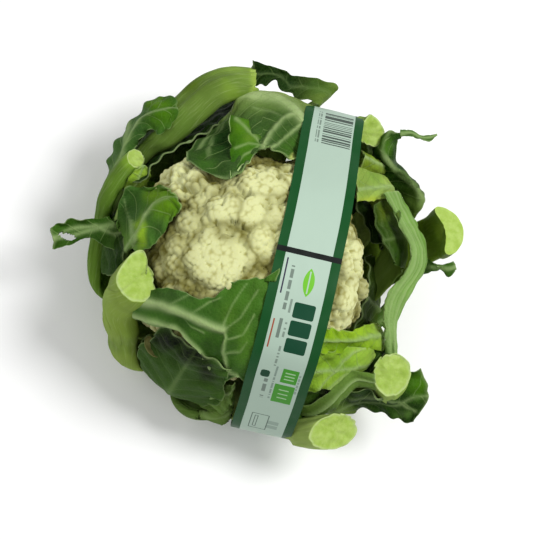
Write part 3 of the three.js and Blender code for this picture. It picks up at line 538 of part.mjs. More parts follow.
// The curd: a dome of florets over short branches, one grown piece.
function curdSolid (grow) {
  const P = []; const T = []
  const R = CURD_RINGS; const S = CURD_SPOKES
  const [cx, cy, cz] = CURD_CENTRE
  for (let i = 1; i < R; i++) {
    const el = Math.PI / 2 - Math.PI * i / R
    for (let j = 0; j < S; j++) {
      const az = 2 * Math.PI * (j + 0.5 * (i % 2)) / S
      const z = Math.sin(el); const h = Math.cos(el)
      const c = z > 0 ? CURD_RISE : CURD_DROP
      let r = Math.pow(Math.pow(h / CURD_RADIUS, CURD_SHAPE) + Math.pow(Math.abs(z) / c, CURD_SHAPE), -1 / CURD_SHAPE)
      if (z > -0.25) r -= CURD_BUMP * (0.5 + 0.5 * Math.sin(az * 7 + i * 1.7) * Math.sin(el * 9 + 0.6)) * Math.min(1, (z + 0.25) * 3)
      r += grow
      P.push([cx + r * h * Math.cos(az), cy + r * h * Math.sin(az), cz + r * z])
    }
  }
  const top = P.push([cx, cy, cz + CURD_RISE - 0.5 + grow]) - 1
  const bot = P.push([cx, cy, cz - CURD_DROP - grow]) - 1
  const id = (i, j) => (i - 1) * S + ((j + S) % S)
  for (let j = 0; j < S; j++) {
    T.push([top, id(1, j), id(1, j + 1)])
    T.push([bot, id(R - 1, j + 1), id(R - 1, j)])
  }
  for (let i = 1; i < R - 1; i++) {
    for (let j = 0; j < S; j++) {
      T.push([id(i, j), id(i + 1, j), id(i + 1, j + 1)], [id(i, j), id(i + 1, j + 1), id(i, j + 1)])
    }
  }
  return solid(P, T)
}

// The stem: a stump with a flat cut, swelling up to where the curd's branches begin.
function stemSolid (grow) {
  const S = 26
  const rows = [[0, STEM_RADIUS - 0.8], [0.8, STEM_RADIUS], [12, STEM_RADIUS], [30, STEM_RADIUS + 0.6], [STEM_HEIGHT, STEM_TOP_RADIUS]]
  const P = []; const T = []
  rows.forEach(([z, r], i) => {
    const zz = z + (i === 0 ? -grow : i === rows.length - 1 ? grow : 0)
    for (let j = 0; j < S; j++) {
      const a = 2 * Math.PI * j / S
      const w = 1 + 0.02 * Math.cos(3 * a + 0.4)
      P.push([(r * w + grow) * Math.cos(a), (r * w + grow) * Math.sin(a), zz])
    }
  })
  const bot = P.push([0, 0, -grow]) - 1
  const top = P.push([0, 0, STEM_HEIGHT + grow]) - 1
  for (let i = 0; i < rows.length - 1; i++) {
    for (let j = 0; j < S; j++) {
      const a = i * S + j; const b = i * S + (j + 1) % S
      T.push([a, b, b + S], [a, b + S, a + S])
    }
  }
  for (let j = 0; j < S; j++) {
    T.push([bot, (j + 1) % S, j])
    const q = (rows.length - 1) * S
    T.push([top, q + j, q + (j + 1) % S])
  }
  return solid(P, T)
}

// The band: a closed loop of film standing on its edge across the head.
function bandSolid (grow) {
  const n = BAND_LOOP.length
  const c = add(BAND_CENTRE, BAND_NORMAL, BAND_OFFSET)
  const put = (a, b, w) => [0, 1, 2].map((k) => c[k] + BAND_ACROSS[k] * a + BAND_UP[k] * b + BAND_NORMAL[k] * w)
  const P = []; const T = []
  const half = BAND_WIDTH / 2 + grow
  for (let i = 0; i < n; i++) {
    const p = BAND_LOOP[i]; const a = BAND_LOOP[(i + n - 1) % n]; const b = BAND_LOOP[(i + 1) % n]
    const t = [b[0] - a[0], b[1] - a[1]]; const l = Math.hypot(...t)
    let nx = t[1] / l; let ny = -t[0] / l
    if (nx * p[0] + ny * (p[1] + 2) < 0) { nx = -nx; ny = -ny }
    const o0 = -grow; const o1 = BAND_THICK + grow
    P.push(put(p[0] + nx * o0, p[1] + ny * o0, -half), put(p[0] + nx * o1, p[1] + ny * o1, -half),
      put(p[0] + nx * o1, p[1] + ny * o1, half), put(p[0] + nx * o0, p[1] + ny * o0, half))
  }
  for (let i = 0; i < n; i++) {
    const j = (i + 1) % n
    for (let k = 0; k < 4; k++) {
      const a = 4 * i + k; const b = 4 * i + (k + 1) % 4; const d = 4 * j + k; const e = 4 * j + (k + 1) % 4
      T.push([a, b, e], [a, e, d])
    }
  }
  let s = solid(P, T)
  if (s.volume() < 0) s = solid(P, T.map(([a, b, c2]) => [a, c2, b]))
  return s
}

// keep only the largest body after a cut
function largest (m) {
  const parts = m.decompose()
  let best = null
  for (const q of parts) if (!best || q.volume() > best.volume()) best = q
  return best
}
const box = (m) => m.boundingBox()
const touch = (a, b) => [0, 1, 2].every((k) => a.min[k] < b.max[k] && a.max[k] > b.min[k])

const root = new THREE.Group()
root.name = 'cauliflower'
function place (name, body, material) {
  const g = body.getMesh()
  const geo = new THREE.BufferGeometry()
  const P = new Float32Array(g.numVert * 3)
  for (let i = 0; i < g.numVert; i++) for (let k = 0; k < 3; k++) P[3 * i + k] = g.vertProperties[i * g.numProp + k]
  geo.setAttribute('position', new THREE.BufferAttribute(P, 3))
  geo.setIndex(new THREE.BufferAttribute(new Uint32Array(g.triVerts), 1))
  const soft = geo.toNonIndexed()
  soft.computeVertexNormals()
  const mesh = new THREE.Mesh(soft, material)
  mesh.name = name
  root.add(mesh)
}

const curd = curdSolid(0)
const stem = largest(stemSolid(0).subtract(curdSolid(CLEAR)))
const band = bandSolid(0)
place('curd', curd, MAT.curd)
place('stem', stem, MAT.stem)
const taken = [curdSolid(CLEAR), stemSolid(CLEAR), bandSolid(CLEAR)].map((m) => ({ m, b: box(m) }))

for (const leaf of LEAVES) {
  let body = null; let fat = null
  for (const st of leaf.lofts) {
    const a = loftSolid(st, 0); const b = loftSolid(st, CLEAR)
    body = body ? body.add(a) : a
    fat = fat ? fat.add(b) : b
  }
  const bb = box(body)
  for (const t of taken) if (touch(bb, t.b)) body = body.subtract(t.m)
  body = largest(body)
  place(leaf.name, body, MAT[leaf.tone])
  taken.push({ m: fat, b: box(fat) }, { m: body, b: box(body) })
}
place('label_band', band, MAT.band)

export default root
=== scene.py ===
import math

import bpy
import numpy as np
from mathutils import Matrix, Vector, kdtree


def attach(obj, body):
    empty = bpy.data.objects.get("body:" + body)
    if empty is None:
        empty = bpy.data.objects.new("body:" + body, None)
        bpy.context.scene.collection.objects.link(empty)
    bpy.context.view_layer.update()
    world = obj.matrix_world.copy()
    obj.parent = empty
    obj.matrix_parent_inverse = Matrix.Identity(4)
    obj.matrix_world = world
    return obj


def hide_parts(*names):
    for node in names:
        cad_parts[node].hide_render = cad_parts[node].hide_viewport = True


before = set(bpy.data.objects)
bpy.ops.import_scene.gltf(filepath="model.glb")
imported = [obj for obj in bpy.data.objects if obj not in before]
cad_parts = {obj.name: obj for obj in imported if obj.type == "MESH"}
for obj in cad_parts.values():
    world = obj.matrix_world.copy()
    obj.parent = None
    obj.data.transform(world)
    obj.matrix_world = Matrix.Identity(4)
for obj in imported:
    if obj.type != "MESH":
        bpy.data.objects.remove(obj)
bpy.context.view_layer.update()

RNG = np.random.default_rng(11)
MM = 0.001

# The layout: every leaf is one or more lofts. A loft is a row of stations from the stem to the
# tip; a station is a row of (x, y, z, thickness) in mm from one edge of the leaf to the other.
LOFTS = {
    "A2": [
        [(-9.5, 19.5, 12.2, 4), (-12.4, 15.7, 10.6, 8), (-15.4, 12, 10, 9), (-18.3, 8.3, 10.6, 8), (-21.2, 4.5, 12.2, 4)],
        [(-19.7, 30, 10.7, 4), (-23.3, 25.5, 9.1, 8), (-26.8, 20.9, 8.5, 9), (-30.3, 16.4, 9.1, 8), (-33.9, 11.9, 10.7, 4)],
        [(-36.8, 47.1, 12.2, 4.2), (-41.3, 41.4, 10.6, 8.5), (-45.7, 35.7, 10, 9.5), (-50.1, 30, 10.6, 8.5), (-54.6, 24.4, 12.2, 4.2)],
        [(-53.7, 62.5, 25.2, 4.2), (-61.7, 58.5, 23.6, 8.5), (-67.8, 52.9, 23, 9.5), (-71.7, 45.8, 23.6, 8.5), (-73.6, 36.9, 25.2, 4.2)],
        [(-71.7, 75.8, 46.2, 4), (-79.3, 71.9, 44.5, 8), (-85.1, 66.5, 44, 9), (-88.9, 59.6, 44.5, 8), (-90.9, 51.2, 46.2, 4)],
        [(-102.4, 62, 58, 3), (-101.3, 60.3, 68, 3.8), (-99.4, 60.9, 76, 9), (-96.8, 63.1, 79, 3.8), (-94, 66, 80, 3)],
        [(-102.5, 76.4, 66, 3), (-99.2, 74, 78, 3.6), (-95.3, 73.7, 86, 8), (-91.2, 75.6, 90, 3.6), (-87.1, 78.2, 92, 3)],
        [(-97.4, 94, 72, 3), (-92.8, 91.5, 84, 3.5), (-88.3, 91.1, 94, 7), (-84.2, 89.9, 98, 3.5), (-80.7, 86.3, 100, 3)],
        [(-86.4, 107.3, 78, 3), (-83.4, 103.7, 90, 3.4), (-80.4, 101.6, 100, 6), (-77.7, 97.2, 104, 3.4), (-75.4, 92, 104, 3)],
        [(-76.4, 118.9, 88, 3), (-74.2, 111.2, 100, 3.3), (-71.1, 103.2, 109, 5), (-66.9, 96.3, 112, 3.3), (-67.9, 86.8, 109, 3)],
        [(-66.4, 119.4, 100, 3), (-64, 112.9, 107, 3.1), (-62.1, 105.7, 112, 4), (-60.7, 100.1, 113, 3.1), (-63.1, 91.3, 110, 3)],
        [(-55.9, 112.7, 105, 3), (-56.1, 109.2, 108, 3), (-55.6, 106.2, 110, 3), (-56.3, 102.7, 111, 3), (-57.6, 100, 110, 3)],
    ],
    "A4": [
        [(-21.5, 3, 23.2, 4), (-20, -1.5, 21.6, 8), (-18.5, -6, 21, 9), (-17.1, -10.5, 21.6, 8), (-15.6, -15.1, 23.2, 4)],
        [(-35.7, 0, 21.2, 4), (-34, -5.3, 19.6, 8), (-32.3, -10.5, 19, 9), (-30.6, -15.7, 19.6, 8), (-28.9, -21, 21.2, 4)],
        [(-59.2, -5.4, 22.7, 4.2), (-57.2, -11.6, 21.1, 8.5), (-55.2, -17.9, 20.5, 9.5), (-53.1, -24.2, 21.1, 8.5), (-51.1, -30.5, 22.7, 4.2)],
        [(-82.2, -11.1, 34.7, 4.2), (-83, -19.2, 33, 8.5), (-81.8, -26.6, 32.5, 9.5), (-78.4, -33.3, 33, 8.5), (-73, -39.3, 34.7, 4.2)],
        [(-97.1, -16.5, 55.2, 4), (-97.8, -24.2, 53.5, 8), (-96.5, -31.4, 53, 9), (-93.4, -37.8, 53.5, 8), (-88.2, -43.7, 55.2, 4)],
        [(-94, 20, 64, 3), (-91, 11.8, 67, 3.6), (-88, 2.2, 70, 8), (-87.1, -1.2, 69, 3.6), (-86.9, -4.2, 66, 3)],
        [(-99.4, 30.4, 82, 3), (-98, 27.6, 84, 3.5), (-95.1, 24.2, 86, 7), (-93.3, 14.6, 84, 3.5), (-91.5, 5.4, 80, 3)],
        [(-108, 28.2, 88, 3), (-107.2, 26, 88, 3.4), (-105.7, 22.4, 88, 6), (-104.7, 16.4, 86, 3.4), (-103, 9, 84, 3)],
        [(-120.6, 26.4, 92, 3), (-119, 22.9, 89, 3.3), (-116.1, 19, 88, 5), (-115.3, 17.1, 87, 3.3), (-114.5, 15.2, 86, 3)],
        [(-133, 24, 93, 3), (-131.4, 20.9, 89, 3.1), (-128.4, 15, 87, 4), (-128.3, 12.4, 86, 3.1), (-128.2, 9, 85, 3)],
        [(-142.4, 18.7, 92, 3), (-141.5, 15.4, 91, 3), (-140, 11.4, 90, 3), (-139.2, 8.9, 89, 3), (-139.1, 5.5, 88, 3)],
    ],
    "A5": [
        [(-21.7, 0.4, 34.2, 4), (-19.7, -3.9, 32.5, 8), (-17.7, -8.2, 32, 9), (-15.7, -12.5, 32.5, 8), (-13.7, -16.9, 34.2, 4)],
        [(-35, -5.3, 31.7, 4), (-32.9, -9.8, 30.1, 8), (-30.8, -14.4, 29.5, 9), (-28.7, -18.9, 30.1, 8), (-26.6, -23.4, 31.7, 4)],
        [(-57.6, -13.6, 33.2, 4.2), (-55.1, -19.1, 31.6, 8.5), (-52.6, -24.5, 31, 9.5), (-50, -29.9, 31.6, 8.5), (-47.5, -35.4, 33.2, 4.2)],
        [(-80.3, -22.6, 44.2, 4.2), (-80, -29.8, 42.5, 8.5), (-77.9, -36.3, 42, 9.5), (-74.3, -42.1, 42.5, 8.5), (-68.9, -47, 44.2, 4.2)],
        [(-88.5, -26.9, 64.2, 4), (-88.1, -33.9, 62.5, 8), (-86.1, -40.1, 62, 9), (-82.6, -45.7, 62.5, 8), (-77.5, -50.5, 64.2, 4)],
        [(-89.2, 14.2, 86, 2.5), (-88.6, 5.7, 86, 3.1), (-91, 0, 86, 7), (-89.4, 1.6, 87, 3.1), (-89, 3.4, 88, 2.5)],
        [(-96.4, 30, 94, 2.5), (-91.3, 22.6, 95, 3), (-83.7, 9, 126.6, 6.1), (-79.8, 3.8, 130.6, 3), (-75, -4.6, 131.7, 2.5)],
        [(-94.2, 40.8, 100, 2.5), (-86.5, 35.4, 102, 2.9), (-78.9, 19.3, 130.4, 5.2), (-74.4, 9.1, 137.4, 2.9), (-71.5, -1.9, 137.6, 2.5)],
        [(-89.7, 47.8, 104, 2.5), (-81.3, 41.4, 107, 2.7), (-73.8, 25.7, 133.6, 4.4), (-68.3, 13.4, 142.9, 2.7), (-66, 5.3, 142.5, 2.5)],
        [(-80.1, 47.4, 107, 2.5), (-73.6, 43, 115, 2.6), (-67.5, 30.5, 137.5, 3.5), (-62, 19.7, 146.2, 2.6), (-61.8, 12.3, 145.4, 2.5)],
        [(-65.3, 39.8, 133.2, 2.5), (-61.8, 34.9, 140.2, 2.5), (-58.2, 29.1, 145.8, 2.6), (-56.4, 22.5, 149.3, 2.5), (-57.5, 17.9, 148.3, 2.5)],
    ],
    "A6": [
        [(-18.8, 10.3, 34.2, 4), (-19.1, 5.8, 32.5, 8), (-19.5, 1.4, 32, 9), (-19.8, -3.1, 32.5, 8), (-20.1, -7.6, 34.2, 4)],
        [(-33.3, 11.3, 31.7, 4), (-33.6, 6.9, 30.1, 8), (-33.9, 2.4, 29.5, 9), (-34.2, -2.1, 30.1, 8), (-34.5, -6.6, 31.7, 4)],
        [(-57.1, 14.8, 33.2, 4.2), (-57.5, 9.4, 31.6, 8.5), (-57.9, 4, 31, 9.5), (-58.2, -1.3, 31.6, 8.5), (-58.6, -6.7, 33.2, 4.2)],
        [(-82, 17.9, 44.2, 4.2), (-84.6, 12, 42.5, 8.5), (-85.8, 6, 42, 9.5), (-85.5, -0.1, 42.5, 8.5), (-83.7, -6.3, 44.2, 4.2)],
        [(-91.2, 18.1, 64.2, 4), (-93.7, 12.4, 62.5, 8), (-94.8, 6.6, 62, 9), (-94.5, 0.7, 62.5, 8), (-92.9, -5.2, 64.2, 4)],
        [(-92, 49.3, 92, 2.5), (-89.3, 50.3, 94, 3), (-85.9, 51.4, 96, 6), (-80.9, 51.6, 96, 3), (-76.7, 52.6, 96, 2.5)],
        [(-89.8, 54, 103, 2.5), (-86.5, 55.1, 105, 2.7), (-82.4, 56.4, 106, 4.3), (-78.2, 56.7, 106, 2.7), (-74.6, 57.2, 105, 2.5)],
        [(-86.7, 58.8, 107, 2.5), (-83.4, 60.5, 109, 2.5), (-80, 62.6, 110, 2.6), (-77.2, 61.3, 110, 2.5), (-75.7, 59.5, 109, 2.5)],
    ],
    "E2": [
        [(-74.2, -32.6, 130.8, 2.5), (-75.3, -35.3, 127.6, 2.7), (-76.3, -38.7, 124.3, 4), (-76.5, -41.7, 119, 2.7), (-77.3, -44.4, 112.1, 2.5)],
        [(-65.7, -32.4, 140.6, 2.5), (-66, -37.9, 137.8, 2.7), (-66.3, -43.4, 135, 3.8), (-67.2, -47.1, 130.2, 2.7), (-67.5, -50.4, 126, 2.5)],
        [(-55.8, -35.6, 147.4, 2.5), (-55.4, -42.4, 144.6, 2.6), (-54.4, -48.6, 142.5, 3.6), (-55.1, -53.6, 137.5, 2.6), (-57.2, -57.3, 132.1, 2.5)],
        [(-45, -40.8, 151.3, 2.5), (-43.3, -47.5, 148.7, 2.6), (-41.6, -54.9, 146.2, 3.5), (-42.7, -62.2, 139.3, 2.6), (-47.8, -65.7, 131.9, 2.5)],
        [(-35, -40.6, 155.3, 2.5), (-31.9, -49.8, 152.3, 2.6), (-27.9, -60, 147.6, 3.3), (-30.6, -69.1, 139, 2.6), (-37.7, -75.2, 126.7, 2.5)],
        [(-22, -30.6, 160.5, 2.5), (-20.2, -44.5, 157.3, 2.6), (-21.3, -62.5, 147.8, 3.1), (-25.2, -72.1, 137.9, 2.6), (-30, -86.4, 92, 2.5)],
        [(-10.5, -29.3, 162.4, 2.5), (-11.3, -40.6, 159.2, 2.6), (-12.1, -57.8, 152.4, 3), (-17.5, -72.2, 139.8, 2.6), (-22.3, -88.1, 94, 2.5)],
        [(-1.3, -27.6, 162.6, 2.5), (-4.4, -36.8, 161.2, 2.5), (-8.1, -51.7, 155.7, 2.8), (-10, -69.9, 143.3, 2.5), (-13.5, -86.6, 117.5, 2.5)],
        [(7.1, -21.5, 163.6, 2.5), (4.3, -35.7, 160.8, 2.5), (-1.3, -53.2, 154.8, 2.6), (-3.8, -72.1, 141.8, 2.5), (-6.4, -88.9, 111.3, 2.5)],
    ],
    "E3": [
        [(-15.6, -15.1, 12.2, 4), (-11.1, -16.7, 10.6, 8), (-6.7, -18.3, 10, 9), (-2.2, -19.9, 10.6, 8), (2.3, -21.6, 12.2, 4)],
        [(-22.4, -28, 10.7, 4), (-17, -30, 9.1, 8), (-11.6, -31.9, 8.5, 9), (-6.2, -33.9, 9.1, 8), (-0.8, -35.9, 10.7, 4)],
        [(-34.5, -49.2, 12.2, 4.2), (-27.2, -51.8, 10.6, 8.5), (-19.8, -54.5, 10, 9.5), (-12.5, -57.2, 10.6, 8.5), (-5.2, -59.8, 12.2, 4.2)],
        [(-43.8, -69, 25.2, 4.2), (-37.1, -76.4, 23.6, 8.5), (-29.4, -80.8, 23, 9.5), (-20.6, -82.4, 23.6, 8.5), (-10.8, -81, 25.2, 4.2)],
        [(-50.9, -90.3, 46.2, 4), (-44.4, -97.3, 44.5, 8), (-36.9, -101.5, 44, 9), (-28.5, -103, 44.5, 8), (-19.1, -101.9, 46.2, 4)],
        [(-14.9, -110.7, 52, 3), (-12.5, -106.8, 56, 3.8), (-11.2, -101.8, 62, 9), (-10.9, -97.1, 70, 3.8), (-10.9, -91.4, 80, 3)],
        [(-28, -100.2, 58, 3), (-26.2, -96.9, 60, 3.6), (-24, -94, 66, 7.8), (-19.6, -90.3, 76, 3.6), (-15.6, -89.2, 86, 3)],
        [(-43.2, -92.1, 64, 3), (-42.3, -88.2, 62, 3.5), (-39.9, -85.1, 66, 6.6), (-35.1, -82.6, 74, 3.5), (-31.7, -84, 84, 3)],
        [(-59.4, -82.3, 68, 3), (-57.2, -77, 66, 3.3), (-53.2, -72.1, 68, 5.4), (-49.5, -69.2, 74, 3.3), (-50.9, -73.6, 82, 3)],
        [(-71.1, -68.7, 70, 3), (-67.6, -63.2, 68, 3.2), (-63.5, -58.2, 69, 4.2), (-62.4, -57.8, 74, 3.2), (-64.4, -60.5, 80, 3)],
        [(-76.5, -56.3, 72, 3), (-75.1, -53.9, 71, 3), (-72.5, -52, 73, 3), (-69.9, -50.4, 76, 3), (-71.1, -52.7, 80, 3)],
    ],
    "D3": [
        [(1.5, -21.6, 12.2, 4), (5.6, -19.3, 10.6, 8), (9.8, -16.9, 10, 9), (13.9, -14.5, 10.6, 8), (18, -12.1, 12.2, 4)],
        [(7, -35.2, 10.7, 4), (12, -32.3, 9.1, 8), (17, -29.4, 8.5, 9), (22, -26.6, 9.1, 8), (27, -23.7, 10.7, 4)],
        [(16.5, -57.4, 12.2, 4.2), (22.8, -53.8, 10.6, 8.5), (29, -50.2, 10, 9.5), (35.2, -46.6, 10.6, 8.5), (41.5, -43, 12.2, 4.2)],
        [(26.3, -78, 25.2, 4.2), (35.3, -77.4, 23.6, 8.5), (43, -74.5, 23, 9.5), (49.4, -69.3, 23.6, 8.5), (54.4, -61.8, 25.2, 4.2)],
        [(38.1, -97.1, 46.2, 4), (46.6, -96.4, 44.5, 8), (54, -93.5, 44, 9), (60.1, -88.6, 44.5, 8), (65.1, -81.5, 46.2, 4)],
        [(53, -94.1, 80, 3), (60.1, -97.5, 74, 3.6), (67.4, -100.1, 68, 8), (73.7, -101.6, 63, 3.6), (80.1, -101.5, 58, 3)],
        [(66.3, -90.4, 86, 3), (71.8, -93.4, 78, 3.5), (78.1, -95.8, 70, 7), (82.7, -97.4, 66, 3.5), (86.7, -99, 62, 3)],
        [(81.8, -88.8, 88, 3), (87, -91.8, 79, 3.4), (92.7, -94.9, 71, 6), (96.4, -98.1, 68, 3.4), (99.6, -101.9, 64, 3)],
        [(97.9, -92.7, 88, 3), (103.7, -94.4, 80, 3.3), (109, -97.1, 74, 5), (112.3, -101.6, 70, 3.3), (112.8, -106.1, 65, 3)],
        [(113.8, -75.1, 88, 3), (118.5, -83.8, 84, 3.1), (120.2, -91.9, 80, 4), (121.7, -100.5, 74, 3.1), (122.5, -107.7, 68, 3)],
        [(124.3, -73.3, 88, 3), (128.4, -81.6, 86, 3), (130.8, -91.2, 82, 3), (128.8, -97.9, 78, 3), (125.1, -105.2, 72, 3)],
    ],
    "D5": [
        [(-3, -21.5, 34.2, 4), (1.5, -20, 32.5, 8), (6, -18.5, 32, 9), (10.5, -17.1, 32.5, 8), (15.1, -15.6, 34.2, 4)],
        [(0, -35.7, 31.7, 4), (5.3, -34, 30.1, 8), (10.5, -32.3, 29.5, 9), (15.7, -30.6, 30.1, 8), (21, -28.9, 31.7, 4)],
        [(5.4, -59.2, 33.2, 4.2), (11.6, -57.2, 31.6, 8.5), (17.9, -55.2, 31, 9.5), (24.2, -53.1, 31.6, 8.5), (30.5, -51.1, 33.2, 4.2)],
        [(11.1, -82.2, 44.2, 4.2), (19.2, -83, 42.5, 8.5), (26.6, -81.8, 42, 9.5), (33.3, -78.4, 42.5, 8.5), (39.3, -73, 44.2, 4.2)],
        [(14.5, -90.9, 64.2, 4), (22.2, -91.6, 62.5, 8), (29.4, -90.4, 62, 9), (35.8, -87.2, 62.5, 8), (41.7, -82, 64.2, 4)],
        [(39.1, -100.7, 84, 3), (42.8, -102.2, 80, 3.5), (46.5, -103, 76, 7), (51, -103.2, 72, 3.5), (54.8, -103.3, 68, 3)],
        [(52.1, -93.9, 94, 3), (54.9, -95.6, 91, 3.4), (58, -97.1, 87, 6), (61.2, -99.2, 82, 3.4), (64, -100.5, 76, 3)],
        [(61.6, -85.4, 100, 3), (62.8, -87.9, 98, 3.3), (64.4, -90.1, 94, 5), (66.2, -92.9, 89, 3.3), (67.6, -95.6, 83, 3)],
        [(70.8, -78.8, 104, 3), (72, -81.2, 102, 3.1), (73.6, -83.4, 98, 4), (75.3, -85.6, 94, 3.1), (76.5, -87.7, 89, 3)],
        [(85.2, -79.8, 104, 3), (86.4, -82.3, 102, 3), (88.1, -84.5, 98, 3), (89.8, -87.4, 94, 3), (91.5, -89.6, 90, 3)],
    ],
    "C5": [
        [(100.5, -75.6, 80, 3), (101.9, -75.6, 80, 3.5), (104.2, -75.5, 80, 7), (106.7, -75.3, 79, 3.5), (109.5, -74.9, 77, 3)],
        [(97.8, -61.5, 91, 3), (99.3, -61.5, 91, 3.5), (101.8, -61.3, 90, 6.6), (104.3, -61, 89, 3.5), (107.7, -60.9, 85, 3)],
        [(94.6, -51.2, 101, 3), (96.1, -51.1, 101, 3.4), (98.6, -50.9, 100, 6.1), (101.3, -51.1, 98, 3.4), (105, -50.1, 93, 3)],
        [(91.6, -37.5, 108, 3), (94.5, -37.4, 108, 3.3), (98.4, -37.8, 107, 5.7), (102.2, -37.8, 104, 3.3), (106.8, -37.8, 98, 3)],
        [(96, -20.9, 112, 3), (99.7, -21.5, 112, 3.3), (103.9, -20.8, 110, 5.2), (110.3, -18.9, 106, 3.3), (117.2, -15.4, 98, 3)],
        [(108.6, -4.6, 113, 3), (111.6, -4.4, 113, 3.2), (115.5, -3.5, 110, 4.8), (120.4, -2.3, 106, 3.2), (125.9, -0.1, 98, 3)],
        [(111.6, 7.1, 114, 3), (113.9, 7.2, 114, 3.2), (117.8, 8.2, 111, 4.3), (122, 9.4, 107, 3.2), (127.5, 11.8, 99, 3)],
        [(105.2, 22.8, 115, 3), (108.1, 22.9, 115, 3.1), (111.7, 22.9, 113, 3.9), (116.6, 24.3, 109, 3.1), (121.5, 26.2, 103, 3)],
        [(98.5, 38.4, 114, 3), (101.1, 37.5, 115, 3.1), (104.7, 37.6, 113, 3.4), (110, 38, 110, 3.1), (115.2, 38.2, 105, 3)],
        [(92.6, 49.3, 112, 3), (95.4, 50.6, 113, 3), (99.4, 51.9, 112, 3), (103.7, 52.8, 110, 3), (107.6, 53.2, 107, 3)],
    ],
    "C8": [
        [(14.7, -15.6, 23.2, 4), (16.4, -11.5, 21.6, 8), (18.1, -7.3, 21, 9), (19.8, -3.1, 21.6, 8), (21.5, 1, 23.2, 4)],
        [(28.2, -21.1, 21.2, 4), (29.8, -16.9, 19.6, 8), (31.5, -12.7, 19, 9), (33.2, -8.6, 19.6, 8), (34.9, -4.4, 21.2, 4)],
        [(49.7, -31.7, 22.7, 4.2), (51.8, -26.7, 21.1, 8.5), (53.8, -21.7, 20.5, 9.5), (55.8, -16.7, 21.1, 8.5), (57.8, -11.7, 22.7, 4.2)],
        [(72.4, -42.4, 34.7, 4.2), (76.8, -37.6, 33, 8.5), (79.7, -32.2, 32.5, 9.5), (81.3, -26.3, 33, 8.5), (81.6, -19.8, 34.7, 4.2)],
        [(87.2, -47.8, 55.2, 4), (91.3, -43.2, 53.5, 8), (94.1, -38, 53, 9), (95.7, -32.3, 53.5, 8), (96, -26.1, 55.2, 4)],
        [(134.2, 2.8, 66, 2.2), (134.7, 4.9, 70, 2.7), (134.3, 7, 74, 6), (133.1, 9.8, 78, 2.7), (131.9, 13.1, 80, 2.2)],
        [(136.9, 1.8, 80, 2.2), (136.6, 3.1, 81, 2.6), (136.4, 5.1, 82, 5.2), (136.1, 7.1, 83, 2.6), (135.1, 9.1, 84, 2.2)],
        [(142.3, 3.1, 85, 2.2), (142, 3.6, 86, 2.5), (142, 4.3, 86, 4.3), (141.7, 4.8, 87, 2.5), (141.7, 5.6, 87, 2.2)],
        [(147.9, -2.3, 86, 2.2), (147.7, -0.2, 87, 2.4), (147.5, 2.6, 88, 3.5), (147.5, 4.8, 88, 2.4), (147.6, 7.1, 88, 2.2)],
        [(153.1, 1.5, 87, 2.2), (153.2, 3, 87, 2.3), (152.1, 4.3, 88, 2.6), (152.2, 5.8, 88, 2.3), (151.5, 8.1, 88, 2.2)],
    ],
    "C6": [
        [(18.2, -11.8, 34.2, 4), (18.8, -7.1, 32.5, 8), (19.4, -2.4, 32, 9), (19.9, 2.3, 32.5, 8), (20.5, 7.1, 34.2, 4)],
        [(32.5, -14.1, 31.7, 4), (33.1, -9.1, 30.1, 8), (33.7, -4.1, 29.5, 9), (34.4, 0.8, 30.1, 8), (35, 5.8, 31.7, 4)],
        [(56.1, -19, 33.2, 4.2), (56.8, -13, 31.6, 8.5), (57.6, -7.1, 31, 9.5), (58.3, -1.1, 31.6, 8.5), (59, 4.8, 33.2, 4.2)],
        [(80.1, -23.4, 44.2, 4.2), (83.6, -17.1, 42.5, 8.5), (85.4, -10.5, 42, 9.5), (85.3, -3.7, 42.5, 8.5), (83.4, 3.4, 44.2, 4.2)],
        [(89.4, -24.1, 64.2, 4), (92.7, -17.9, 62.5, 8), (94.3, -11.6, 62, 9), (94.2, -5, 62.5, 8), (92.5, 1.7, 64.2, 4)],
        [(113.4, 1.3, 84, 2.5), (116.9, 13.7, 84, 3), (116.5, 26.7, 84, 6), (113.1, 42, 84, 3), (106.6, 53.5, 86, 2.5)],
        [(107.1, -0.1, 98, 2.5), (107, 9.3, 102, 2.7), (103.8, 19.8, 104, 4.3), (97.9, 33.6, 105, 2.7), (92.2, 46.1, 105, 2.5)],
        [(99.2, 0.7, 108, 2.5), (95.7, 7.4, 113, 2.5), (91, 14.7, 115, 2.6), (85.8, 26, 116, 2.5), (83.2, 39.3, 116, 2.5)],
    ],
    "C4": [
        [(21.6, -1.5, 34.2, 4), (19.9, 2.9, 32.5, 8), (18.1, 7.3, 32, 9), (16.3, 11.7, 32.5, 8), (14.5, 16.1, 34.2, 4)],
        [(35.3, 3.5, 31.7, 4), (33.4, 8.1, 30.1, 8), (31.5, 12.7, 29.5, 9), (29.7, 17.4, 30.1, 8), (27.8, 22, 31.7, 4)],
        [(58.3, 10.6, 33.2, 4.2), (56, 16.2, 31.6, 8.5), (53.8, 21.7, 31, 9.5), (51.5, 27.3, 31.6, 8.5), (49.3, 32.9, 33.2, 4.2)],
        [(81.4, 18.3, 44.2, 4.2), (81.4, 25.6, 42.5, 8.5), (79.7, 32.2, 42, 9.5), (76.4, 38.1, 42.5, 8.5), (71.3, 43.4, 44.2, 4.2)],
        [(89.8, 22.3, 64.2, 4), (89.7, 29.2, 62.5, 8), (88.1, 35.6, 62, 9), (84.9, 41.3, 62.5, 8), (80.1, 46.4, 64.2, 4)],
        [(100.2, 51.8, 98, 2.5), (100.2, 54.7, 101, 3), (100.1, 58.2, 102, 6), (98.7, 62.7, 102, 3), (96.8, 67.6, 101, 2.5)],
        [(85.1, 45.1, 112, 2.5), (85.4, 49, 114, 2.7), (85.2, 53.2, 115, 4.3), (84.6, 59.2, 115, 2.7), (83.8, 65.1, 113, 2.5)],
        [(71.7, 40.3, 118, 2.5), (71.3, 44.9, 120, 2.5), (71.1, 49, 121, 2.6), (71.6, 58.3, 120, 2.5), (73.7, 67.4, 118, 2.5)],
    ],
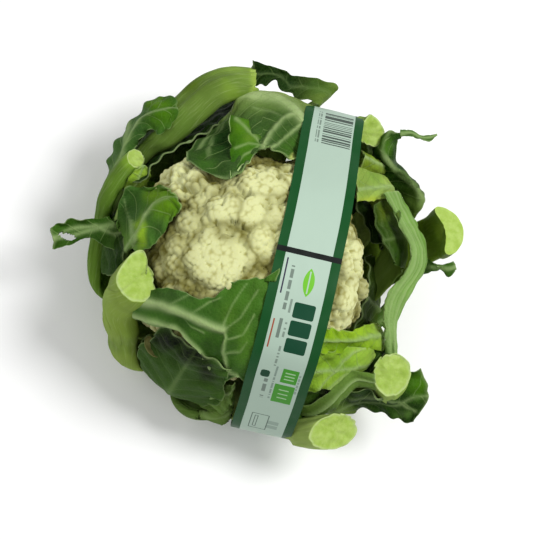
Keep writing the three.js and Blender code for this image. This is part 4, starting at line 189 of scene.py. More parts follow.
    "C2": [
        [(21.5, 2.7, 12.2, 4), (18.9, 6.6, 10.6, 8), (16.4, 10.6, 10, 9), (13.8, 14.6, 10.6, 8), (11.2, 18.6, 12.2, 4)],
        [(34.8, 8.9, 10.7, 4), (31.6, 13.7, 9.1, 8), (28.5, 18.5, 8.5, 9), (25.4, 23.3, 9.1, 8), (22.3, 28.2, 10.7, 4)],
        [(56.5, 19.5, 12.2, 4.2), (52.6, 25.6, 10.6, 8.5), (48.6, 31.6, 10, 9.5), (44.7, 37.6, 10.6, 8.5), (40.8, 43.7, 12.2, 4.2)],
        [(76.5, 30.4, 25.2, 4.2), (75.4, 39.3, 23.6, 8.5), (72.1, 46.8, 23, 9.5), (66.6, 52.9, 23.6, 8.5), (58.9, 57.6, 25.2, 4.2)],
        [(95, 43.1, 46.2, 4), (93.8, 51.6, 44.5, 8), (90.6, 58.8, 44, 9), (85.3, 64.7, 44.5, 8), (78, 69.3, 46.2, 4)],
        [(124.3, 48.3, 78, 2.8), (126.3, 50.3, 82, 3.5), (128.3, 53.1, 86, 8), (130.5, 56.2, 84, 3.5), (134.1, 60.6, 78, 2.8)],
        [(113.6, 60, 84, 2.8), (118.2, 60.1, 92, 3.4), (121.2, 60.8, 100, 7.1), (124.7, 61.5, 96, 3.4), (129.4, 65, 86, 2.8)],
        [(101.2, 65.2, 90, 2.8), (106, 68.3, 98, 3.3), (109.8, 69, 106, 6.3), (113.3, 70.5, 102, 3.3), (118.6, 73.4, 92, 2.8)],
        [(93.2, 71.9, 92, 2.8), (97.4, 72.7, 102, 3.1), (101.2, 71.7, 110, 5.4), (104.7, 75.6, 106, 3.1), (109.2, 80.9, 96, 2.8)],
        [(88.3, 81.9, 94, 2.8), (91, 80.9, 104, 3), (94.1, 79.1, 112, 4.5), (99.3, 83.2, 110, 3), (106.8, 90.3, 100, 2.8)],
        [(90.5, 90.8, 98, 2.8), (92.2, 89.6, 106, 2.9), (94.4, 89.9, 112, 3.7), (99.7, 92.5, 112, 2.9), (108.1, 96, 104, 2.8)],
        [(93.6, 96.7, 104, 2.8), (95.6, 97.6, 108, 2.8), (99.4, 98.3, 111, 2.8), (103.9, 98.6, 111, 2.8), (109.3, 97.7, 108, 2.8)],
    ],
    "C2t": [
        [(108, 97.2, 107, 2.2), (107.8, 97.6, 108, 2.3), (107.5, 98, 109, 2.6), (107.5, 99.6, 109, 2.3), (107.6, 100.4, 109, 2.2)],
        [(115.8, 97, 109, 2.2), (115.9, 98.2, 109, 2.3), (115.6, 99, 110, 2.6), (115.6, 99.7, 110, 2.3), (115.7, 101.3, 110, 2.2)],
        [(122.7, 95.5, 109, 2.2), (122.7, 95.9, 109, 2.3), (122.7, 96.7, 109, 2.6), (122.7, 97, 109, 2.3), (122.7, 97.8, 109, 2.2)],
        [(129.8, 94.7, 108, 2.2), (129.9, 95.9, 108, 2.3), (129.9, 97.1, 108, 2.6), (129.9, 97.9, 108, 2.3), (130, 99.1, 108, 2.2)],
        [(136.2, 99.4, 108, 2.2), (136.2, 99.6, 108, 2.3), (136.2, 99.8, 108, 2.6), (136.2, 100.1, 108, 2.3), (136.2, 100.2, 108, 2.2)],
    ],
    "B2": [
        [(11.5, 18.4, 12.2, 4), (6.8, 18.9, 10.6, 8), (2, 19.4, 10, 9), (-2.7, 19.9, 10.6, 8), (-7.4, 20.4, 12.2, 4)],
        [(14.5, 32.7, 10.7, 4), (9, 33.2, 9.1, 8), (3.6, 33.8, 8.5, 9), (-1.9, 34.4, 9.1, 8), (-7.4, 35, 10.7, 4)],
        [(19.2, 56.3, 12.2, 4.2), (12.6, 57, 10.6, 8.5), (6.1, 57.7, 10, 9.5), (-0.5, 58.4, 10.6, 8.5), (-7.1, 59.1, 12.2, 4.2)],
        [(23.3, 79.6, 25.2, 4.2), (16.3, 83.7, 23.6, 8.5), (9, 85.5, 23, 9.5), (1.5, 85.2, 23.6, 8.5), (-6.2, 82.7, 25.2, 4.2)],
        [(25.1, 101.8, 46.2, 4), (18.3, 105.6, 44.5, 8), (11.3, 107.4, 44, 9), (4.1, 107.1, 44.5, 8), (-3.4, 104.8, 46.2, 4)],
        [(45.5, 123.3, 98, 2.6), (49.7, 129.2, 96, 3), (53.8, 133.9, 95, 6), (57.5, 137, 96, 3), (60.9, 139.6, 98, 2.6)],
        [(34.5, 124.1, 100, 2.6), (37.2, 129.1, 98, 3), (39.7, 134.5, 97, 5.4), (41.8, 138.2, 98, 3), (43.7, 141.5, 100, 2.6)],
        [(25.5, 128.3, 100, 2.6), (25.9, 131.5, 98, 2.9), (26.8, 135.2, 97, 4.9), (28.2, 138.8, 98, 2.9), (29.3, 142, 100, 2.6)],
        [(15.1, 134.5, 104, 2.6), (17.7, 137.1, 102, 2.8), (20.3, 140.6, 100, 4.3), (21.8, 143.1, 100, 2.8), (23.1, 145.1, 101, 2.6)],
        [(5.1, 131.4, 106, 2.6), (6.9, 136.3, 104, 2.7), (8.7, 141.2, 102, 3.7), (9.5, 144.5, 102, 2.7), (9.1, 148.3, 104, 2.6)],
        [(0.6, 130.3, 106, 2.6), (0.8, 134.6, 105, 2.7), (0.9, 139.8, 104, 3.2), (0.9, 144.5, 104, 2.7), (0.6, 149.2, 106, 2.6)],
        [(-3.8, 136.2, 106, 2.6), (-3.8, 138.6, 106, 2.6), (-3.8, 141.7, 106, 2.6), (-3.1, 145.7, 106, 2.6), (-2.5, 149.3, 107, 2.6)],
    ],
    "B1": [
        [(12.7, 17.6, 23.2, 4), (9.6, 18.1, 22, 7.2), (6.5, 18.7, 21.2, 8.6), (3.4, 19.2, 21, 9), (0.3, 19.8, 21.2, 8.6), (-2.9, 20.3, 22, 7.2), (-6, 20.9, 23.2, 4)],
        [(17.2, 31.5, 21.2, 4), (13.5, 32.2, 20, 7.2), (9.7, 32.8, 19.2, 8.6), (5.9, 33.5, 19, 9), (2.1, 34.1, 19.2, 8.6), (-1.6, 34.8, 20, 7.2), (-5.4, 35.5, 21.2, 4)],
        [(24.3, 54.6, 22.7, 4.2), (19.5, 55.5, 21.5, 7.6), (14.8, 56.3, 20.7, 9.1), (10.1, 57.1, 20.5, 9.5), (5.3, 58, 20.7, 9.1), (0.6, 58.8, 21.5, 7.6), (-4.1, 59.6, 22.7, 4.2)],
        [(30, 76.7, 34.7, 4.2), (25.2, 80.5, 33.5, 7.6), (20.2, 83.2, 32.7, 9.1), (14.9, 84.7, 32.5, 9.5), (9.5, 85.1, 32.7, 9.1), (3.9, 84.3, 33.5, 7.6), (-1.9, 82.3, 34.7, 4.2)],
        [(32.1, 92.5, 55.2, 4), (27.5, 96, 54, 7.2), (22.7, 98.5, 53.2, 8.6), (17.6, 100, 53, 9), (12.4, 100.3, 53.2, 8.6), (7, 99.6, 54, 7.2), (1.4, 97.9, 55.2, 4)],
        [(58.2, 113.1, 98, 2.5), (37.3, 115.6, 108, 2.6), (18.8, 119.7, 112, 4.3), (3.9, 118.3, 113, 7), (-6.1, 112.6, 112, 4.3), (-14.5, 105.9, 110, 2.6), (-22.7, 99.6, 107, 2.5)],
        [(53.4, 98.9, 112, 2.5), (33.5, 101.8, 119, 2.6), (17.1, 106.8, 121, 4), (2.7, 105.8, 121, 6.1), (-7.6, 101.7, 122, 4), (-15.7, 98.5, 119, 2.6), (-27.7, 90.9, 113, 2.5)],
        [(47.1, 84.4, 123, 2.5), (30.6, 87.5, 126, 2.6), (14.4, 94, 128, 3.6), (1.4, 92.8, 129, 5.2), (-7.5, 90.7, 131, 3.6), (-18.6, 85.5, 125, 2.6), (-33.9, 79.7, 118, 2.5)],
        [(42.6, 74.1, 130, 2.5), (28.1, 75.8, 131, 2.5), (11.3, 82.2, 133, 3.3), (0.4, 79.3, 135, 4.4), (-8.4, 77.3, 137, 3.3), (-19.7, 71.3, 133.4, 2.5), (-40.2, 65.1, 130.9, 2.5)],
        [(38.8, 66.5, 134, 2.5), (24.2, 66.4, 136.1, 2.5), (7.6, 71.3, 138, 2.9), (-1.1, 70, 140, 3.5), (-12.2, 62.7, 144.4, 2.9), (-21.7, 54.9, 148.6, 2.5), (-42.1, 52.1, 142.9, 2.5)],
        [(35.5, 63.4, 136, 2.5), (18.8, 62.5, 142.1, 2.5), (3.9, 70, 139, 2.5), (-3.5, 66.4, 141.6, 2.6), (-16.3, 47.8, 153.8, 2.5), (-23.2, 42, 155.2, 2.5), (-33.6, 41.6, 152.6, 2.5)],
    ],
    "B1f": [
        [(-20, 95.1, 129, 2.2), (-17.3, 94.1, 130, 2.3), (-14.4, 93.6, 130, 2.6), (-11.4, 93.4, 129, 2.3), (-7.4, 94.1, 126, 2.2)],
        [(-21.9, 81.9, 134, 2.2), (-18, 82.9, 136, 2.3), (-13.8, 83.9, 136, 2.6), (-8.6, 85, 134, 2.3), (-2.3, 86.2, 130, 2.2)],
        [(-21.7, 69.5, 138, 2.2), (-17.3, 70.9, 141, 2.3), (-12.6, 72.2, 142, 2.6), (-6.7, 74.1, 140, 2.3), (0.9, 74.5, 136, 2.2)],
        [(-22.8, 56.2, 146.9, 2.2), (-19.4, 57.9, 146.6, 2.3), (-15.3, 60.2, 147, 2.6), (-11.1, 62.9, 146, 2.3), (-4.1, 66.5, 141.1, 2.2)],
        [(-23.9, 41.2, 155.3, 2.2), (-21.7, 44.6, 153.9, 2.3), (-18.9, 47.9, 153.2, 2.6), (-15.2, 52.3, 151, 2.3), (-10.1, 57, 148.8, 2.2)],
    ],
    "D1a": [
        [(12.4, -17.8, 34.2, 4), (14.8, -13.6, 32.5, 8), (17.1, -9.5, 32, 9), (19.4, -5.3, 32.5, 8), (21.7, -1.1, 34.2, 4)],
        [(24.9, -25.2, 31.7, 4), (27.3, -20.9, 30.1, 8), (29.7, -16.5, 29.5, 9), (32.2, -12.1, 30.1, 8), (34.6, -7.7, 31.7, 4)],
        [(44.9, -38.6, 33.2, 4.2), (47.8, -33.4, 31.6, 8.5), (50.7, -28.1, 31, 9.5), (53.6, -22.9, 31.6, 8.5), (56.5, -17.6, 33.2, 4.2)],
        [(65.5, -51.7, 44.2, 4.2), (71.1, -47.2, 42.5, 8.5), (75.2, -41.7, 42, 9.5), (77.7, -35.3, 42.5, 8.5), (78.6, -28.1, 44.2, 4.2)],
        [(73.8, -55.8, 64.2, 4), (79.2, -51.3, 62.5, 8), (83.1, -46.1, 62, 9), (85.5, -40, 62.5, 8), (86.4, -33, 64.2, 4)],
        [(98.3, -60.3, 84, 2.5), (97.3, -55.2, 88, 3), (95.4, -49.8, 90, 6), (94, -45.5, 90, 3), (93.2, -40.7, 88, 2.5)],
        [(82.5, -62, 99, 2.5), (80.8, -57.7, 103, 2.8), (79.4, -54, 106, 5.2), (77.8, -50, 107, 2.8), (78.4, -45.3, 105, 2.5)],
        [(64.4, -65.5, 108, 2.5), (63.7, -61.8, 111, 2.7), (62.1, -59, 118.2, 4.3), (61.3, -56.8, 121.4, 2.7), (60.4, -54.9, 125.6, 2.5)],
        [(48.7, -68.9, 120.8, 2.5), (48, -65.9, 127.2, 2.6), (47.5, -62.8, 132.7, 3.5), (47.7, -59.8, 134.8, 2.6), (47.7, -55.7, 138.4, 2.5)],
        [(36.8, -71, 130.5, 2.5), (36.7, -67.6, 134.6, 2.5), (36.6, -64.2, 138.3, 2.6), (37.6, -61.2, 140.5, 2.5), (38.4, -57, 143.3, 2.5)],
    ],
    "D1b": [
        [(5.3, -21, 34.2, 4), (8.9, -18, 32.5, 8), (12.5, -14.9, 32, 9), (16.2, -11.9, 32.5, 8), (19.8, -8.8, 34.2, 4)],
        [(14.2, -32.5, 31.7, 4), (18, -29.3, 30.1, 8), (21.9, -26, 29.5, 9), (25.7, -22.8, 30.1, 8), (29.5, -19.6, 31.7, 4)],
        [(28.1, -52.1, 33.2, 4.2), (32.7, -48.3, 31.6, 8.5), (37.3, -44.4, 31, 9.5), (41.9, -40.6, 31.6, 8.5), (46.5, -36.7, 33.2, 4.2)],
        [(42.6, -71.8, 44.2, 4.2), (49.5, -69.5, 42.5, 8.5), (55.3, -65.9, 42, 9.5), (59.9, -60.8, 42.5, 8.5), (63.3, -54.4, 44.2, 4.2)],
        [(48.9, -78.5, 64.2, 4), (55.5, -76.3, 62.5, 8), (61.1, -72.8, 62, 9), (65.5, -67.9, 62.5, 8), (68.9, -61.8, 64.2, 4)],
        [(75.2, -77.3, 86, 2.5), (80.4, -74, 89, 3), (84.4, -70.6, 91, 6), (87.4, -66.2, 91, 3), (91.2, -61.2, 88, 2.5)],
        [(62, -87.1, 92, 2.5), (66.5, -81.5, 98, 2.8), (69.9, -75.7, 102, 5.2), (73.9, -68.8, 104, 2.8), (78.3, -60.8, 104, 2.5)],
        [(51.7, -90.7, 96, 2.5), (54.1, -84.5, 102, 2.7), (57.5, -78, 106, 4.3), (61.2, -70, 109, 2.7), (65.4, -62.3, 110, 2.5)],
        [(42, -91.9, 98, 2.5), (43, -85.8, 104, 2.6), (44.8, -78.9, 109, 3.5), (46.3, -72.9, 115.5, 2.6), (47.1, -68.2, 124.5, 2.5)],
        [(34.9, -92.8, 98, 2.5), (35.2, -86.7, 104, 2.5), (36.7, -80, 110.6, 2.6), (36.8, -75.3, 123.8, 2.5), (38.1, -69.7, 131.2, 2.5)],
    ],
    "C3": [
        [(20.4, 6.7, 34.2, 4), (17.3, 10, 32.5, 8), (14.3, 13.3, 32, 9), (11.2, 16.6, 32.5, 8), (8.1, 19.9, 34.2, 4)],
        [(31, 16.6, 31.7, 4), (27.9, 19.9, 30.1, 8), (24.9, 23.2, 29.5, 9), (21.8, 26.5, 30.1, 8), (18.7, 29.8, 31.7, 4)],
        [(49.8, 31.7, 33.2, 4.2), (46.1, 35.6, 31.6, 8.5), (42.4, 39.6, 31, 9.5), (38.7, 43.5, 31.6, 8.5), (35.1, 47.5, 33.2, 4.2)],
        [(69, 47.8, 44.2, 4.2), (66.5, 53.7, 42.5, 8.5), (62.9, 58.7, 42, 9.5), (58.2, 62.6, 42.5, 8.5), (52.5, 65.5, 44.2, 4.2)],
        [(75.5, 54.4, 64.2, 4), (73, 60, 62.5, 8), (69.5, 64.8, 62, 9), (65, 68.6, 62.5, 8), (59.5, 71.5, 64.2, 4)],
        [(99.6, 71.1, 91, 2.2), (99.6, 73.2, 94, 2.6), (100.1, 76, 95, 5), (100.2, 78.4, 95, 2.6), (99.8, 81, 94, 2.2)],
        [(91.5, 67.8, 104, 2.2), (91.2, 70.3, 108, 2.4), (91, 73.8, 109, 3.8), (90.3, 76, 109, 2.4), (89.1, 77.9, 108, 2.2)],
        [(76.4, 67.2, 110, 2.2), (77, 72, 114, 2.3), (78.3, 76.3, 115, 2.6), (78.4, 79.4, 115, 2.3), (77.2, 81.9, 114, 2.2)],
    ],
    "E3b": [
        [(-31.4, -94.6, 74, 2.5), (-30.6, -95.1, 73, 2.6), (-29.6, -96.3, 71, 3), (-28.7, -97.4, 69, 2.6), (-27.6, -99.1, 66, 2.5)],
        [(-23.1, -87.6, 86, 2.5), (-22.1, -90.1, 84, 2.5), (-20.8, -93.7, 80, 2.9), (-19, -98.3, 72, 2.5), (-17, -104.1, 62, 2.5)],
        [(-16.5, -89.3, 92, 2.5), (-15, -90, 89, 2.5), (-14.6, -93.7, 86, 2.7), (-13.4, -98.2, 78, 2.5), (-12.3, -102.1, 70, 2.5)],
        [(-13.3, -89, 106.8, 2.5), (-11.7, -90.3, 94, 2.5), (-12.1, -90.4, 93, 2.6), (-12.3, -91.4, 90, 2.5), (-12.5, -93.7, 86, 2.5)],
    ],
    "A1": [
        [(-14, 16.6, 23.2, 4), (-15.9, 12.3, 21.6, 8), (-17.8, 7.9, 21, 9), (-19.7, 3.6, 21.6, 8), (-21.7, -0.7, 23.2, 4)],
        [(-26.4, 24.3, 21.2, 4), (-28.7, 19.1, 19.6, 8), (-31.1, 13.8, 19, 9), (-33.4, 8.6, 19.6, 8), (-35.7, 3.3, 21.2, 4)],
        [(-46.2, 38.9, 22.7, 4.2), (-49.6, 31.3, 21.1, 8.5), (-53, 23.6, 20.5, 9.5), (-56.4, 15.9, 21.1, 8.5), (-59.8, 8.2, 22.7, 4.2)],
        [(-64.4, 49.3, 34.7, 4.2), (-73.1, 42.9, 33, 8.5), (-78.6, 35, 32.5, 9.5), (-80.8, 25.6, 33, 8.5), (-79.7, 14.8, 34.7, 4.2)],
        [(-79.3, 55.2, 55.2, 4), (-87.5, 48.9, 53.5, 8), (-92.7, 41.3, 53, 9), (-94.9, 32.3, 53.5, 8), (-94.1, 22, 55.2, 4)],
        [(-74.7, 91.4, 68.7, 5.1), (-76.2, 88.8, 73.6, 14.1), (-76.5, 85.7, 78.3, 16), (-75.7, 82.3, 82.5, 14.1), (-73.7, 78.6, 86.5, 5.1)],
        [(-63.6, 102.9, 81, 6.3), (-64.5, 98.4, 86.6, 17.6), (-64.4, 93.4, 91.5, 20), (-63.4, 88, 95.8, 17.6), (-61.5, 82, 99.4, 6.3)],
        [(-50.6, 119.6, 89.7, 7), (-49.4, 114.6, 96.1, 19.4), (-47.4, 109.1, 101.7, 22), (-44.6, 103.3, 106.4, 19.4), (-41, 97, 110.3, 7)],
        [(-35.9, 133.3, 96.4, 7), (-34, 128.4, 103, 19.4), (-31.5, 123, 108.8, 22), (-28.5, 116.9, 113.5, 19.4), (-24.9, 110.3, 117.3, 7)],
        [(-19.3, 139.8, 96.1, 6.3), (-17.2, 135.4, 102.4, 17.6), (-15.1, 130.2, 107.8, 20), (-12.8, 124.2, 112.2, 17.6), (-10.3, 117.4, 115.6, 6.3)],
        [(-4.1, 139.3, 95.3, 5.4), (-2.8, 136.3, 100.9, 15), (-1.4, 132.4, 105.7, 17), (-0.1, 127.7, 109.6, 15), (1.3, 122.1, 112.6, 5.4)],
    ],
    "A3": [
        [(-19.8, 8.8, 12.2, 4), (-19.7, 4.1, 10.6, 8), (-19.5, -0.7, 10, 9), (-19.3, -5.4, 10.6, 8), (-19.2, -10.2, 12.2, 4)],
        [(-34.4, 9.8, 10.7, 4), (-34.2, 4.3, 9.1, 8), (-34, -1.2, 8.5, 9), (-33.8, -6.7, 9.1, 8), (-33.6, -12.2, 10.7, 4)],
        [(-58.4, 11.2, 12.2, 4.2), (-58.2, 4.6, 10.6, 8.5), (-58, -2, 10, 9.5), (-57.7, -8.6, 10.6, 8.5), (-57.5, -15.2, 12.2, 4.2)],
        [(-82.1, 12, 25.2, 4.2), (-85.1, 4.5, 23.6, 8.5), (-85.9, -3, 23, 9.5), (-84.6, -10.4, 23.6, 8.5), (-81, -17.7, 25.2, 4.2)],
        [(-104.3, 10.7, 46.2, 4), (-107.2, 3.4, 44.5, 8), (-107.9, -3.8, 44, 9), (-106.7, -10.9, 44.5, 8), (-103.3, -17.9, 46.2, 4)],
        [(-103.2, 41.4, 59.7, 3.8), (-104.7, 38.9, 62.9, 10.6), (-105, 36.3, 66.1, 12), (-104.1, 33.8, 69.1, 10.6), (-101.9, 31.3, 72, 3.8)],
        [(-101.9, 51.1, 79.2, 3.8), (-103.4, 47.9, 81.8, 10.6), (-103.8, 44.6, 84.2, 12), (-102.9, 41.3, 86.3, 10.6), (-100.8, 37.8, 88.1, 3.8)],
        [(-97.3, 61.3, 88.6, 3.8), (-97.9, 58.7, 91.9, 10.6), (-97.3, 56, 94.5, 12), (-95.7, 53.2, 96.5, 10.6), (-93.1, 50.2, 97.8, 3.8)],
        [(-90.9, 69.2, 95.8, 3.8), (-91.3, 66.6, 99.1, 10.6), (-90.8, 63.8, 101.6, 12), (-89.3, 60.8, 103.3, 10.6), (-86.9, 57.5, 104.3, 3.8)],
        [(-84, 74.5, 100.8, 3.8), (-84.5, 72.1, 104.1, 10.6), (-84.1, 69.3, 106.7, 12), (-82.9, 66.1, 108.4, 10.6), (-80.7, 62.6, 109.3, 3.8)],
    ],
    "E1": [
        [(-21.5, -3, 12.2, 4), (-18.8, -7, 10.6, 8), (-16.2, -10.9, 10, 9), (-13.5, -14.8, 10.6, 8), (-10.9, -18.8, 12.2, 4)],
        [(-34.6, -9.5, 10.7, 4), (-31.4, -14.2, 9.1, 8), (-28.2, -19, 8.5, 9), (-25, -23.8, 9.1, 8), (-21.8, -28.5, 10.7, 4)],
        [(-57.5, -18.5, 12.2, 4.2), (-52.8, -25.5, 10.6, 8.5), (-48.1, -32.4, 10, 9.5), (-43.4, -39.4, 10.6, 8.5), (-38.7, -46.4, 12.2, 4.2)],
        [(-75.9, -28.4, 25.2, 4.2), (-75.1, -39.3, 23.6, 8.5), (-71.3, -48.1, 23, 9.5), (-64.5, -54.9, 23.6, 8.5), (-54.8, -59.8, 25.2, 4.2)],
        [(-94.2, -41.6, 46.2, 4), (-93.3, -51.9, 44.5, 8), (-89.5, -60.4, 44, 9), (-83.1, -67, 44.5, 8), (-73.9, -71.8, 46.2, 4)],
        [(-93.6, -38.1, 56.1, 5.7), (-91.9, -44.5, 59.2, 15.8), (-89.1, -50.2, 62.1, 18), (-85.2, -55.3, 64.9, 15.8), (-80.2, -59.9, 67.6, 5.7)],
        [(-99, -32.1, 70.5, 6.3), (-95.7, -38.4, 74.6, 17.6), (-91.4, -44, 78.4, 20), (-86.1, -49.1, 81.6, 17.6), (-79.7, -53.5, 84.4, 6.3)],
        [(-97.3, -21.5, 79.9, 6.6), (-93.6, -27.2, 84.7, 18.5), (-93.6, -34.1, 88.7, 21), (-90.2, -40.5, 91.8, 18.5), (-81.5, -44.8, 94, 6.6)],
        [(-91.2, -8.7, 91.2, 6.3), (-87.6, -21.9, 129.2, 17.6), (-83.1, -26.8, 133.7, 20), (-77.7, -31.1, 136.1, 17.6), (-71.6, -34.8, 136.4, 6.3)],
        [(-82.2, -4.8, 130, 5.1), (-80, -10.4, 140.4, 14.1), (-76.8, -14, 143.5, 16), (-72.8, -17.1, 145.1, 14.1), (-68, -19.6, 144.7, 5.1)],
    ],
    "D4": [
        [(-7.8, -20.3, 12.2, 4), (-3, -19.8, 10.6, 8), (1.7, -19.4, 10, 9), (6.4, -19, 10.6, 8), (11.2, -18.6, 12.2, 4)],
        [(-8.5, -34.9, 10.7, 4), (-2.8, -34.4, 9.1, 8), (3, -33.9, 8.5, 9), (8.7, -33.4, 9.1, 8), (14.4, -32.9, 10.7, 4)],
        [(-11.7, -59.2, 12.2, 4.2), (-3.3, -58.5, 10.6, 8.5), (5.1, -57.8, 10, 9.5), (13.4, -57, 10.6, 8.5), (21.8, -56.3, 12.2, 4.2)],
        [(-12, -80.2, 25.2, 4.2), (-2.1, -84.7, 23.6, 8.5), (7.5, -85.7, 23, 9.5), (16.8, -83.1, 23.6, 8.5), (25.7, -76.9, 25.2, 4.2)],
        [(-9.3, -102.6, 46.2, 4), (0.2, -106.7, 44.5, 8), (9.4, -107.6, 44, 9), (18.3, -105.1, 44.5, 8), (27, -99.4, 46.2, 4)],
        [(26.7, -110.3, 54.6, 5.7), (29.3, -110.3, 48.9, 15.8), (32, -109.1, 43.6, 18), (34.8, -106.8, 38.8, 15.8), (37.8, -103.3, 34.5, 5.7)],
        [(30.1, -117.2, 68.2, 7), (36.4, -116.7, 63.7, 19.4), (42.5, -115.1, 59.6, 22), (48.4, -112.2, 56, 19.4), (54.3, -108.3, 52.9, 7)],
        [(41.9, -115.7, 83.5, 7.6), (47.4, -117.3, 77.7, 21.1), (53, -117.7, 71.9, 24), (58.6, -116.8, 66.3, 21.1), (64.3, -114.6, 60.7, 7.6)],
        [(56, -111.6, 94.6, 7.6), (60.7, -115.4, 89, 21.1), (65.7, -117.9, 83.2, 24), (70.8, -119.2, 77.2, 21.1), (76.2, -119.3, 70.9, 7.6)],
    ],
    "D2": [
        [(8.1, -20.1, 23.2, 4), (11.3, -16.6, 21.6, 8), (14.5, -13, 21, 9), (17.7, -9.5, 21.6, 8), (20.8, -6, 23.2, 4)],
        [(17.6, -31.3, 21.2, 4), (21.4, -27, 19.6, 8), (25.3, -22.8, 19, 9), (29.1, -18.5, 19.6, 8), (33, -14.2, 21.2, 4)],
        [(31.9, -51.3, 22.7, 4.2), (37.5, -45.1, 21.1, 8.5), (43.1, -38.8, 20.5, 9.5), (48.7, -32.6, 21.1, 8.5), (54.3, -26.3, 22.7, 4.2)],
        [(46, -66.8, 34.7, 4.2), (56.3, -63.4, 33, 8.5), (63.9, -57.5, 32.5, 9.5), (68.9, -49.3, 33, 8.5), (71.2, -38.7, 34.7, 4.2)],
        [(58.3, -77, 55.2, 4), (68.1, -73.6, 53.5, 8), (75.4, -67.9, 53, 9), (80.3, -60, 53.5, 8), (82.7, -50, 55.2, 4)],
        [(96.3, -92.9, 66.9, 6.3), (101.1, -89.4, 63.6, 17.6), (105.5, -85.2, 61.3, 20), (109.4, -80.2, 59.8, 17.6), (112.9, -74.4, 59.2, 6.3)],
        [(91.9, -90.7, 81.9, 7.6), (97.8, -86.2, 82.2, 21.1), (102.8, -80.9, 82.2, 24), (106.8, -74.8, 82, 21.1), (109.9, -68, 81.4, 7.6)],
        [(88.1, -88.1, 102.2, 8.2), (93.8, -83.6, 102.8, 22.9), (98.5, -78.5, 103.2, 26), (102.3, -72.6, 103.3, 22.9), (105.2, -65.9, 103.1, 8.2)],
    ],
    "C7": [
        [(20.6, -6.7, 12.2, 4), (20, -2, 10.6, 8), (19.3, 2.7, 10, 9), (18.6, 7.4, 10.6, 8), (18, 12.1, 12.2, 4)],
        [(35.3, -6.7, 10.7, 4), (34.5, -1, 9.1, 8), (33.7, 4.7, 8.5, 9), (32.9, 10.4, 9.1, 8), (32.1, 16.1, 10.7, 4)],
        [(60.3, -12.1, 12.2, 4.2), (58.9, -2, 10.6, 8.5), (57.4, 8.1, 10, 9.5), (56, 18.2, 10.6, 8.5), (54.6, 28.3, 12.2, 4.2)],
        [(77.9, -12.2, 25.2, 4.2), (84.2, 0.2, 23.6, 8.5), (85.2, 12, 23, 9.5), (81, 23, 23.6, 8.5), (71.5, 33.2, 25.2, 4.2)],
        [(100.4, -8.2, 46.2, 4), (106.1, 3.7, 44.5, 8), (106.9, 15, 44, 9), (103, 25.6, 44.5, 8), (94.2, 35.6, 46.2, 4)],
        [(145.4, 15.8, 70.6, 3.8), (148.7, 23.6, 62.4, 10.6), (148.6, 31.7, 58.5, 12), (145.2, 39.9, 59, 10.6), (138.3, 48.3, 63.8, 3.8)],
        [(145.5, 12.7, 78.8, 4.4), (151.6, 23.2, 79.5, 12.3), (152.4, 32.6, 80.1, 14), (147.8, 40.8, 80.6, 12.3), (137.8, 47.8, 81, 4.4)],
        [(143.4, 10.8, 95.5, 4.7), (149.5, 21.2, 97.4, 13.2), (150.3, 30.5, 98.6, 15), (145.7, 38.7, 99, 13.2), (135.7, 45.8, 98.7, 4.7)],
    ],
    "C1": [
        [(19.5, 9.5, 23.2, 4), (15.7, 12.4, 21.6, 8), (12, 15.4, 21, 9), (8.3, 18.3, 21.6, 8), (4.5, 21.2, 23.2, 4)],
        [(30, 19.7, 21.2, 4), (25.5, 23.3, 19.6, 8), (20.9, 26.8, 19, 9), (16.4, 30.3, 19.6, 8), (11.9, 33.9, 21.2, 4)],
        [(48, 36.1, 22.7, 4.2), (41.9, 40.9, 21.1, 8.5), (35.7, 45.7, 20.5, 9.5), (29.6, 50.5, 21.1, 8.5), (23.4, 55.3, 22.7, 4.2)],
        [(63, 52.1, 34.7, 4.2), (58.9, 61.2, 33, 8.5), (52.9, 67.8, 32.5, 9.5), (45.1, 72, 33, 8.5), (35.3, 73.7, 34.7, 4.2)],
        [(72.3, 65.1, 55.2, 4), (68.3, 73.7, 53.5, 8), (62.5, 80, 53, 9), (55, 84.1, 53.5, 8), (45.7, 85.9, 55.2, 4)],
        [(97.4, 92.7, 83.5, 5.7), (93.7, 97.8, 83.1, 15.8), (89.4, 102, 83.4, 18), (84.6, 105.4, 84.5, 15.8), (79.2, 108.1, 86.3, 5.7)],
        [(94.4, 90.5, 98.7, 6.3), (91, 96.1, 98.6, 17.6), (86.8, 100.7, 98.2, 20), (81.8, 104.4, 97.5, 17.6), (76, 107.2, 96.5, 6.3)],
        [(90.7, 88.9, 111.7, 6.3), (87.4, 94.3, 111.7, 17.6), (83.4, 98.8, 111.3, 20), (78.6, 102.3, 110.5, 17.6), (73, 105, 109.5, 6.3)],
    ],
    "DRY": [
        [(-19.1, -9.8, 34.2, 4), (-15.6, -12.6, 32.5, 8), (-12, -15.4, 32, 9), (-8.5, -18.1, 32.5, 8), (-4.9, -20.9, 34.2, 4)],
        [(-28, -21.3, 31.7, 4), (-24.5, -24, 30.1, 8), (-20.9, -26.8, 29.5, 9), (-17.4, -29.6, 30.1, 8), (-13.8, -32.3, 31.7, 4)],
        [(-44.2, -39.1, 33.2, 4.2), (-40, -42.4, 31.6, 8.5), (-35.7, -45.7, 31, 9.5), (-31.5, -49, 31.6, 8.5), (-27.2, -52.4, 33.2, 4.2)],
        [(-60.7, -58, 44.2, 4.2), (-57.3, -63.4, 42.5, 8.5), (-52.9, -67.8, 42, 9.5), (-47.7, -70.9, 42.5, 8.5), (-41.6, -72.9, 44.2, 4.2)],
        [(-66, -65.5, 64.2, 4), (-62.7, -70.7, 62.5, 8), (-58.5, -74.9, 62, 9), (-53.5, -77.9, 62.5, 8), (-47.6, -79.9, 64.2, 4)],
        [(-67.9, -58.4, 76.4, 2.5), (-66.1, -61.9, 78.4, 7), (-63.9, -64.9, 80.2, 8), (-61.7, -67.9, 81.8, 7), (-57.5, -68.6, 83.1, 2.5)],
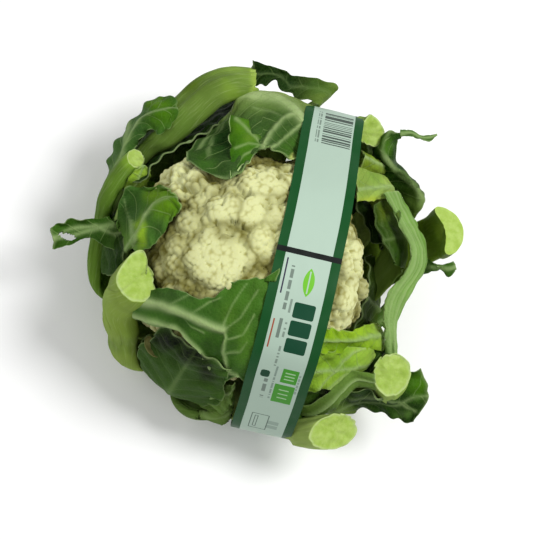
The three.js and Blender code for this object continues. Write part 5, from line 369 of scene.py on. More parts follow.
        [(-72, -55.3, 90.4, 2.5), (-71.2, -60.3, 91.9, 7), (-69, -64.1, 93.1, 8), (-65.6, -66.5, 94.3, 7), (-59.2, -67.1, 112.2, 2.5)],
        [(-72.7, -52.9, 109.2, 2.5), (-70.7, -57.3, 114.9, 7), (-67.8, -60.3, 117.3, 8), (-64.2, -62.3, 120.1, 7), (-59.8, -63.1, 120.8, 2.5)],
    ],
    "W1": [
        [(-1.5, 21.6, 34.2, 4), (-5.6, 19.3, 32.5, 8), (-9.7, 16.9, 32, 9), (-13.9, 14.5, 32.5, 8), (-18, 12.1, 34.2, 4)],
        [(-8.3, 34.4, 31.7, 4), (-12.7, 31.9, 30.1, 8), (-17, 29.4, 29.5, 9), (-21.3, 26.9, 30.1, 8), (-25.7, 24.4, 31.7, 4)],
        [(-18.6, 56.2, 33.2, 4.2), (-23.8, 53.2, 31.6, 8.5), (-29, 50.2, 31, 9.5), (-34.2, 47.2, 31.6, 8.5), (-39.4, 44.2, 33.2, 4.2)],
        [(-29.5, 78.1, 44.2, 4.2), (-36.7, 77.1, 42.5, 8.5), (-43, 74.5, 42, 9.5), (-48.4, 70.3, 42.5, 8.5), (-52.9, 64.6, 44.2, 4.2)],
        [(-33.2, 88.6, 50.8, 2.2), (-42.5, 86.3, 53, 2.6), (-51.6, 82.9, 53.8, 5.6), (-59.1, 76.8, 53, 2.6), (-65.8, 69.8, 50.8, 2.2)],
        [(-19.6, 119.7, 62.8, 2.2), (-41.6, 111.4, 65, 2.6), (-60.1, 97.6, 65.8, 5.6), (-75.7, 82, 65, 2.6), (-89.4, 65.7, 62.8, 2.2)],
        [(-6.6, 129.6, 76.8, 2.2), (-35.8, 114.8, 79, 2.6), (-57.8, 93.6, 79.8, 5.6), (-76.6, 74.2, 79, 2.6), (-93, 53.9, 76.8, 2.2)],
        [(-6.5, 125.1, 88.8, 2.2), (-33.7, 107.6, 91, 2.4), (-53.9, 86.9, 91.8, 3.4), (-72.7, 70.2, 91, 2.4), (-89.5, 51.7, 88.8, 2.2)],
        [(-9.3, 109.9, 108, 2.2), (-31.9, 95.7, 113, 2.4), (-50.2, 80.4, 116, 3.4), (-67.6, 66.9, 113, 2.4), (-81.8, 50.2, 106, 2.2)],
    ],
    "W2": [
        [(-16.9, 13.6, 34.2, 4), (-17.9, 9, 32.5, 8), (-19, 4.4, 32, 9), (-20.1, -0.2, 32.5, 8), (-21.1, -4.9, 34.2, 4)],
        [(-30.9, 17.4, 31.7, 4), (-32, 12.5, 30.1, 8), (-33.1, 7.6, 29.5, 9), (-34.3, 2.8, 30.1, 8), (-35.4, -2.1, 31.7, 4)],
        [(-53.8, 24.7, 33.2, 4.2), (-55.2, 18.9, 31.6, 8.5), (-56.5, 13, 31, 9.5), (-57.9, 7.2, 31.6, 8.5), (-59.2, 1.4, 33.2, 4.2)],
        [(-77.2, 31.7, 44.2, 4.2), (-81.4, 25.7, 42.5, 8.5), (-83.8, 19.3, 42, 9.5), (-84.4, 12.6, 42.5, 8.5), (-83.3, 5.4, 44.2, 4.2)],
        [(-93.1, 29.8, 50.8, 2.2), (-96.1, 24.7, 53, 2.6), (-98.7, 19.3, 53.8, 5.6), (-98.7, 13.4, 53, 2.6), (-98.2, 7.5, 50.8, 2.2)],
        [(-93, 41.9, 62.8, 2.2), (-100.5, 32.1, 65, 2.6), (-104, 20.5, 65.8, 5.6), (-103.9, 8.4, 65, 2.6), (-103.2, -3.5, 62.8, 2.2)],
        [(-87.4, 46.3, 76.8, 2.2), (-95.6, 33.9, 79, 2.6), (-99, 19.4, 79.8, 5.6), (-100.1, 4.7, 79, 2.6), (-100.1, -9.9, 76.8, 2.2)],
        [(-84.4, 44.6, 88.8, 2.2), (-89.5, 31.5, 91, 2.4), (-92.4, 17.9, 91.8, 3.4), (-95.5, 4.4, 91, 2.4), (-96.9, -9.6, 88.8, 2.2)],
        [(-80.4, 40.4, 98, 2.2), (-84.2, 28.5, 102, 2.4), (-88, 16.8, 104, 3.4), (-91.5, 4.8, 102, 2.4), (-91.8, -7.7, 96, 2.2)],
    ],
    "W3": [
        [(-18.2, -11.8, 34.2, 4), (-14.1, -14.3, 32.5, 8), (-10, -16.7, 32, 9), (-6, -19.2, 32.5, 8), (-1.9, -21.6, 34.2, 4)],
        [(-26.1, -24, 31.7, 4), (-21.8, -26.6, 30.1, 8), (-17.5, -29.1, 29.5, 9), (-13.2, -31.7, 30.1, 8), (-8.9, -34.3, 31.7, 4)],
        [(-40.2, -43.5, 33.2, 4.2), (-35, -46.6, 31.6, 8.5), (-29.9, -49.7, 31, 9.5), (-24.7, -52.8, 31.6, 8.5), (-19.6, -55.9, 33.2, 4.2)],
        [(-54, -63.6, 44.2, 4.2), (-49.6, -69.5, 42.5, 8.5), (-44.3, -73.7, 42, 9.5), (-38, -76.4, 42.5, 8.5), (-30.8, -77.5, 44.2, 4.2)],
        [(-63.4, -77.8, 50.8, 2.2), (-58.5, -83.1, 53, 2.6), (-53.1, -88, 53.8, 5.6), (-46.2, -90.5, 53, 2.6), (-39.2, -92.4, 50.8, 2.2)],
        [(-74.5, -69.7, 62.8, 2.2), (-66.2, -81.7, 65, 2.6), (-54.4, -90.1, 65.8, 5.6), (-40.6, -94.8, 65, 2.6), (-26.8, -98, 62.8, 2.2)],
        [(-77.4, -61.9, 76.8, 2.2), (-66.6, -76.1, 79, 2.6), (-51.7, -85.7, 79.8, 5.6), (-35.4, -92.3, 79, 2.6), (-18.6, -96.9, 76.8, 2.2)],
        [(-75.4, -60.4, 88.8, 2.2), (-63, -72, 91, 2.4), (-48.8, -80.8, 91.8, 3.4), (-34.1, -88.9, 91, 2.4), (-18.2, -94.7, 88.8, 2.2)],
        [(-71, -59.4, 93, 2.2), (-59.3, -69.2, 95, 2.4), (-47.3, -78.4, 97.2, 3.4), (-34.2, -86.3, 95, 2.4), (-19.5, -90.7, 93, 2.2)],
        [(-69.4, -58.1, 104, 2.4), (-58.9, -68.8, 108, 2.4), (-46.8, -77.6, 110, 2.4), (-33.4, -84.2, 108, 2.4), (-19, -88.3, 104, 2.4)],
        [(-67.2, -56.9, 116.7, 2.4), (-56.9, -66.5, 118.6, 2.4), (-45.2, -74.8, 121, 2.4), (-32.2, -81.2, 119, 2.4), (-18.9, -85.8, 117.1, 2.4)],
        [(-63.9, -54.8, 126.8, 2.4), (-53.9, -63.2, 128.3, 2.4), (-42.7, -70.7, 130, 2.4), (-30.7, -77, 128.8, 2.4), (-18.5, -81.7, 126.6, 2.4)],
    ],
    "W4": [
        [(2.3, -21.6, 34.2, 4), (6.3, -19.1, 32.5, 8), (10.3, -16.5, 32, 9), (14.4, -14, 32.5, 8), (18.4, -11.5, 34.2, 4)],
        [(9.5, -34.1, 31.7, 4), (13.8, -31.5, 30.1, 8), (18, -28.8, 29.5, 9), (22.3, -26.2, 30.1, 8), (26.5, -23.5, 31.7, 4)],
        [(20.6, -55.5, 33.2, 4.2), (25.6, -52.4, 31.6, 8.5), (30.7, -49.2, 31, 9.5), (35.8, -46, 31.6, 8.5), (40.9, -42.8, 33.2, 4.2)],
        [(32.2, -77, 44.2, 4.2), (39.4, -75.7, 42.5, 8.5), (45.6, -72.9, 42, 9.5), (50.8, -68.6, 42.5, 8.5), (55.1, -62.7, 44.2, 4.2)],
        [(31.1, -94, 50.8, 2.2), (41, -91.2, 53, 2.6), (50.6, -87.1, 53.8, 5.6), (58.4, -80.3, 53, 2.6), (65.3, -72.6, 50.8, 2.2)],
        [(14.4, -111.3, 62.8, 2.2), (37, -108.6, 65, 2.6), (57.7, -98.5, 65.8, 5.6), (76.4, -85.1, 65, 2.6), (93.2, -68.7, 62.8, 2.2)],
        [(1.7, -108.6, 76.8, 2.2), (29.4, -105.9, 79, 2.6), (54.4, -93.3, 79.8, 5.6), (79.5, -79, 79, 2.6), (102.5, -58.6, 76.8, 2.2)],
        [(1.5, -102.1, 88.8, 2.2), (26.7, -96.8, 91, 2.4), (49.3, -85.1, 91.8, 3.4), (73.9, -73.8, 91, 2.4), (97, -55.7, 88.8, 2.2)],
        [(3.9, -92.5, 93, 2.2), (25.1, -86.8, 96, 2.4), (44.7, -77.8, 98, 3.4), (65.8, -68.2, 94, 2.4), (83.9, -52.2, 93, 2.2)],
    ],
    "W5": [
        [(17.1, -13.3, 34.2, 4), (18.1, -8.7, 32.5, 8), (19.1, -4.1, 32, 9), (20.1, 0.6, 32.5, 8), (21, 5.2, 34.2, 4)],
        [(31.2, -16.9, 31.7, 4), (32.2, -12, 30.1, 8), (33.3, -7.1, 29.5, 9), (34.3, -2.2, 30.1, 8), (35.3, 2.7, 31.7, 4)],
        [(54.2, -23.8, 33.2, 4.2), (55.5, -17.9, 31.6, 8.5), (56.7, -12.1, 31, 9.5), (58, -6.2, 31.6, 8.5), (59.2, -0.3, 33.2, 4.2)],
        [(77.7, -30.3, 44.2, 4.2), (81.8, -24.3, 42.5, 8.5), (84.1, -17.9, 42, 9.5), (84.6, -11.1, 42.5, 8.5), (83.4, -3.9, 44.2, 4.2)],
        [(88.5, -37.4, 42.5, 2.2), (92.1, -30.7, 44.7, 2.6), (95, -23.6, 45.5, 5.6), (95.2, -16, 44.7, 2.6), (94.7, -8.4, 42.5, 2.2)],
        [(88.4, -53.4, 52.6, 2.2), (97.8, -40.5, 54.8, 2.6), (102.3, -25.2, 55.6, 5.6), (102.4, -9.2, 54.8, 2.6), (100.8, 6.3, 52.6, 2.2)],
        [(81.4, -59.3, 64.3, 2.2), (92.4, -43.1, 66.6, 2.6), (97.3, -24.1, 67.3, 5.6), (98.4, -4.8, 66.6, 2.6), (96.8, 14.4, 64.3, 2.2)],
        [(78.6, -57.4, 74.4, 2.2), (86.4, -40.5, 76.6, 2.4), (90.7, -22.7, 77.4, 3.4), (93.7, -4.7, 76.6, 2.4), (93.7, 13.9, 74.4, 2.2)],
        [(73.5, -51.4, 84, 2.2), (79.4, -36.5, 88, 2.4), (84.3, -21.3, 90, 3.4), (87.8, -5.6, 90, 2.4), (86.9, 10.6, 86, 2.2)],
    ],
    "W6": [
        [(20.8, 6, 34.2, 4), (17.7, 9.5, 32.5, 8), (14.5, 13, 32, 9), (11.3, 16.6, 32.5, 8), (8.1, 20.1, 34.2, 4)],
        [(32, 15.3, 31.7, 4), (28.6, 19, 30.1, 8), (25.3, 22.8, 29.5, 9), (21.9, 26.5, 30.1, 8), (18.6, 30.2, 31.7, 4)],
        [(51.1, 29.9, 33.2, 4.2), (47.1, 34.4, 31.6, 8.5), (43.1, 38.8, 31, 9.5), (39.1, 43.3, 31.6, 8.5), (35.1, 47.7, 33.2, 4.2)],
        [(70.2, 45.1, 44.2, 4.2), (67.7, 51.9, 42.5, 8.5), (63.9, 57.5, 42, 9.5), (58.7, 62, 42.5, 8.5), (52.2, 65.1, 44.2, 4.2)],
        [(81.8, 45.4, 50.8, 2.2), (77.4, 54.7, 53, 2.6), (71.7, 63.4, 53.8, 5.6), (63.6, 69.9, 53, 2.6), (54.9, 75.3, 50.8, 2.2)],
        [(101.8, 31.9, 62.8, 2.2), (95.2, 53.8, 65, 2.6), (81.7, 72.4, 65.8, 5.6), (63.4, 86.1, 65, 2.6), (44.1, 97.7, 62.8, 2.2)],
        [(101.3, 19, 76.8, 2.2), (93.8, 45.8, 79, 2.6), (77.1, 68.3, 79.8, 5.6), (55.4, 85.4, 79, 2.6), (31.5, 100, 76.8, 2.2)],
        [(97, 18, 88.8, 2.2), (87.2, 42.4, 91, 2.4), (71.4, 63.1, 91.8, 3.4), (52.3, 80.7, 91, 2.4), (30.2, 96.1, 88.8, 2.2)],
        [(88.9, 19.3, 93, 2.2), (79.3, 40.1, 98, 2.4), (66.5, 58.7, 102, 3.4), (50.3, 74.9, 102, 2.4), (30.5, 87.3, 98, 2.2)],
    ],
}
BAND_N = [0.973677, -0.214209, 0.077894]
BAND_OFF = 35.0
BAND_LOOP = [(124.1, 21.3), (118.2, 26.6), (111.8, 31.2), (105.2, 35.6), (98.3, 39.5), (91.4, 43.3), (84.5, 47.2), (77.6, 51.1), (70.7, 55.0), (63.8, 58.9), (56.9, 62.8), (50.1, 66.6), (43.0, 70.3), (35.5, 73.0), (27.9, 75.3), (20.1, 76.9), (12.2, 77.9), (4.3, 78.5), (-3.6, 78.7), (-11.5, 79.0), (-19.4, 79.2), (-27.4, 78.5), (-35.1, 76.8), (-42.7, 74.3), (-50.2, 71.9), (-57.2, 68.1), (-63.7, 63.6), (-70.2, 59.1), (-75.3, 53.0), (-79.6, 46.3), (-83.6, 39.5), (-87.3, 32.5), (-90.9, 25.4), (-94.2, 18.2), (-97.5, 11.0), (-100.8, 3.9), (-104.2, -3.3), (-107.5, -10.5), (-110.5, -17.8), (-112.6, -25.5), (-111.4, -33.4), (-110.0, -41.2), (-107.7, -48.9), (-102.4, -55.0), (-96.0, -59.7), (-89.7, -64.4), (-82.9, -68.7), (-75.8, -72.1), (-68.7, -75.5), (-61.4, -78.7), (-53.7, -80.9), (-45.9, -82.1), (-37.9, -82.5), (-30.0, -82.7), (-22.1, -82.9), (-14.2, -83.0), (-6.3, -83.2), (1.6, -83.3), (9.5, -83.5), (17.4, -83.5), (25.3, -83.3), (33.2, -82.9), (41.1, -82.5), (49.0, -80.8), (55.8, -76.6), (62.6, -72.5), (69.3, -68.3), (75.5, -63.3), (81.7, -58.4), (87.2, -52.7), (92.3, -46.7), (97.5, -40.6), (102.6, -34.6), (107.7, -28.6), (112.9, -22.6), (118.0, -16.5), (122.0, -9.7), (125.8, -2.6), (125.9, 5.4), (125.1, 13.3)]

HC = np.array([0, 0, 85.0])
CC = np.array([-2.0, -3.0, 95.0])
BN = np.array(BAND_N); BN /= np.linalg.norm(BN)
BE2 = np.array([0, 0, 1.0]) - BN[2] * BN; BE2 /= np.linalg.norm(BE2)
BE1 = np.cross(BE2, BN)
BC = HC + BN * BAND_OFF
BLOOP = np.array(BAND_LOOP)


def lin(c):
    c = np.asarray(c, float) / 255.0
    return np.where(c <= 0.04045, c / 12.92, ((c + 0.055) / 1.055) ** 2.4)


# ---------------------------------------------------------------- smooth noise, for shapes
def hash3(i, j, k, seed):
    n = (i * 73856093) ^ (j * 19349663) ^ (k * 83492791) ^ (seed * 2654435761)
    n = (n ^ (n >> 13)) * 1274126177
    n = n & 0x7FFFFFFF
    return ((n ^ (n >> 16)) & 0xFFFF) / 32767.5 - 1.0


def noise(p, scale, seed=0):
    """value noise in -1..1 at points p (n,3), feature size `scale` mm"""
    q = np.asarray(p, float) / scale
    f = np.floor(q).astype(np.int64)
    t = q - f
    t = t * t * (3 - 2 * t)
    out = 0
    for a in (0, 1):
        for b in (0, 1):
            for c in (0, 1):
                w = (t[..., 0] if a else 1 - t[..., 0]) * (t[..., 1] if b else 1 - t[..., 1]) * (t[..., 2] if c else 1 - t[..., 2])
                out = out + w * hash3(f[..., 0] + a, f[..., 1] + b, f[..., 2] + c, seed)
    return out


def sstep(a, b, x):
    t = np.clip((x - a) / (b - a), 0, 1)
    return t * t * (3 - 2 * t)


# ---------------------------------------------------------------- splines
def spline(A, t0, t):
    """non-uniform Catmull-Rom through rows of A (n, ...) at knots t0, sampled at t"""
    n = len(A)
    m = np.zeros_like(A)
    for i in range(n):
        if i == 0:
            m[i] = (A[1] - A[0]) / (t0[1] - t0[0])
        elif i == n - 1:
            m[i] = (A[-1] - A[-2]) / (t0[-1] - t0[-2])
        else:
            h0, h1 = t0[i] - t0[i - 1], t0[i + 1] - t0[i]
            m[i] = ((A[i] - A[i - 1]) / h0 * h1 + (A[i + 1] - A[i]) / h1 * h0) / (h0 + h1)
    k = np.clip(np.searchsorted(t0, t, side="right") - 1, 0, n - 2)
    h = (t0[k + 1] - t0[k])
    u = (t - t0[k]) / h
    sh = (len(t),) + (1,) * (A.ndim - 1)
    u = u.reshape(sh); h = h.reshape(sh)
    return ((2 * u**3 - 3 * u**2 + 1) * A[k] + (u**3 - 2 * u**2 + u) * h * m[k]
            + (-2 * u**3 + 3 * u**2) * A[k + 1] + (u**3 - u**2) * h * m[k + 1])


# ---------------------------------------------------------------- the band loop as a polar curve
_ang = np.arctan2(BLOOP[:, 1] + 2, BLOOP[:, 0])
_rad = np.hypot(BLOOP[:, 0], BLOOP[:, 1] + 2)
_o = np.argsort(_ang)
_ang, _rad = _ang[_o], _rad[_o]
_ang = np.r_[_ang[-1] - 2 * np.pi, _ang, _ang[0] + 2 * np.pi]
_rad = np.r_[_rad[-1], _rad, _rad[0]]


def band_coords(P):
    d = P - BC
    w = d @ BN
    a = d @ BE1
    b = d @ BE2 + 2
    th = np.arctan2(b, a)
    return w, a, b, np.hypot(a, b), np.interp(th, _ang, _rad)


def keep_in_band(P, gap=0.5):
    w, a, b, rho, lim = band_coords(P)
    s = np.clip((24.5 - np.abs(w)) / 3.0, 0, 1)
    over = np.maximum(0, rho - (lim - gap)) * s
    dirv = (a / rho)[..., None] * BE1 + (b / rho)[..., None] * BE2
    return P - dirv * over[..., None]


def keep_off_band(P, gap=1.2):
    w, a, b, rho, lim = band_coords(P)
    s = np.clip((25.5 - np.abs(w)) / 3.0, 0, 1)
    under = np.maximum(0, (lim + gap) - rho) * s
    dirv = (a / rho)[..., None] * BE1 + (b / rho)[..., None] * BE2
    return P + dirv * under[..., None]


def curd_env(d):
    z = d[..., 2]
    h = np.sqrt(np.maximum(1e-9, 1 - z * z))
    c = np.where(z > 0, 67.0, 46.0)
    e = 2.25
    return ((h / 85.0) ** e + (np.abs(z) / c) ** e) ** (-1 / e)


def keep_off_curd(P, gap=0.3):
    q = P - CC
    R = np.linalg.norm(q, axis=-1)
    lim = curd_env(q / R[..., None]) + gap
    up = (P[..., 2] > 80).astype(float)
    k = np.maximum(0, lim - R) * up
    return P + q / R[..., None] * k[..., None]


# ---------------------------------------------------------------- mesh helpers
def make_object(name, V, F, attrs=None, cols=None, uv=None, sharp=None, smooth=True, mats=()):
    me = bpy.data.meshes.new(name)
    V = np.asarray(V, np.float32)
    me.vertices.add(len(V))
    me.vertices.foreach_set("co", (V * MM).ravel())
    sizes = np.array([len(f) for f in F], np.int32)
    idx = np.concatenate([np.asarray(f, np.int32) for f in F]) if not isinstance(F, np.ndarray) else F.astype(np.int32).ravel()
    me.loops.add(len(idx))
    me.loops.foreach_set("vertex_index", idx)
    me.polygons.add(len(sizes))
    me.polygons.foreach_set("loop_start", np.r_[0, np.cumsum(sizes)[:-1]].astype(np.int32))
    me.update(calc_edges=True)
    me.validate()
    me.polygons.foreach_set("use_smooth", np.full(len(me.polygons), smooth))
    for k, v in (attrs or {}).items():
        a = me.attributes.new(k, "FLOAT", "POINT")
        a.data.foreach_set("value", np.asarray(v, np.float32).ravel())
    for k, v in (cols or {}).items():
        a = me.attributes.new(k, "FLOAT_COLOR", "POINT")
        c = np.ones((len(V), 4), np.float32)
        c[:, :3] = v
        a.data.foreach_set("color", c.ravel())
    if uv is not None:
        lay = me.uv_layers.new(name="UVMap")
        li = np.zeros(len(me.loops), np.int32)
        me.loops.foreach_get("vertex_index", li)
        lay.data.foreach_set("uv", np.asarray(uv, np.float32)[li].ravel())
    if sharp is not None:
        me.set_sharp_from_angle(angle=math.radians(sharp))
    ob = bpy.data.objects.new(name, me)
    bpy.context.scene.collection.objects.link(ob)
    for m in mats:
        me.materials.append(m)
    return ob


def finish_piece(ob, node):
    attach(ob, "root")
    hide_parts(node)
    return ob

DS, DV = ((1.25, 1.0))


# ---------------------------------------------------------------- shader helpers
class X:
    """a value in a shader tree; arithmetic on it makes Math nodes"""

    def __init__(self, nt, s):
        self.nt, self.s = nt, s

    def _op(self, op, other=None, third=None, clamp=False):
        n = self.nt.nodes.new("ShaderNodeMath")
        n.operation = op
        n.use_clamp = clamp
        for i, v in enumerate((self, other, third)):
            if v is None:
                continue
            if isinstance(v, X):
                if isinstance(v.s, (int, float)):
                    n.inputs[i].default_value = v.s
                else:
                    self.nt.links.new(v.s, n.inputs[i])
            else:
                n.inputs[i].default_value = float(v)
        return X(self.nt, n.outputs[0])

    def __add__(self, o): return self._op("ADD", o)
    __radd__ = __add__
    def __sub__(self, o): return self._op("SUBTRACT", o)
    def __rsub__(self, o): return X(self.nt, float(o))._op("SUBTRACT", self)
    def __mul__(self, o): return self._op("MULTIPLY", o)
    __rmul__ = __mul__
    def __truediv__(self, o): return self._op("DIVIDE", o)
    def abs(self): return self._op("ABSOLUTE")
    def floor(self): return self._op("FLOOR")
    def lt(self, o): return self._op("LESS_THAN", o)
    def gt(self, o): return self._op("GREATER_THAN", o)
    def max(self, o): return self._op("MAXIMUM", o)
    def min(self, o): return self._op("MINIMUM", o)
    def sqrt(self): return self._op("SQRT")
    def pow(self, o): return self._op("POWER", o)
    def clamp(self): return self._op("ADD", 0.0, clamp=True)
    def sstep(self, a, b):
        n = self.nt.nodes.new("ShaderNodeMapRange")
        n.interpolation_type = "SMOOTHSTEP"
        self.nt.links.new(self.s, n.inputs[0])
        n.inputs[1].default_value = a
        n.inputs[2].default_value = b
        return X(self.nt, n.outputs[0])


def new_mat(name):
    m = bpy.data.materials.new(name)
    m.use_nodes = True
    nt = m.node_tree
    bsdf = nt.nodes["Principled BSDF"]
    return m, nt, bsdf


def attr(nt, name, kind="Fac"):
    n = nt.nodes.new("ShaderNodeAttribute")
    n.attribute_name = name
    return X(nt, n.outputs[kind])


def mix(nt, fac, a, b, mode="MIX"):
    n = nt.nodes.new("ShaderNodeMix")
    n.data_type = "RGBA"
    n.blend_type = mode
    for i, v in ((0, fac), (6, a), (7, b)):
        if isinstance(v, X):
            nt.links.new(v.s, n.inputs[i])
        elif isinstance(v, (int, float)):
            n.inputs[i].default_value = v
        else:
            n.inputs[i].default_value = (*lin(v), 1)
    return X(nt, n.outputs[2])


def tex_noise(nt, vec, scale, detail=3, rough=0.55, distort=0.0):
    n = nt.nodes.new("ShaderNodeTexNoise")
    n.inputs["Scale"].default_value = scale
    n.inputs["Detail"].default_value = detail
    n.inputs["Roughness"].default_value = rough
    n.inputs["Distortion"].default_value = distort
    if vec is not None:
        nt.links.new(vec.s, n.inputs["Vector"])
    return X(nt, n.outputs["Fac"])


def tex_voronoi(nt, vec, scale, feature="DISTANCE_TO_EDGE", rand=1.0):
    n = nt.nodes.new("ShaderNodeTexVoronoi")
    n.feature = feature
    n.inputs["Scale"].default_value = scale
    n.inputs["Randomness"].default_value = rand
    if vec is not None:
        nt.links.new(vec.s, n.inputs["Vector"])
    return X(nt, n.outputs["Distance"])


def coords(nt, kind="Object"):
    n = nt.nodes.new("ShaderNodeTexCoord")
    return X(nt, n.outputs[kind])


def scaled(nt, vec, s):
    n = nt.nodes.new("ShaderNodeVectorMath")
    n.operation = "MULTIPLY"
    nt.links.new(vec.s, n.inputs[0])
    n.inputs[1].default_value = s
    return X(nt, n.outputs[0])


def bump(nt, height, strength, dist, prev=None):
    n = nt.nodes.new("ShaderNodeBump")
    n.inputs["Strength"].default_value = strength
    n.inputs["Distance"].default_value = dist
    nt.links.new(height.s, n.inputs["Height"])
    if prev is not None:
        nt.links.new(prev.s, n.inputs["Normal"])
    return X(nt, n.outputs[0])


# ---------------------------------------------------------------- materials
def leaf_material():
    m, nt, b = new_mat("leaf_tissue")
    col = attr(nt, "Col", "Color")
    blade = attr(nt, "blade")
    va = attr(nt, "vabs")
    obj = coords(nt)
    uv = coords(nt, "UV")
    big = tex_noise(nt, obj, 48, 4, 0.6)
    fine = tex_noise(nt, obj, 520, 3, 0.6)
    net = tex_voronoi(nt, obj, 420)          # the net of small veins
    line = (1 - net.sstep(0.0, 0.14)) * blade
    # side veins: q runs along the leaf and grows by one from one side vein to the next
    def veins(name, spacing, half, taper):
        q = attr(nt, name)
        fr = q - q.floor()
        d = (fr - 0.5).abs() * spacing
        w = (1.0 - va * taper) * half
        return (1 - (d / w).sstep(0.25, 1.0)) * blade * (1 - va.sstep(0.86, 1.0))
    v1 = veins("q1", 13.0, 0.95, 0.62)
    v2 = veins("q2", 5.2, 0.42, 0.5)
    on = attr(nt, "latw")
    v1 = v1 * on
    v2 = v2 * on
    streak = tex_noise(nt, scaled(nt, uv, (0.05, 1.3, 1)), 1.0, 4, 0.65)
    rod = 1 - blade
    lum = 0.78 + 0.40 * big
    c = mix(nt, 1.0, col, mix(nt, lum.clamp(), (0, 0, 0), (255, 255, 255)), "MULTIPLY")
    c = mix(nt, line * 0.05, c, (128, 160, 80))
    c = mix(nt, v2 * 0.13, c, (112, 146, 70))
    c = mix(nt, v1 * 0.38, c, (138, 166, 98))
    c = mix(nt, (streak.sstep(0.5, 0.72) * rod * 0.15), c, (190, 206, 146))
    c = mix(nt, ((1 - streak).sstep(0.52, 0.75) * rod * 0.16), c, (64, 92, 36))
    c = mix(nt, (fine.sstep(0.60, 0.74) * 0.04), c, (170, 190, 110))
    wax = tex_noise(nt, obj, 24, 4, 0.6).sstep(0.45, 0.75)
    c = mix(nt, wax * blade * 0.03, c, (96, 128, 86))
    nt.links.new(c.s, b.inputs["Base Color"])
    rg = 0.46 + 0.22 * big
    nt.links.new(rg.s, b.inputs["Roughness"])
    b.inputs["Specular IOR Level"].default_value = 0.05
    b.inputs["Subsurface Weight"].default_value = 0.08
    b.inputs["Subsurface Radius"].default_value = (0.5, 1.0, 0.25)
    b.inputs["Subsurface Scale"].default_value = 0.002
    h = net.sstep(0.0, 0.3) * blade * 0.35 + streak * rod * 0.5 + fine * 0.22 + v1 * 1.1 + v2 * 0.6
    nt.links.new(bump(nt, h, 0.6, 0.0008).s, b.inputs["Normal"])
    tr = nt.nodes.new("ShaderNodeBsdfTranslucent")
    nt.links.new(mix(nt, 0.3, c, (110, 160, 20)).s, tr.inputs["Color"])
    ms = nt.nodes.new("ShaderNodeMixShader")
    nt.links.new((blade * 0.09).s, ms.inputs[0])
    nt.links.new(b.outputs[0], ms.inputs[1])
    nt.links.new(tr.outputs[0], ms.inputs[2])
    nt.links.new(ms.outputs[0], nt.nodes["Material Output"].inputs["Surface"])
    return m


def flesh_material():
    m, nt, b = new_mat("leaf_flesh")
    obj = coords(nt)
    tone = attr(nt, "Col", "Color")
    n1 = tex_noise(nt, obj, 160, 4, 0.65)
    n2 = tex_noise(nt, scaled(nt, obj, (1, 1, 1)), 700, 3, 0.6)
    rim = attr(nt, "rim")
    c = mix(nt, n1.sstep(0.3, 0.7), (146, 174, 70), (166, 190, 98))
    c = mix(nt, n2.sstep(0.55, 0.75) * 0.25, c, (186, 204, 130))
    c = mix(nt, rim * 0.7, c, (182, 198, 142))
    dry = attr(nt, "dry")
    c = mix(nt, dry, c, mix(nt, n1, (74, 74, 34), (132, 130, 78)))
    nt.links.new(c.s, b.inputs["Base Color"])
    b.inputs["Roughness"].default_value = 0.55
    b.inputs["Specular IOR Level"].default_value = 0.15
    b.inputs["Subsurface Weight"].default_value = 0.2
    b.inputs["Subsurface Radius"].default_value = (0.7, 1.0, 0.3)
    b.inputs["Subsurface Scale"].default_value = 0.004
    nt.links.new(bump(nt, n1 * 0.5 + n2 * 0.5, 0.5, 0.0007).s, b.inputs["Normal"])
    return m


def curd_material():
    m, nt, b = new_mat("curd_cream")
    col = attr(nt, "Col", "Color")
    obj = coords(nt)
    n1 = tex_noise(nt, obj, 35, 4, 0.6)
    n2 = tex_noise(nt, obj, 900, 3, 0.65)
    v = tex_voronoi(nt, obj, 620, "F1")
    c = mix(nt, 1.0, col, mix(nt, (0.86 + 0.28 * n1).clamp(), (0, 0, 0), (255, 255, 255)), "MULTIPLY")
    c = mix(nt, n2.sstep(0.6, 0.8) * 0.12, c, (232, 230, 196))
    nt.links.new(c.s, b.inputs["Base Color"])
    b.inputs["Roughness"].default_value = 0.62
    b.inputs["Specular IOR Level"].default_value = 0.08
    b.inputs["Subsurface Weight"].default_value = 0.22
    b.inputs["Subsurface Radius"].default_value = (1.0, 0.9, 0.45)
    b.inputs["Subsurface Scale"].default_value = 0.0022
    h = (1 - v) * 0.8 + n2 * 0.4
    nt.links.new(bump(nt, h, 0.35, 0.0005).s, b.inputs["Normal"])
    return m


LEAF = leaf_material()
FLESH = flesh_material()

# ---------------------------------------------------------------- leaves
def fresh(c):
    """the same green with less blue and a touch less red"""
    r, g_, b_ = c
    return (min(255, r * 0.98), min(255, g_ * 1.0), b_ * 0.72)


DARK = (52, 84, 50); DARK_IN = (62, 92, 58); BLUE = (70, 104, 84); MID = (84, 124, 52); BRIGHT = (96, 142, 38)
YELLOW = (150, 182, 62); PET = (138, 166, 96); PALE = (176, 196, 140); VEIN = (150, 176, 112); OLIVE = (110, 120, 30)
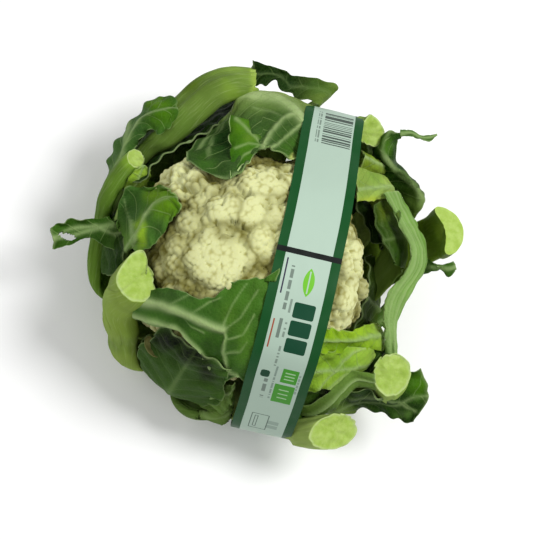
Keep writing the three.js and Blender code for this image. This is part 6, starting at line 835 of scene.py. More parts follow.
# per loft: out/inn blade colours, rod colour, vein colour, ruffle (mm), laterals spacing, cut plane
# the colour patches of each loft, given as (image x, y, x radius, y radius, colour, weight), are partly the leaf's own
# tone and partly painted shade and painted highlight
O = {
    # A1: the lighter patch along the top at (230, 78) is a painted highlight on the lit upper side; the darker patches
    # at (180, 128) and (160, 146) are painted shade on the lower side
    "A1": dict(kind="rod", rod=(96, 120, 66), jag=8.0, facet=0.5,
               tone_shade_light_spots=((197, 95, 12, 8, (78, 100, 20), .75), (230, 78, 32, 9, (122, 148, 82), .75), (252, 84, 5, 16, (150, 172, 96), .8), (180, 128, 24, 14, (84, 112, 54), .6), (235, 98, 14, 6, (118, 146, 60), .5), (160, 146, 14, 10, (98, 126, 72), .5))),
    "A2": dict(out=(56, 92, 50), inn=BRIGHT, rod=PET, ruffle=1.4,
               tone_shade_light_spots=((162, 114, 17, 19, (66, 108, 10), .95), (155, 104, 12, 6, (96, 136, 36), .6), (122, 150, 14, 18, (58, 96, 44), .5)),
               lines=((1.8, .8, .5, [(131, 122), (126, 140), (123, 160)]),)),
    "A3": dict(kind="rod", rod=(90, 120, 52), cut=((137, 160, 106), (0.35, 0.35, 0.87)), tone_shade_light_spots=((136, 162, 10, 10, (140, 176, 72), .7), (108, 205, 10, 16, (76, 104, 46), .5))),
    "A4": dict(slit=((67, 236), 10, 4.6), out=(42, 72, 26), inn=(46, 80, 24), rod=(96, 126, 50), ruffle=1.6, tone_shade_light_spots=((62, 228, 12, 8, (62, 104, 34), .6), (112, 240, 12, 16, (60, 92, 44), .5)),
               lines=((2.0, .9, .8, [(50, 240), (70, 229), (95, 226), (118, 236), (128, 262)]), (1.5, .7, .4, [(118, 222), (126, 240), (130, 264)]))),
    "A5": dict(out=(62, 100, 46), inn=(60, 100, 44), rod=PET, ruffle=1.8,
               tone_shade_light_spots=((168, 203, 17, 19, (92, 132, 24), .95), (154, 196, 10, 8, (112, 148, 40), .7), (128, 208, 12, 20, (44, 76, 40), .75), (142, 234, 5, 16, (142, 176, 56), .9), (160, 235, 8, 12, (58, 92, 44), .7)),
               lines=((1.8, .8, .8, [(172, 198), (155, 205), (145, 215), (136, 240), (131, 262)]), (1.3, .7, .4, [(124, 200), (133, 222), (134, 250)]))),
    "A6": dict(out=(122, 152, 52), inn=(110, 140, 50), rod=PET, ruffle=1.6, tone_shade_light_spots=((140, 172, 8, 6, (150, 180, 80), .8), (134, 184, 8, 6, (84, 112, 36), .7))),
    "E1": dict(kind="rod", rod=(130, 152, 82), cut=((146, 268, 132), (-0.10, 0.05, 0.99)), tone_shade_light_spots=((112, 305, 10, 16, (128, 152, 84), .6), (120, 342, 18, 8, (88, 112, 50), .6), (134, 330, 8, 20, (126, 152, 84), .4))),
    "E2": dict(push=((143, 303, 17, -11, 0), (156, 322, 14, -2, 8)), out=(58, 96, 40), inn=(64, 104, 34), rod=PET, ruffle=0.9, ribs=(), lat=0,
               tone_shade_light_spots=((170, 297, 24, 9, (58, 88, 50), .8), (190, 318, 24, 10, (50, 86, 36), .8), (215, 345, 14, 16, (46, 78, 32), .8), (240, 300, 20, 20, (66, 108, 36), .7), (262, 285, 12, 12, (74, 112, 48), .6), (245, 345, 10, 22, (78, 118, 46), .7), (230, 318, 8, 12, (84, 122, 52), .5)),
               lines=((3.6, .95, 2.6, [(146, 299), (164, 303), (180, 311), (198, 319), (215, 327), (223, 329)]), (2.4, .85, 1.4, [(145, 312), (160, 316), (175, 326), (190, 341), (203, 357), (212, 366)]),
                      (1.7, .8, .8, [(224, 329), (226, 338), (223, 350), (228, 366), (238, 378)]), (1.2, .6, .3, [(222, 328), (232, 305), (246, 284)]), (1.2, .55, .3, [(224, 330), (240, 318), (258, 290)]), (1.1, .5, .3, [(226, 340), (243, 335), (254, 315)]),
                      (1.1, .5, .3, [(225, 352), (240, 352), (247, 342)]), (1.1, .5, .2, [(170, 305), (186, 296), (200, 292)]), (1.1, .5, .2, [(190, 315), (208, 303), (220, 298)]), (1.1, .5, .2, [(180, 312), (192, 326), (204, 332)]))),
    # E3: the near-black patches at (178, 350), (198, 366) and (160, 344) are painted shadow
    "E3": dict(latk=0.4, pale=0.1, out=(78, 104, 58), inn=(78, 104, 58), rod=(84, 110, 60), ruffle=0.8, lat=15, tone_shade_light_spots=((178, 350, 26, 9, (14, 22, 4), .92), (198, 366, 10, 10, (20, 32, 8), .8), (160, 344, 14, 8, (40, 56, 10), .7), (195, 388, 18, 12, (66, 98, 54), .5), (218, 415, 12, 8, (96, 122, 66), .5)),
               lines=((1.3, .7, .3, [(172, 352), (190, 372), (206, 396)]), (1.2, .6, .3, [(150, 352), (172, 380), (200, 400)]))),
    "E3b": dict(out=(96, 124, 74), inn=(96, 124, 74), rod=PET, ruffle=0.8, lat=9),
    "D1a": dict(out=(132, 168, 34), inn=(132, 164, 40), rod=PALE, ruffle=1.2, tone_shade_light_spots=((350, 332, 16, 7, (150, 184, 56), .6), (340, 346, 20, 6, (88, 124, 22), .7))),
    "D1b": dict(out=(130, 166, 58), inn=(130, 162, 60), rod=PALE, ruffle=1.6, tone_shade_light_spots=((345, 368, 12, 8, (100, 138, 40), .6), (362, 350, 10, 6, (160, 188, 96), .6), (325, 380, 10, 8, (150, 180, 84), .5)),
                lines=((1.7, .7, 1.2, [(318, 388), (335, 370), (352, 352), (366, 347)]), (1.5, .6, .9, [(328, 388), (342, 376), (358, 366)]))),
    "C4": dict(out=(146, 172, 104), inn=(138, 168, 90), rod=PALE, ruffle=0.6, tone_shade_light_spots=((368, 200, 14, 5, (176, 190, 84), .8), (375, 178, 8, 8, (110, 144, 74), .5))),
    "C6": dict(pale=0.05, latk=0.3, out=(36, 62, 8), inn=(46, 70, 8), rod=PET, ruffle=1.2, ribs=((0.0, 0.3, -1, 1),), rimw=0.15, tone_shade_light_spots=((384, 212, 8, 10, (88, 104, 18), .7), (396, 250, 8, 14, (40, 72, 14), .6)), lines=((1.1, .12, .1, [(377, 206), (384, 228), (391, 250), (394, 262)]),)),
    "D2": dict(kind="rod", rod=(150, 174, 112), cut3=((391, 346, 106), (372, 372, 100), (409, 376, 99))),
    "C5": dict(out=(108, 146, 86), inn=(104, 140, 80), rod=(118, 152, 92), ruffle=0.4, ribs=((-0.8, 0.6, -1, 1), (-0.45, 0.8, -1, 1), (-0.1, 0.6, -1, 1), (0.25, 0.9, -1, 1), (0.6, 0.6, -1, 1)), lat=0, slit=((396.5, 219), 4.2, 9.0), tone_shade_light_spots=((382, 222, 8, 18, (34, 62, 8), .95), (390, 246, 8, 18, (34, 62, 8), .95), (398, 268, 7, 14, (44, 74, 16), .9))),
    "C3": dict(out=(118, 140, 50), inn=(100, 124, 44), rod=PALE, ruffle=0.6),
    "D5": dict(out=(92, 120, 66), inn=(84, 112, 60), rod=(96, 122, 66), pale=0.1, ruffle=0.5, lat=0),
    "D3": dict(pale=0.08, latk=0.6, out=(30, 58, 10), inn=(38, 70, 4), rod=PET, ribs=((0.0, 0.5, -1, 1),), ruffle=1.6, tone_shade_light_spots=((419, 385, 12, 14, (66, 110, 16), .9), (365, 402, 24, 8, (24, 48, 6), .8), (404, 413, 12, 5, (96, 130, 80), .5)),
               lines=((1.5, .4, .5, [(350, 398), (375, 396), (400, 402), (416, 412)]),)),
    "D4": dict(kind="rod", rod=(150, 170, 122), cut3=((330, 412, 88), (352, 430, 76), (330, 448, 74)), tone_shade_light_spots=((300, 418, 24, 6, (168, 186, 142), .6),)),
    "C2": dict(pale=0.05, out=(28, 58, 8), inn=(22, 48, 4), rod=PET, ribs=((0.0, 0.5, -1, 1),), ruffle=1.0, tone_shade_light_spots=((384, 145, 8, 10, (70, 112, 34), .7), (402, 178, 10, 12, (34, 62, 20), .7)),
               lines=((1.7, .45, .8, [(378, 146), (386, 158), (396, 172), (416, 188), (422, 200)]),)),
    "C2t": dict(out=(58, 94, 44), inn=(58, 94, 44), rod=PET, ruffle=0.5, lat=0),
    # C7: the olive patch at (428, 226) is painted shade on the stalk's inner side
    "C7": dict(kind="rod", flat=True, rod=(108, 134, 50), cut=((446, 232, 99), (0.3, 0.1, 0.95)), tone_shade_light_spots=((428, 226, 10, 20, (84, 104, 24), .8), (448, 222, 6, 22, (152, 178, 84), .7))),
    "C8": dict(out=(56, 94, 34), inn=(56, 94, 34), rod=(80, 110, 60), ruffle=0.8, lat=0),
    "C1": dict(kind="rod", rod=(112, 140, 78), cut3=((376, 112, 118), (365, 132, 112), (384, 140, 106)), tone_shade_light_spots=((364, 130, 6, 16, (96, 120, 76), .6),)),
    "DRY": dict(kind="rod", rod=(96, 88, 44), cut=((158, 336, 90), (0.1, 0.1, 0.98)), dry=1.0),
    "B2": dict(pale=0.05, out=(24, 48, 10), inn=(28, 56, 12), rod=PET, latk=0.4, ribs=((0.0, 0.22, -1, 1),), rimw=0.2, ruffle=1.8, off_band=True, tone_shade_light_spots=((320, 88, 14, 8, (44, 80, 28), .5), (285, 84, 12, 8, (28, 52, 24), .6))),
    # B1: the near-black patch at (222, 138) is painted shadow under the stub A1
    "B1": dict(pale=0.25, out=(52, 80, 44), inn=(60, 100, 24), push=((208, 145, 20, -15, 2), (200, 165, 16, -8, -4), (246, 104, 14, -7, -5)), rod=PALE, ruffle=1.4, lat=11, ribs=(),
               tone_shade_light_spots=((222, 138, 13, 24, (24, 56, 20), .95), (206, 164, 10, 12, (54, 92, 36), .9), (276, 122, 16, 14, (58, 86, 48), .85), (290, 146, 14, 14, (62, 100, 40), .8), (272, 106, 30, 6, (92, 118, 74), .85), (268, 134, 10, 8, (56, 88, 44), .7), (284, 162, 14, 5, (120, 150, 80), .5), (291, 156, 3, 3, (214, 222, 164), .9)),
               lines=((4.6, .9, 3.4, [(246, 101), (262, 99), (278, 102), (292, 108), (302, 120)]), (2.6, .85, 1.8, [(296, 114), (284, 118), (272, 132), (263, 147)]), (1.8, .8, 1.0, [(302, 124), (290, 134), (276, 146), (266, 150)]),
                      (1.3, .7, .4, [(263, 147), (276, 156), (290, 162)]), (1.2, .6, .3, [(284, 118), (270, 112), (256, 110)]), (1.2, .6, .3, [(240, 104), (226, 122), (212, 150)]), (1.1, .6, .3, [(232, 115), (222, 135), (218, 160)]))),
    "B1f": dict(out=(62, 108, 14), inn=(60, 104, 18), rod=PALE, ruffle=1.3, lat=0, ribs=(), rimw=1.0,
                tone_shade_light_spots=((240, 126, 10, 8, (84, 130, 26), .8), (250, 138, 8, 6, (96, 132, 46), .7), (236, 164, 6, 12, (44, 92, 16), .8)),
                lines=((1.8, .85, .8, [(236, 120), (250, 132), (263, 146)]), (1.3, .7, .5, [(262, 146), (248, 144), (236, 150)]), (1.1, .7, .3, [(258, 146), (244, 156), (236, 168)]))),
    # W1 to W6 are dark sheets filling the shaded gaps round the curd: painted shade; dark=1 darkens them further out
    "W1": dict(out=(38, 68, 28), inn=(44, 76, 26), push=((215, 140, 22, 12, 2),), rod=PET, ruffle=1.6, dark=1),
    "W2": dict(out=(44, 74, 30), inn=(46, 76, 26), rod=(96, 124, 62), ruffle=1.6, dark=1),
    # W3: the black and near-black patches at (172, 340), (194, 355) and (206, 370) are painted shadow in the gap below
    # the leaves
    "W3": dict(pale=0.1, latk=0.35, out=(56, 84, 42), inn=(56, 84, 42), rod=(84, 110, 58), ruffle=1.4, ribs=((0.0, 0.3, -1, 1),), tone_shade_light_spots=((172, 340, 24, 11, (5, 9, 1), 1.0), (194, 355, 19, 11, (5, 9, 1), 1.0), (206, 370, 9, 10, (14, 22, 4), .9))),
    "W4": dict(out=(62, 98, 34), inn=(66, 100, 34), rod=PET, ruffle=1.4, dark=1),
    "W5": dict(out=(66, 92, 26), inn=(66, 92, 26), rod=PET, ruffle=1.4, dark=1),
    "W6": dict(out=(44, 72, 28), inn=(52, 82, 28), rod=PET, ruffle=1.6, dark=1),
}
HIDDEN = {"E2": 0, "C5": 0, "C2t": 0, "E3b": 0, "B1f": 0, "W1": 4, "W2": 4, "W3": 4, "W4": 4, "W5": 4, "W6": 4}

# camera basis, used to read cut planes given as image point + height above the floor
CB = np.array([-0.164, -0.243, 0.956]); CB /= np.linalg.norm(CB)
CU = np.array([0, 1.0, 0]); CU = CU - CU @ CB * CB; CU /= np.linalg.norm(CU)
CR = np.cross(CU, CB)
FPX, CDIST = 1170.0, 842.0
CO = HC + CR * 14.4 - CU * 3.6
CAM = CO + CB * CDIST


def at_z(px, py, z):
    d = CR * ((px - 270) / FPX) + CU * ((270 - py) / FPX) - CB
    return CAM + d * ((z - CAM[2]) / d[2])


def image_xy(P):
    """where a point lies in the main view, on a 540 by 540 grid"""
    d = P - CAM
    z = -(d @ CB)
    return 270 + FPX * (d @ CR) / z, 270 - FPX * (d @ CU) / z


def line_dist(x, y, pts):
    best = np.full(x.shape, 1e9)
    for (x0, y0), (x1, y1) in zip(pts[:-1], pts[1:]):
        dx, dy = x1 - x0, y1 - y0
        t = np.clip(((x - x0) * dx + (y - y0) * dy) / (dx * dx + dy * dy), 0, 1)
        best = np.minimum(best, np.hypot(x - x0 - t * dx, y - y0 - t * dy))
    return best


def build_loft(key, o):
    A = np.array(LOFTS[key], float)
    n, K, _ = A.shape
    nb = HIDDEN.get(key, 5)
    rod_kind = o.get("kind") == "rod"
    seed = sum(ord(c) * (i + 3) for i, c in enumerate(key))
    if rod_kind and not o.get("jag"):
        e = A[-1:].copy()
        step = (A[-1, :, :3].mean(0) - A[-2, :, :3].mean(0))
        e[0, :, :3] += step / np.linalg.norm(step) * 16
        A = np.concatenate([A, e])
        n += 1
    seg = np.linalg.norm(np.diff(A[:, :, :3], axis=0), axis=2).mean(1)
    t0 = np.r_[0, np.cumsum(np.maximum(seg, 1.0))]
    L = t0[-1]
    ns = int(L / DS) + 2
    ts = np.linspace(0, L, ns)
    B = spline(A, t0, ts)
    widths = np.linalg.norm(np.diff(B[:, :, :3], axis=1), axis=2).sum(1)
    nv = max(15, int(np.percentile(widths, 90) / DV))
    th = np.linspace(-math.pi / 2, math.pi / 2, nv)
    v = 0.5 * np.sin(th) + 0.5 * np.linspace(-1, 1, nv)
    v[nv // 2] = 0 if nv % 2 else v[nv // 2]
    G = np.swapaxes(spline(np.swapaxes(B, 0, 1), np.linspace(-1, 1, K), v), 0, 1)
    P, tk = G[:, :, :3].copy(), G[:, :, 3]
    if rod_kind:
        rod0 = np.ones(n)
    else:
        rod0 = np.zeros(n)
        rod0[:nb] = 1
        if nb:
            rod0[nb - 1] = 0.9
            rod0[nb] = 0.45
            if n > nb + 1:
                rod0[nb + 1] = 0.1
    rodness = np.interp(ts, t0, rod0)[:, None] * np.ones(nv)
    S = ts[:, None] * np.ones(nv)
    dv_ = np.linalg.norm(np.diff(P, axis=1), axis=2)
    V = np.concatenate([np.zeros((ns, 1)), np.cumsum(dv_, axis=1)], axis=1)
    mid = np.array([np.interp(0, v, V[i]) for i in range(ns)])[:, None]
    V = V - mid
    vv = v[None, :] * np.ones((ns, 1))
    if nb:
        Svis = S - t0[nb - 1]
    else:
        Svis = S
    f = S / L

    def normals(P):
        a = np.gradient(P, axis=0)
        c = np.gradient(P, axis=1)
        N = np.cross(c, a)
        return N / (np.linalg.norm(N, axis=2, keepdims=True) + 1e-12)

    N = normals(P)
    blade = (1 - rodness)
    edge = sstep(0.5, 1.0, np.abs(vv))
    tipd = sstep(0.9, 1.0, f)
    # ragged margin
    rowdir = np.gradient(P, axis=1); rowdir /= np.linalg.norm(rowdir, axis=2, keepdims=True) + 1e-12
    ser = 1.1 * noise(np.stack([S, vv * 50, 0 * S], -1), 6.5, seed) + 0.55 * noise(np.stack([S, vv * 50, 0 * S], -1), 2.6, seed + 5)
    P = P + rowdir * (np.sign(vv) * ser * edge ** 3 * blade)[..., None]
    coldir = np.gradient(P, axis=0); coldir /= np.linalg.norm(coldir, axis=2, keepdims=True) + 1e-12
    if o.get("jag"):
        tri = lambda x: 1 - 2 * np.abs((x % 1.0) - 0.5)
        teeth = 0.6 * tri(V / 5.3) ** 1.5 + 0.35 * tri(V / 2.9 + 0.3) + 0.5 * noise(np.stack([0 * S, V, 0 * S], -1), 7.0, seed + 9)
        P = P + coldir * (o["jag"] * (teeth - 0.5) * sstep(0.90, 1, f))[..., None]
    elif not rod_kind:
        P = P + coldir * (1.3 * noise(np.stack([0 * S, V, 0 * S + 7], -1), 4.5, seed + 9) * tipd)[..., None]
    # ruffles, puckers and unevenness
    ra = o.get("ruffle", 1.0)
    ph = seed * 0.7
    wave = np.sin(2 * np.pi * S / 15.0 + ph + 1.2 * noise(np.stack([S, 0 * S, vv], -1), 18, seed)) * edge
    wave += 0.7 * np.sin(2 * np.pi * V / 13.0 + ph * 2) * sstep(0.82, 1, f)
    disp = ra * wave * blade
    disp += 1.2 * noise(P, 21, seed + 1) * blade + 0.8 * noise(P, 9, seed + 2) * blade + 0.22 * noise(P, 4, seed + 12) * blade
    disp += (0.6 * noise(P, 26, seed + 3) + 0.22 * noise(P, 6, seed + 4)) * rodness
    if rod_kind:
        disp += 0.11 * np.cos(vv * 17 + 0.8 * noise(P, 20, seed + 14)) * np.sqrt(np.clip(1 - vv * vv, 0, 1))
    # side veins
    lat = o.get("lat", 13)
    q1, q2, pucker = np.zeros_like(S) + 0.02, np.zeros_like(S) + 0.02, np.zeros_like(S)
    vein = np.zeros_like(S)
    latw = 0.0
    if lat:
        latw = o.get("latk", 0.45 if o.get("dark") else 1.0)
        q1 = (S - 0.85 * np.abs(V) + 0.006 * V * V + np.where(V < 0, lat * 0.43, 0) + 2.0 * noise(np.stack([S, V, 0 * S], -1), 16, seed + 6)) / lat
        pucker = np.cos(2 * np.pi * (q1 % 1)) * blade * sstep(0.03, 0.3, np.abs(vv))
        q2 = (S + 0.5 * np.abs(V) + 1.5 * noise(np.stack([S, V, 0 * S + 3], -1), 9, seed + 8)) / 5.2
    ribs = o.get("ribs", ((0.0, 1.0, -1, 1),))
    rib = np.zeros_like(S)
    tm = np.maximum(0.6, tk[:, nv // 2] - 2.4)[:, None] * np.ones(nv)
    for v0, st_, s0, s1 in ribs:
        Vr = np.array([np.interp(v0, v, V[i]) for i in range(ns)])[:, None]
        d = V - Vr
        wr = 1.0 + 0.32 * tm
        g = st_ * np.exp(-(d / wr) ** 2)
        if s1 < 1:
            g = g * (1 - sstep(s1, s1 + 0.08, f))
        rib = np.maximum(rib, g)
    ix, iy = image_xy(P)
    lc = np.zeros_like(S)
    for wpx, st_, hh, pts in o.get("lines", ()):
        d = line_dist(ix, iy, pts) + 0.35 * noise(np.stack([ix, iy, 0 * ix], -1), 7, seed + 40)
        g = np.exp(-(np.maximum(d, 0) / wpx) ** 2) * (rodness < 0.6)
        rib = np.maximum(rib, g * st_)
        lc = np.maximum(lc, g * hh)
    if o.get("cross"):
        d = Svis - (t0[min(nb, n - 1)] - t0[max(nb - 1, 0)]) - 2.5
        g = np.exp(-(d / 3.2) ** 2) * (1 - sstep(0.25, 0.5, vv))
        rib = np.maximum(rib, g)
        tm = np.maximum(tm, 5.5 * g)
    disp += 0.6 * pucker
    for px_, py_, pr_, dx_, dy_ in o.get("push", ()):
        # the torn margins reach a little further than the plain sheet
        g = np.exp(-((ix - px_) ** 2 + (iy - py_) ** 2) / pr_ ** 2)[..., None] * 0.68
        P = P + g * (CR * dx_ - CU * dy_)
    P = P + N * disp[..., None]
    P = keep_off_curd(P, 0.7)
    if o.get("off_band"):
        P = keep_off_band(P, 2.0)
    elif key in ("E2",):
        w_, a_, b_, rho_, lim_ = band_coords(P)
        over = (P[..., 1] > OVER_Y) & (w_ > -24)
        P = np.where(over[..., None], keep_off_band(P, 0.7), keep_in_band(P, 0.7))
    elif key in ("E3b",):
        P = keep_off_band(P, 0.8)
    else:
        P = keep_in_band(P, 1.0)
    N = normals(P)
    # thickness to the outer and inner side
    tc = tk[:, nv // 2][:, None]
    rod_t = tc * np.sqrt(np.clip(1 - vv * vv, 0, 1)) + 0.12
    ribt = tm * rib
    bl_t = 1.05 - 0.55 * edge ** 2
    if o.get("lines"):
        ribt = np.minimum(ribt, 0.4) + lc
    if o.get("facet"):
        rod_t = rod_t * (1 - 0.10 * np.cos(vv * 7.0)) + o["facet"] * 0.5 * np.exp(-((vv - 0.35) / 0.16) ** 2)
    out_t = rodness * rod_t * 0.5 + blade * (bl_t * 0.5 + ribt * 0.85)
    in_t = rodness * rod_t * 0.5 + blade * (bl_t * 0.5 + ribt * 0.15)
    Po, Pi = P + N * out_t[..., None], P - N * in_t[..., None]
    if not o.get("off_band") and key not in ("E2", "E3b"):
        Po, Pi = keep_in_band(Po, 0.25), keep_in_band(Pi, 0.25)
    # colours
    bo, bi, rc, vc = lin(fresh(o.get("out", PET))), lin(fresh(o.get("inn", PET))), lin(fresh(o["rod"])), lin(o.get("vein", VEIN))
    lc_col = lin((172, 192, 132))
    nlow = noise(P, 17, seed + 20)[..., None]
    nmid = noise(P, 6, seed + 21)[..., None]
    r_ = rodness[..., None]
    veinc = np.clip(np.maximum(vein, rib), 0, 1)[..., None]
    rimm = (sstep(0.975, 0.995, np.abs(vv)) * blade + sstep(0.99, 0.999, f) * blade)[..., None].clip(0, 1)
    base_pale = (1 - sstep(20, 70, S))[..., None] * (nb > 0)
    ix, iy = image_xy(P)
    wob = 3.0 * noise(np.stack([ix, iy, 0 * ix], -1), 9, seed + 41)
    out = []
    for side, bc in ((0, bo), (1, bi)):
        c = bc * (1 + 0.22 * nlow + 0.10 * nmid)
        rr = rc * (1 + 0.10 * nlow + 0.05 * nmid)
        # painted shade: on the outer sheet of a stalk, the half on the vv < 0 side gets darker towards its edge, up to
        # a quarter darker
        rr = rr * (1 - 0.25 * (vv[..., None] < 0) * np.abs(vv[..., None]) * (side == 0))
        c = c * (1 - r_) + rr * r_
        c = c + (vc - c) * veinc * (0.85 if side == 0 else 0.6) * (1 - 0.6 * r_)
        if o.get("lines"):
            k_ = np.clip(lc / 2.2, 0, 1)[..., None] * 0.55
            c = c + (lc_col - c) * k_
        # painted shade: leaves with dark=1 (the wrapper sheets) are darkened to 0.82 of their colour near the stem and
        # to 0.42 further out, as the shaded gaps round the curd
        if o.get("dark"):
            c = c * (1 - r_) * (0.42 + 0.40 * (1 - sstep(35, 70, Svis)))[..., None] + c * r_
        # patches of colour at image points: some are the leaf's own tone, others are painted shade (undersides, gaps,
        # shadows of other leaves) and painted highlight (lit sides)
        for sx, sy, rx, ry, sc, k in o.get("tone_shade_light_spots", ()):
            g = k * np.exp(-(((ix - sx + wob) / rx) ** 2 + ((iy - sy + wob) / ry) ** 2) ** 1.5)
            g = (g * (Svis > -20))[..., None]
            tgt = lin(fresh(sc)) * (1 + 0.12 * nmid)
            c = c + (tgt - c) * g * (1 - veinc * 0.8)
            rr = rr + (tgt - rr) * g
        if rod_kind:
            c = rr
        c = c + (lin((168, 190, 128)) - c) * rimm * o.get("rimw", 0.38)
        c = c + (lin((196, 208, 160)) - c) * base_pale * o.get("pale", 0.55)
        if o.get("dry"):
            c = lin((92, 94, 46)) * (1 + 0.3 * nlow) * np.ones_like(c)
        out.append(np.clip(c, 0.002, 1))
    npt = ns * nv
    VV = np.concatenate([Po.reshape(-1, 3), Pi.reshape(-1, 3)])
    C = np.concatenate([out[0].reshape(-1, 3), out[1].reshape(-1, 3)])
    uv = np.concatenate([np.stack([S, V], -1).reshape(-1, 2)] * 2)
    bl = np.concatenate([blade.ravel()] * 2)
    idx = np.arange(npt).reshape(ns, nv)
    q = np.stack([idx[:-1, :-1], idx[:-1, 1:], idx[1:, 1:], idx[1:, :-1]], -1).reshape(-1, 4)
    qi = q[:, ::-1] + npt
    w0 = np.stack([idx[:-1, 0], idx[1:, 0], idx[1:, 0] + npt, idx[:-1, 0] + npt], -1)
    w1 = np.stack([idx[1:, -1], idx[:-1, -1], idx[:-1, -1] + npt, idx[1:, -1] + npt], -1)
    e0 = np.stack([idx[0, 1:], idx[0, :-1], idx[0, :-1] + npt, idx[0, 1:] + npt], -1)
    e1 = np.stack([idx[-1, :-1], idx[-1, 1:], idx[-1, 1:] + npt, idx[-1, :-1] + npt], -1)
    F = np.concatenate([q, qi, w0, w1, e0, e1])
    if o.get("slit"):
        # an open slit: the cells inside it go from both sheets and its edge gets a wall
        (sx, sy), hx, hy = o["slit"]
        ang = math.radians(14)
        ex = (ix - sx) * math.cos(ang) + (iy - sy) * math.sin(ang)
        ey = -(ix - sx) * math.sin(ang) + (iy - sy) * math.cos(ang)
        inn_ = ((ex / hx) ** 2 + (ey / hy) ** 2 < 1)
        cell = inn_[:-1, :-1] & inn_[1:, :-1] & inn_[1:, 1:] & inn_[:-1, 1:]
        cell[:, 0] = cell[:, -1] = False
        cell[0] = cell[-1] = False
        keep = ~cell.reshape(-1)
        nq = len(q)
        walls = []
        for i_, j_ in zip(*np.where(cell)):
            for (ai, aj), (bi, bj), (ni, nj) in (((i_, j_), (i_, j_ + 1), (i_ - 1, j_)), ((i_, j_ + 1), (i_ + 1, j_ + 1), (i_, j_ + 1)),
                                                 ((i_ + 1, j_ + 1), (i_ + 1, j_), (i_ + 1, j_)), ((i_ + 1, j_), (i_, j_), (i_, j_ - 1))):
                if not cell[ni, nj]:
                    a_, b_ = idx[ai, aj], idx[bi, bj]
                    walls.append([a_, b_, b_ + npt, a_ + npt])
        if walls:
            rest = F[2 * nq:]
            F = np.concatenate([q[keep], qi[keep], np.array(walls), rest])
    mat = np.zeros(len(F), int)
    if rod_kind:
        mat[-len(e1):] = 1
    ob = make_object("tmp_" + key, VV, F, attrs={"blade": bl, "vabs": np.concatenate([np.abs(vv).ravel()] * 2), "q1": np.concatenate([q1.ravel()] * 2), "q2": np.concatenate([q2.ravel()] * 2),
                            "latw": np.full(len(VV), latw), "rim": np.zeros(len(VV)), "dry": np.full(len(VV), float(o.get("dry", 0)))},
                     cols={"Col": C}, uv=uv, mats=(LEAF, FLESH))
    ob.data.polygons.foreach_set("material_index", mat.astype(np.int32))
    if o.get("cut") or o.get("cut3"):
        cut_end(ob, o)
    ob.data.set_sharp_from_angle(angle=math.radians(58))
    return ob


def cut_end(ob, o):
    """slice the stalk off flat and give the cut its own face, with a paler rim"""
    import bmesh
    if o.get("cut3"):
        p0, p1, p2 = (at_z(*q) for q in o["cut3"])
        nv_ = np.cross(p1 - p0, p2 - p0)
        nv_ *= np.sign(nv_ @ (CAM - p0))
        co, no = Vector((p0 + p1 + p2) / 3 * MM), Vector(nv_).normalized()
    else:
        (px, py, z), nrm = o["cut"]
        co = Vector(at_z(px, py, z) * MM)
        no = Vector(nrm).normalized()
    bm = bmesh.new()
    bm.from_mesh(ob.data)
    # only the end of the stalk is cut
    near = [f for f in bm.faces if (f.calc_center_median() - co).length < 0.06]
    geom = set(near)
    for f in near:
        geom.update(f.edges); geom.update(f.verts)
    bmesh.ops.bisect_plane(bm, geom=list(geom), dist=1e-7, plane_co=co, plane_no=no, clear_outer=True)
    edges = [e for e in bm.edges if e.is_boundary]
    rimlay = bm.verts.layers.float.get("rim")
    drylay = bm.verts.layers.float.get("dry")
    dry = float(o.get("dry", 0))
    if edges and not o.get("flat"):
        # walk the rim, then close it with rings of rough flesh
        loop = [edges[0].verts[0], edges[0].verts[1]]
        left = set(edges[1:])
        while True:
            nxt = [e for e in loop[-1].link_edges if e in left]
            if not nxt:
                break
            left.discard(nxt[0])
            v_ = nxt[0].other_vert(loop[-1])
            if v_ is loop[0]:
                break
            loop.append(v_)
        B = np.array([v_.co for v_ in loop]) / MM
        c0 = B.mean(0)
        nn = np.array(no)
        prev = loop
        sd = int(abs(c0[0]) * 7) % 97
        for kk, sc in enumerate((0.965, 0.93, 0.86, 0.78, 0.68, 0.58, 0.47, 0.36, 0.25, 0.14)):
            Q = c0 + (B - c0) * sc
            hgt = 0.35 if kk == 0 else (-0.5 * (1 - sc) + 0.75 * noise(Q, 5.0, sd) + 0.5 * noise(Q, 2.2, sd + 1))
            Q = Q + nn * (np.asarray(hgt) * np.ones(len(Q)))[:, None]
            ring = [bm.verts.new(Vector(q_ * MM)) for q_ in Q]
            for v_ in ring:
                v_[rimlay] = 1.0 if kk == 0 else (0.55 if kk == 1 else 0.0)
                v_[drylay] = dry
            m_ = len(ring)
            for a_ in range(m_):
                f_ = bm.faces.new((prev[a_], prev[(a_ + 1) % m_], ring[(a_ + 1) % m_], ring[a_]))
                f_.material_index = 1
                f_.smooth = True
            prev = ring
        ctr = bm.verts.new(Vector((c0 - nn * 0.4) * MM))
        for a_ in range(len(prev)):
            f_ = bm.faces.new((prev[a_], prev[(a_ + 1) % len(prev)], ctr))
            f_.material_index = 1
            f_.smooth = True
    elif edges:
        r = bmesh.ops.edgeloop_fill(bm, edges=edges)
        for f in r["faces"]:
            f.material_index = 1
            f.smooth = False
        bmesh.ops.triangulate(bm, faces=[f for f in r["faces"] if len(f.verts) > 4])
    bmesh.ops.recalc_face_normals(bm, faces=bm.faces)
    bm.to_mesh(ob.data)
    bm.free()
    ob.data.update()


def join(name, obs):
    for o_ in bpy.context.selected_objects:
        o_.select_set(False)
    for o_ in obs:
        o_.select_set(True)
    bpy.context.view_layer.objects.active = obs[0]
    if len(obs) > 1:
        bpy.ops.object.join()
    ob = obs[0]
    ob.name = name
    ob.data.name = name
    return ob


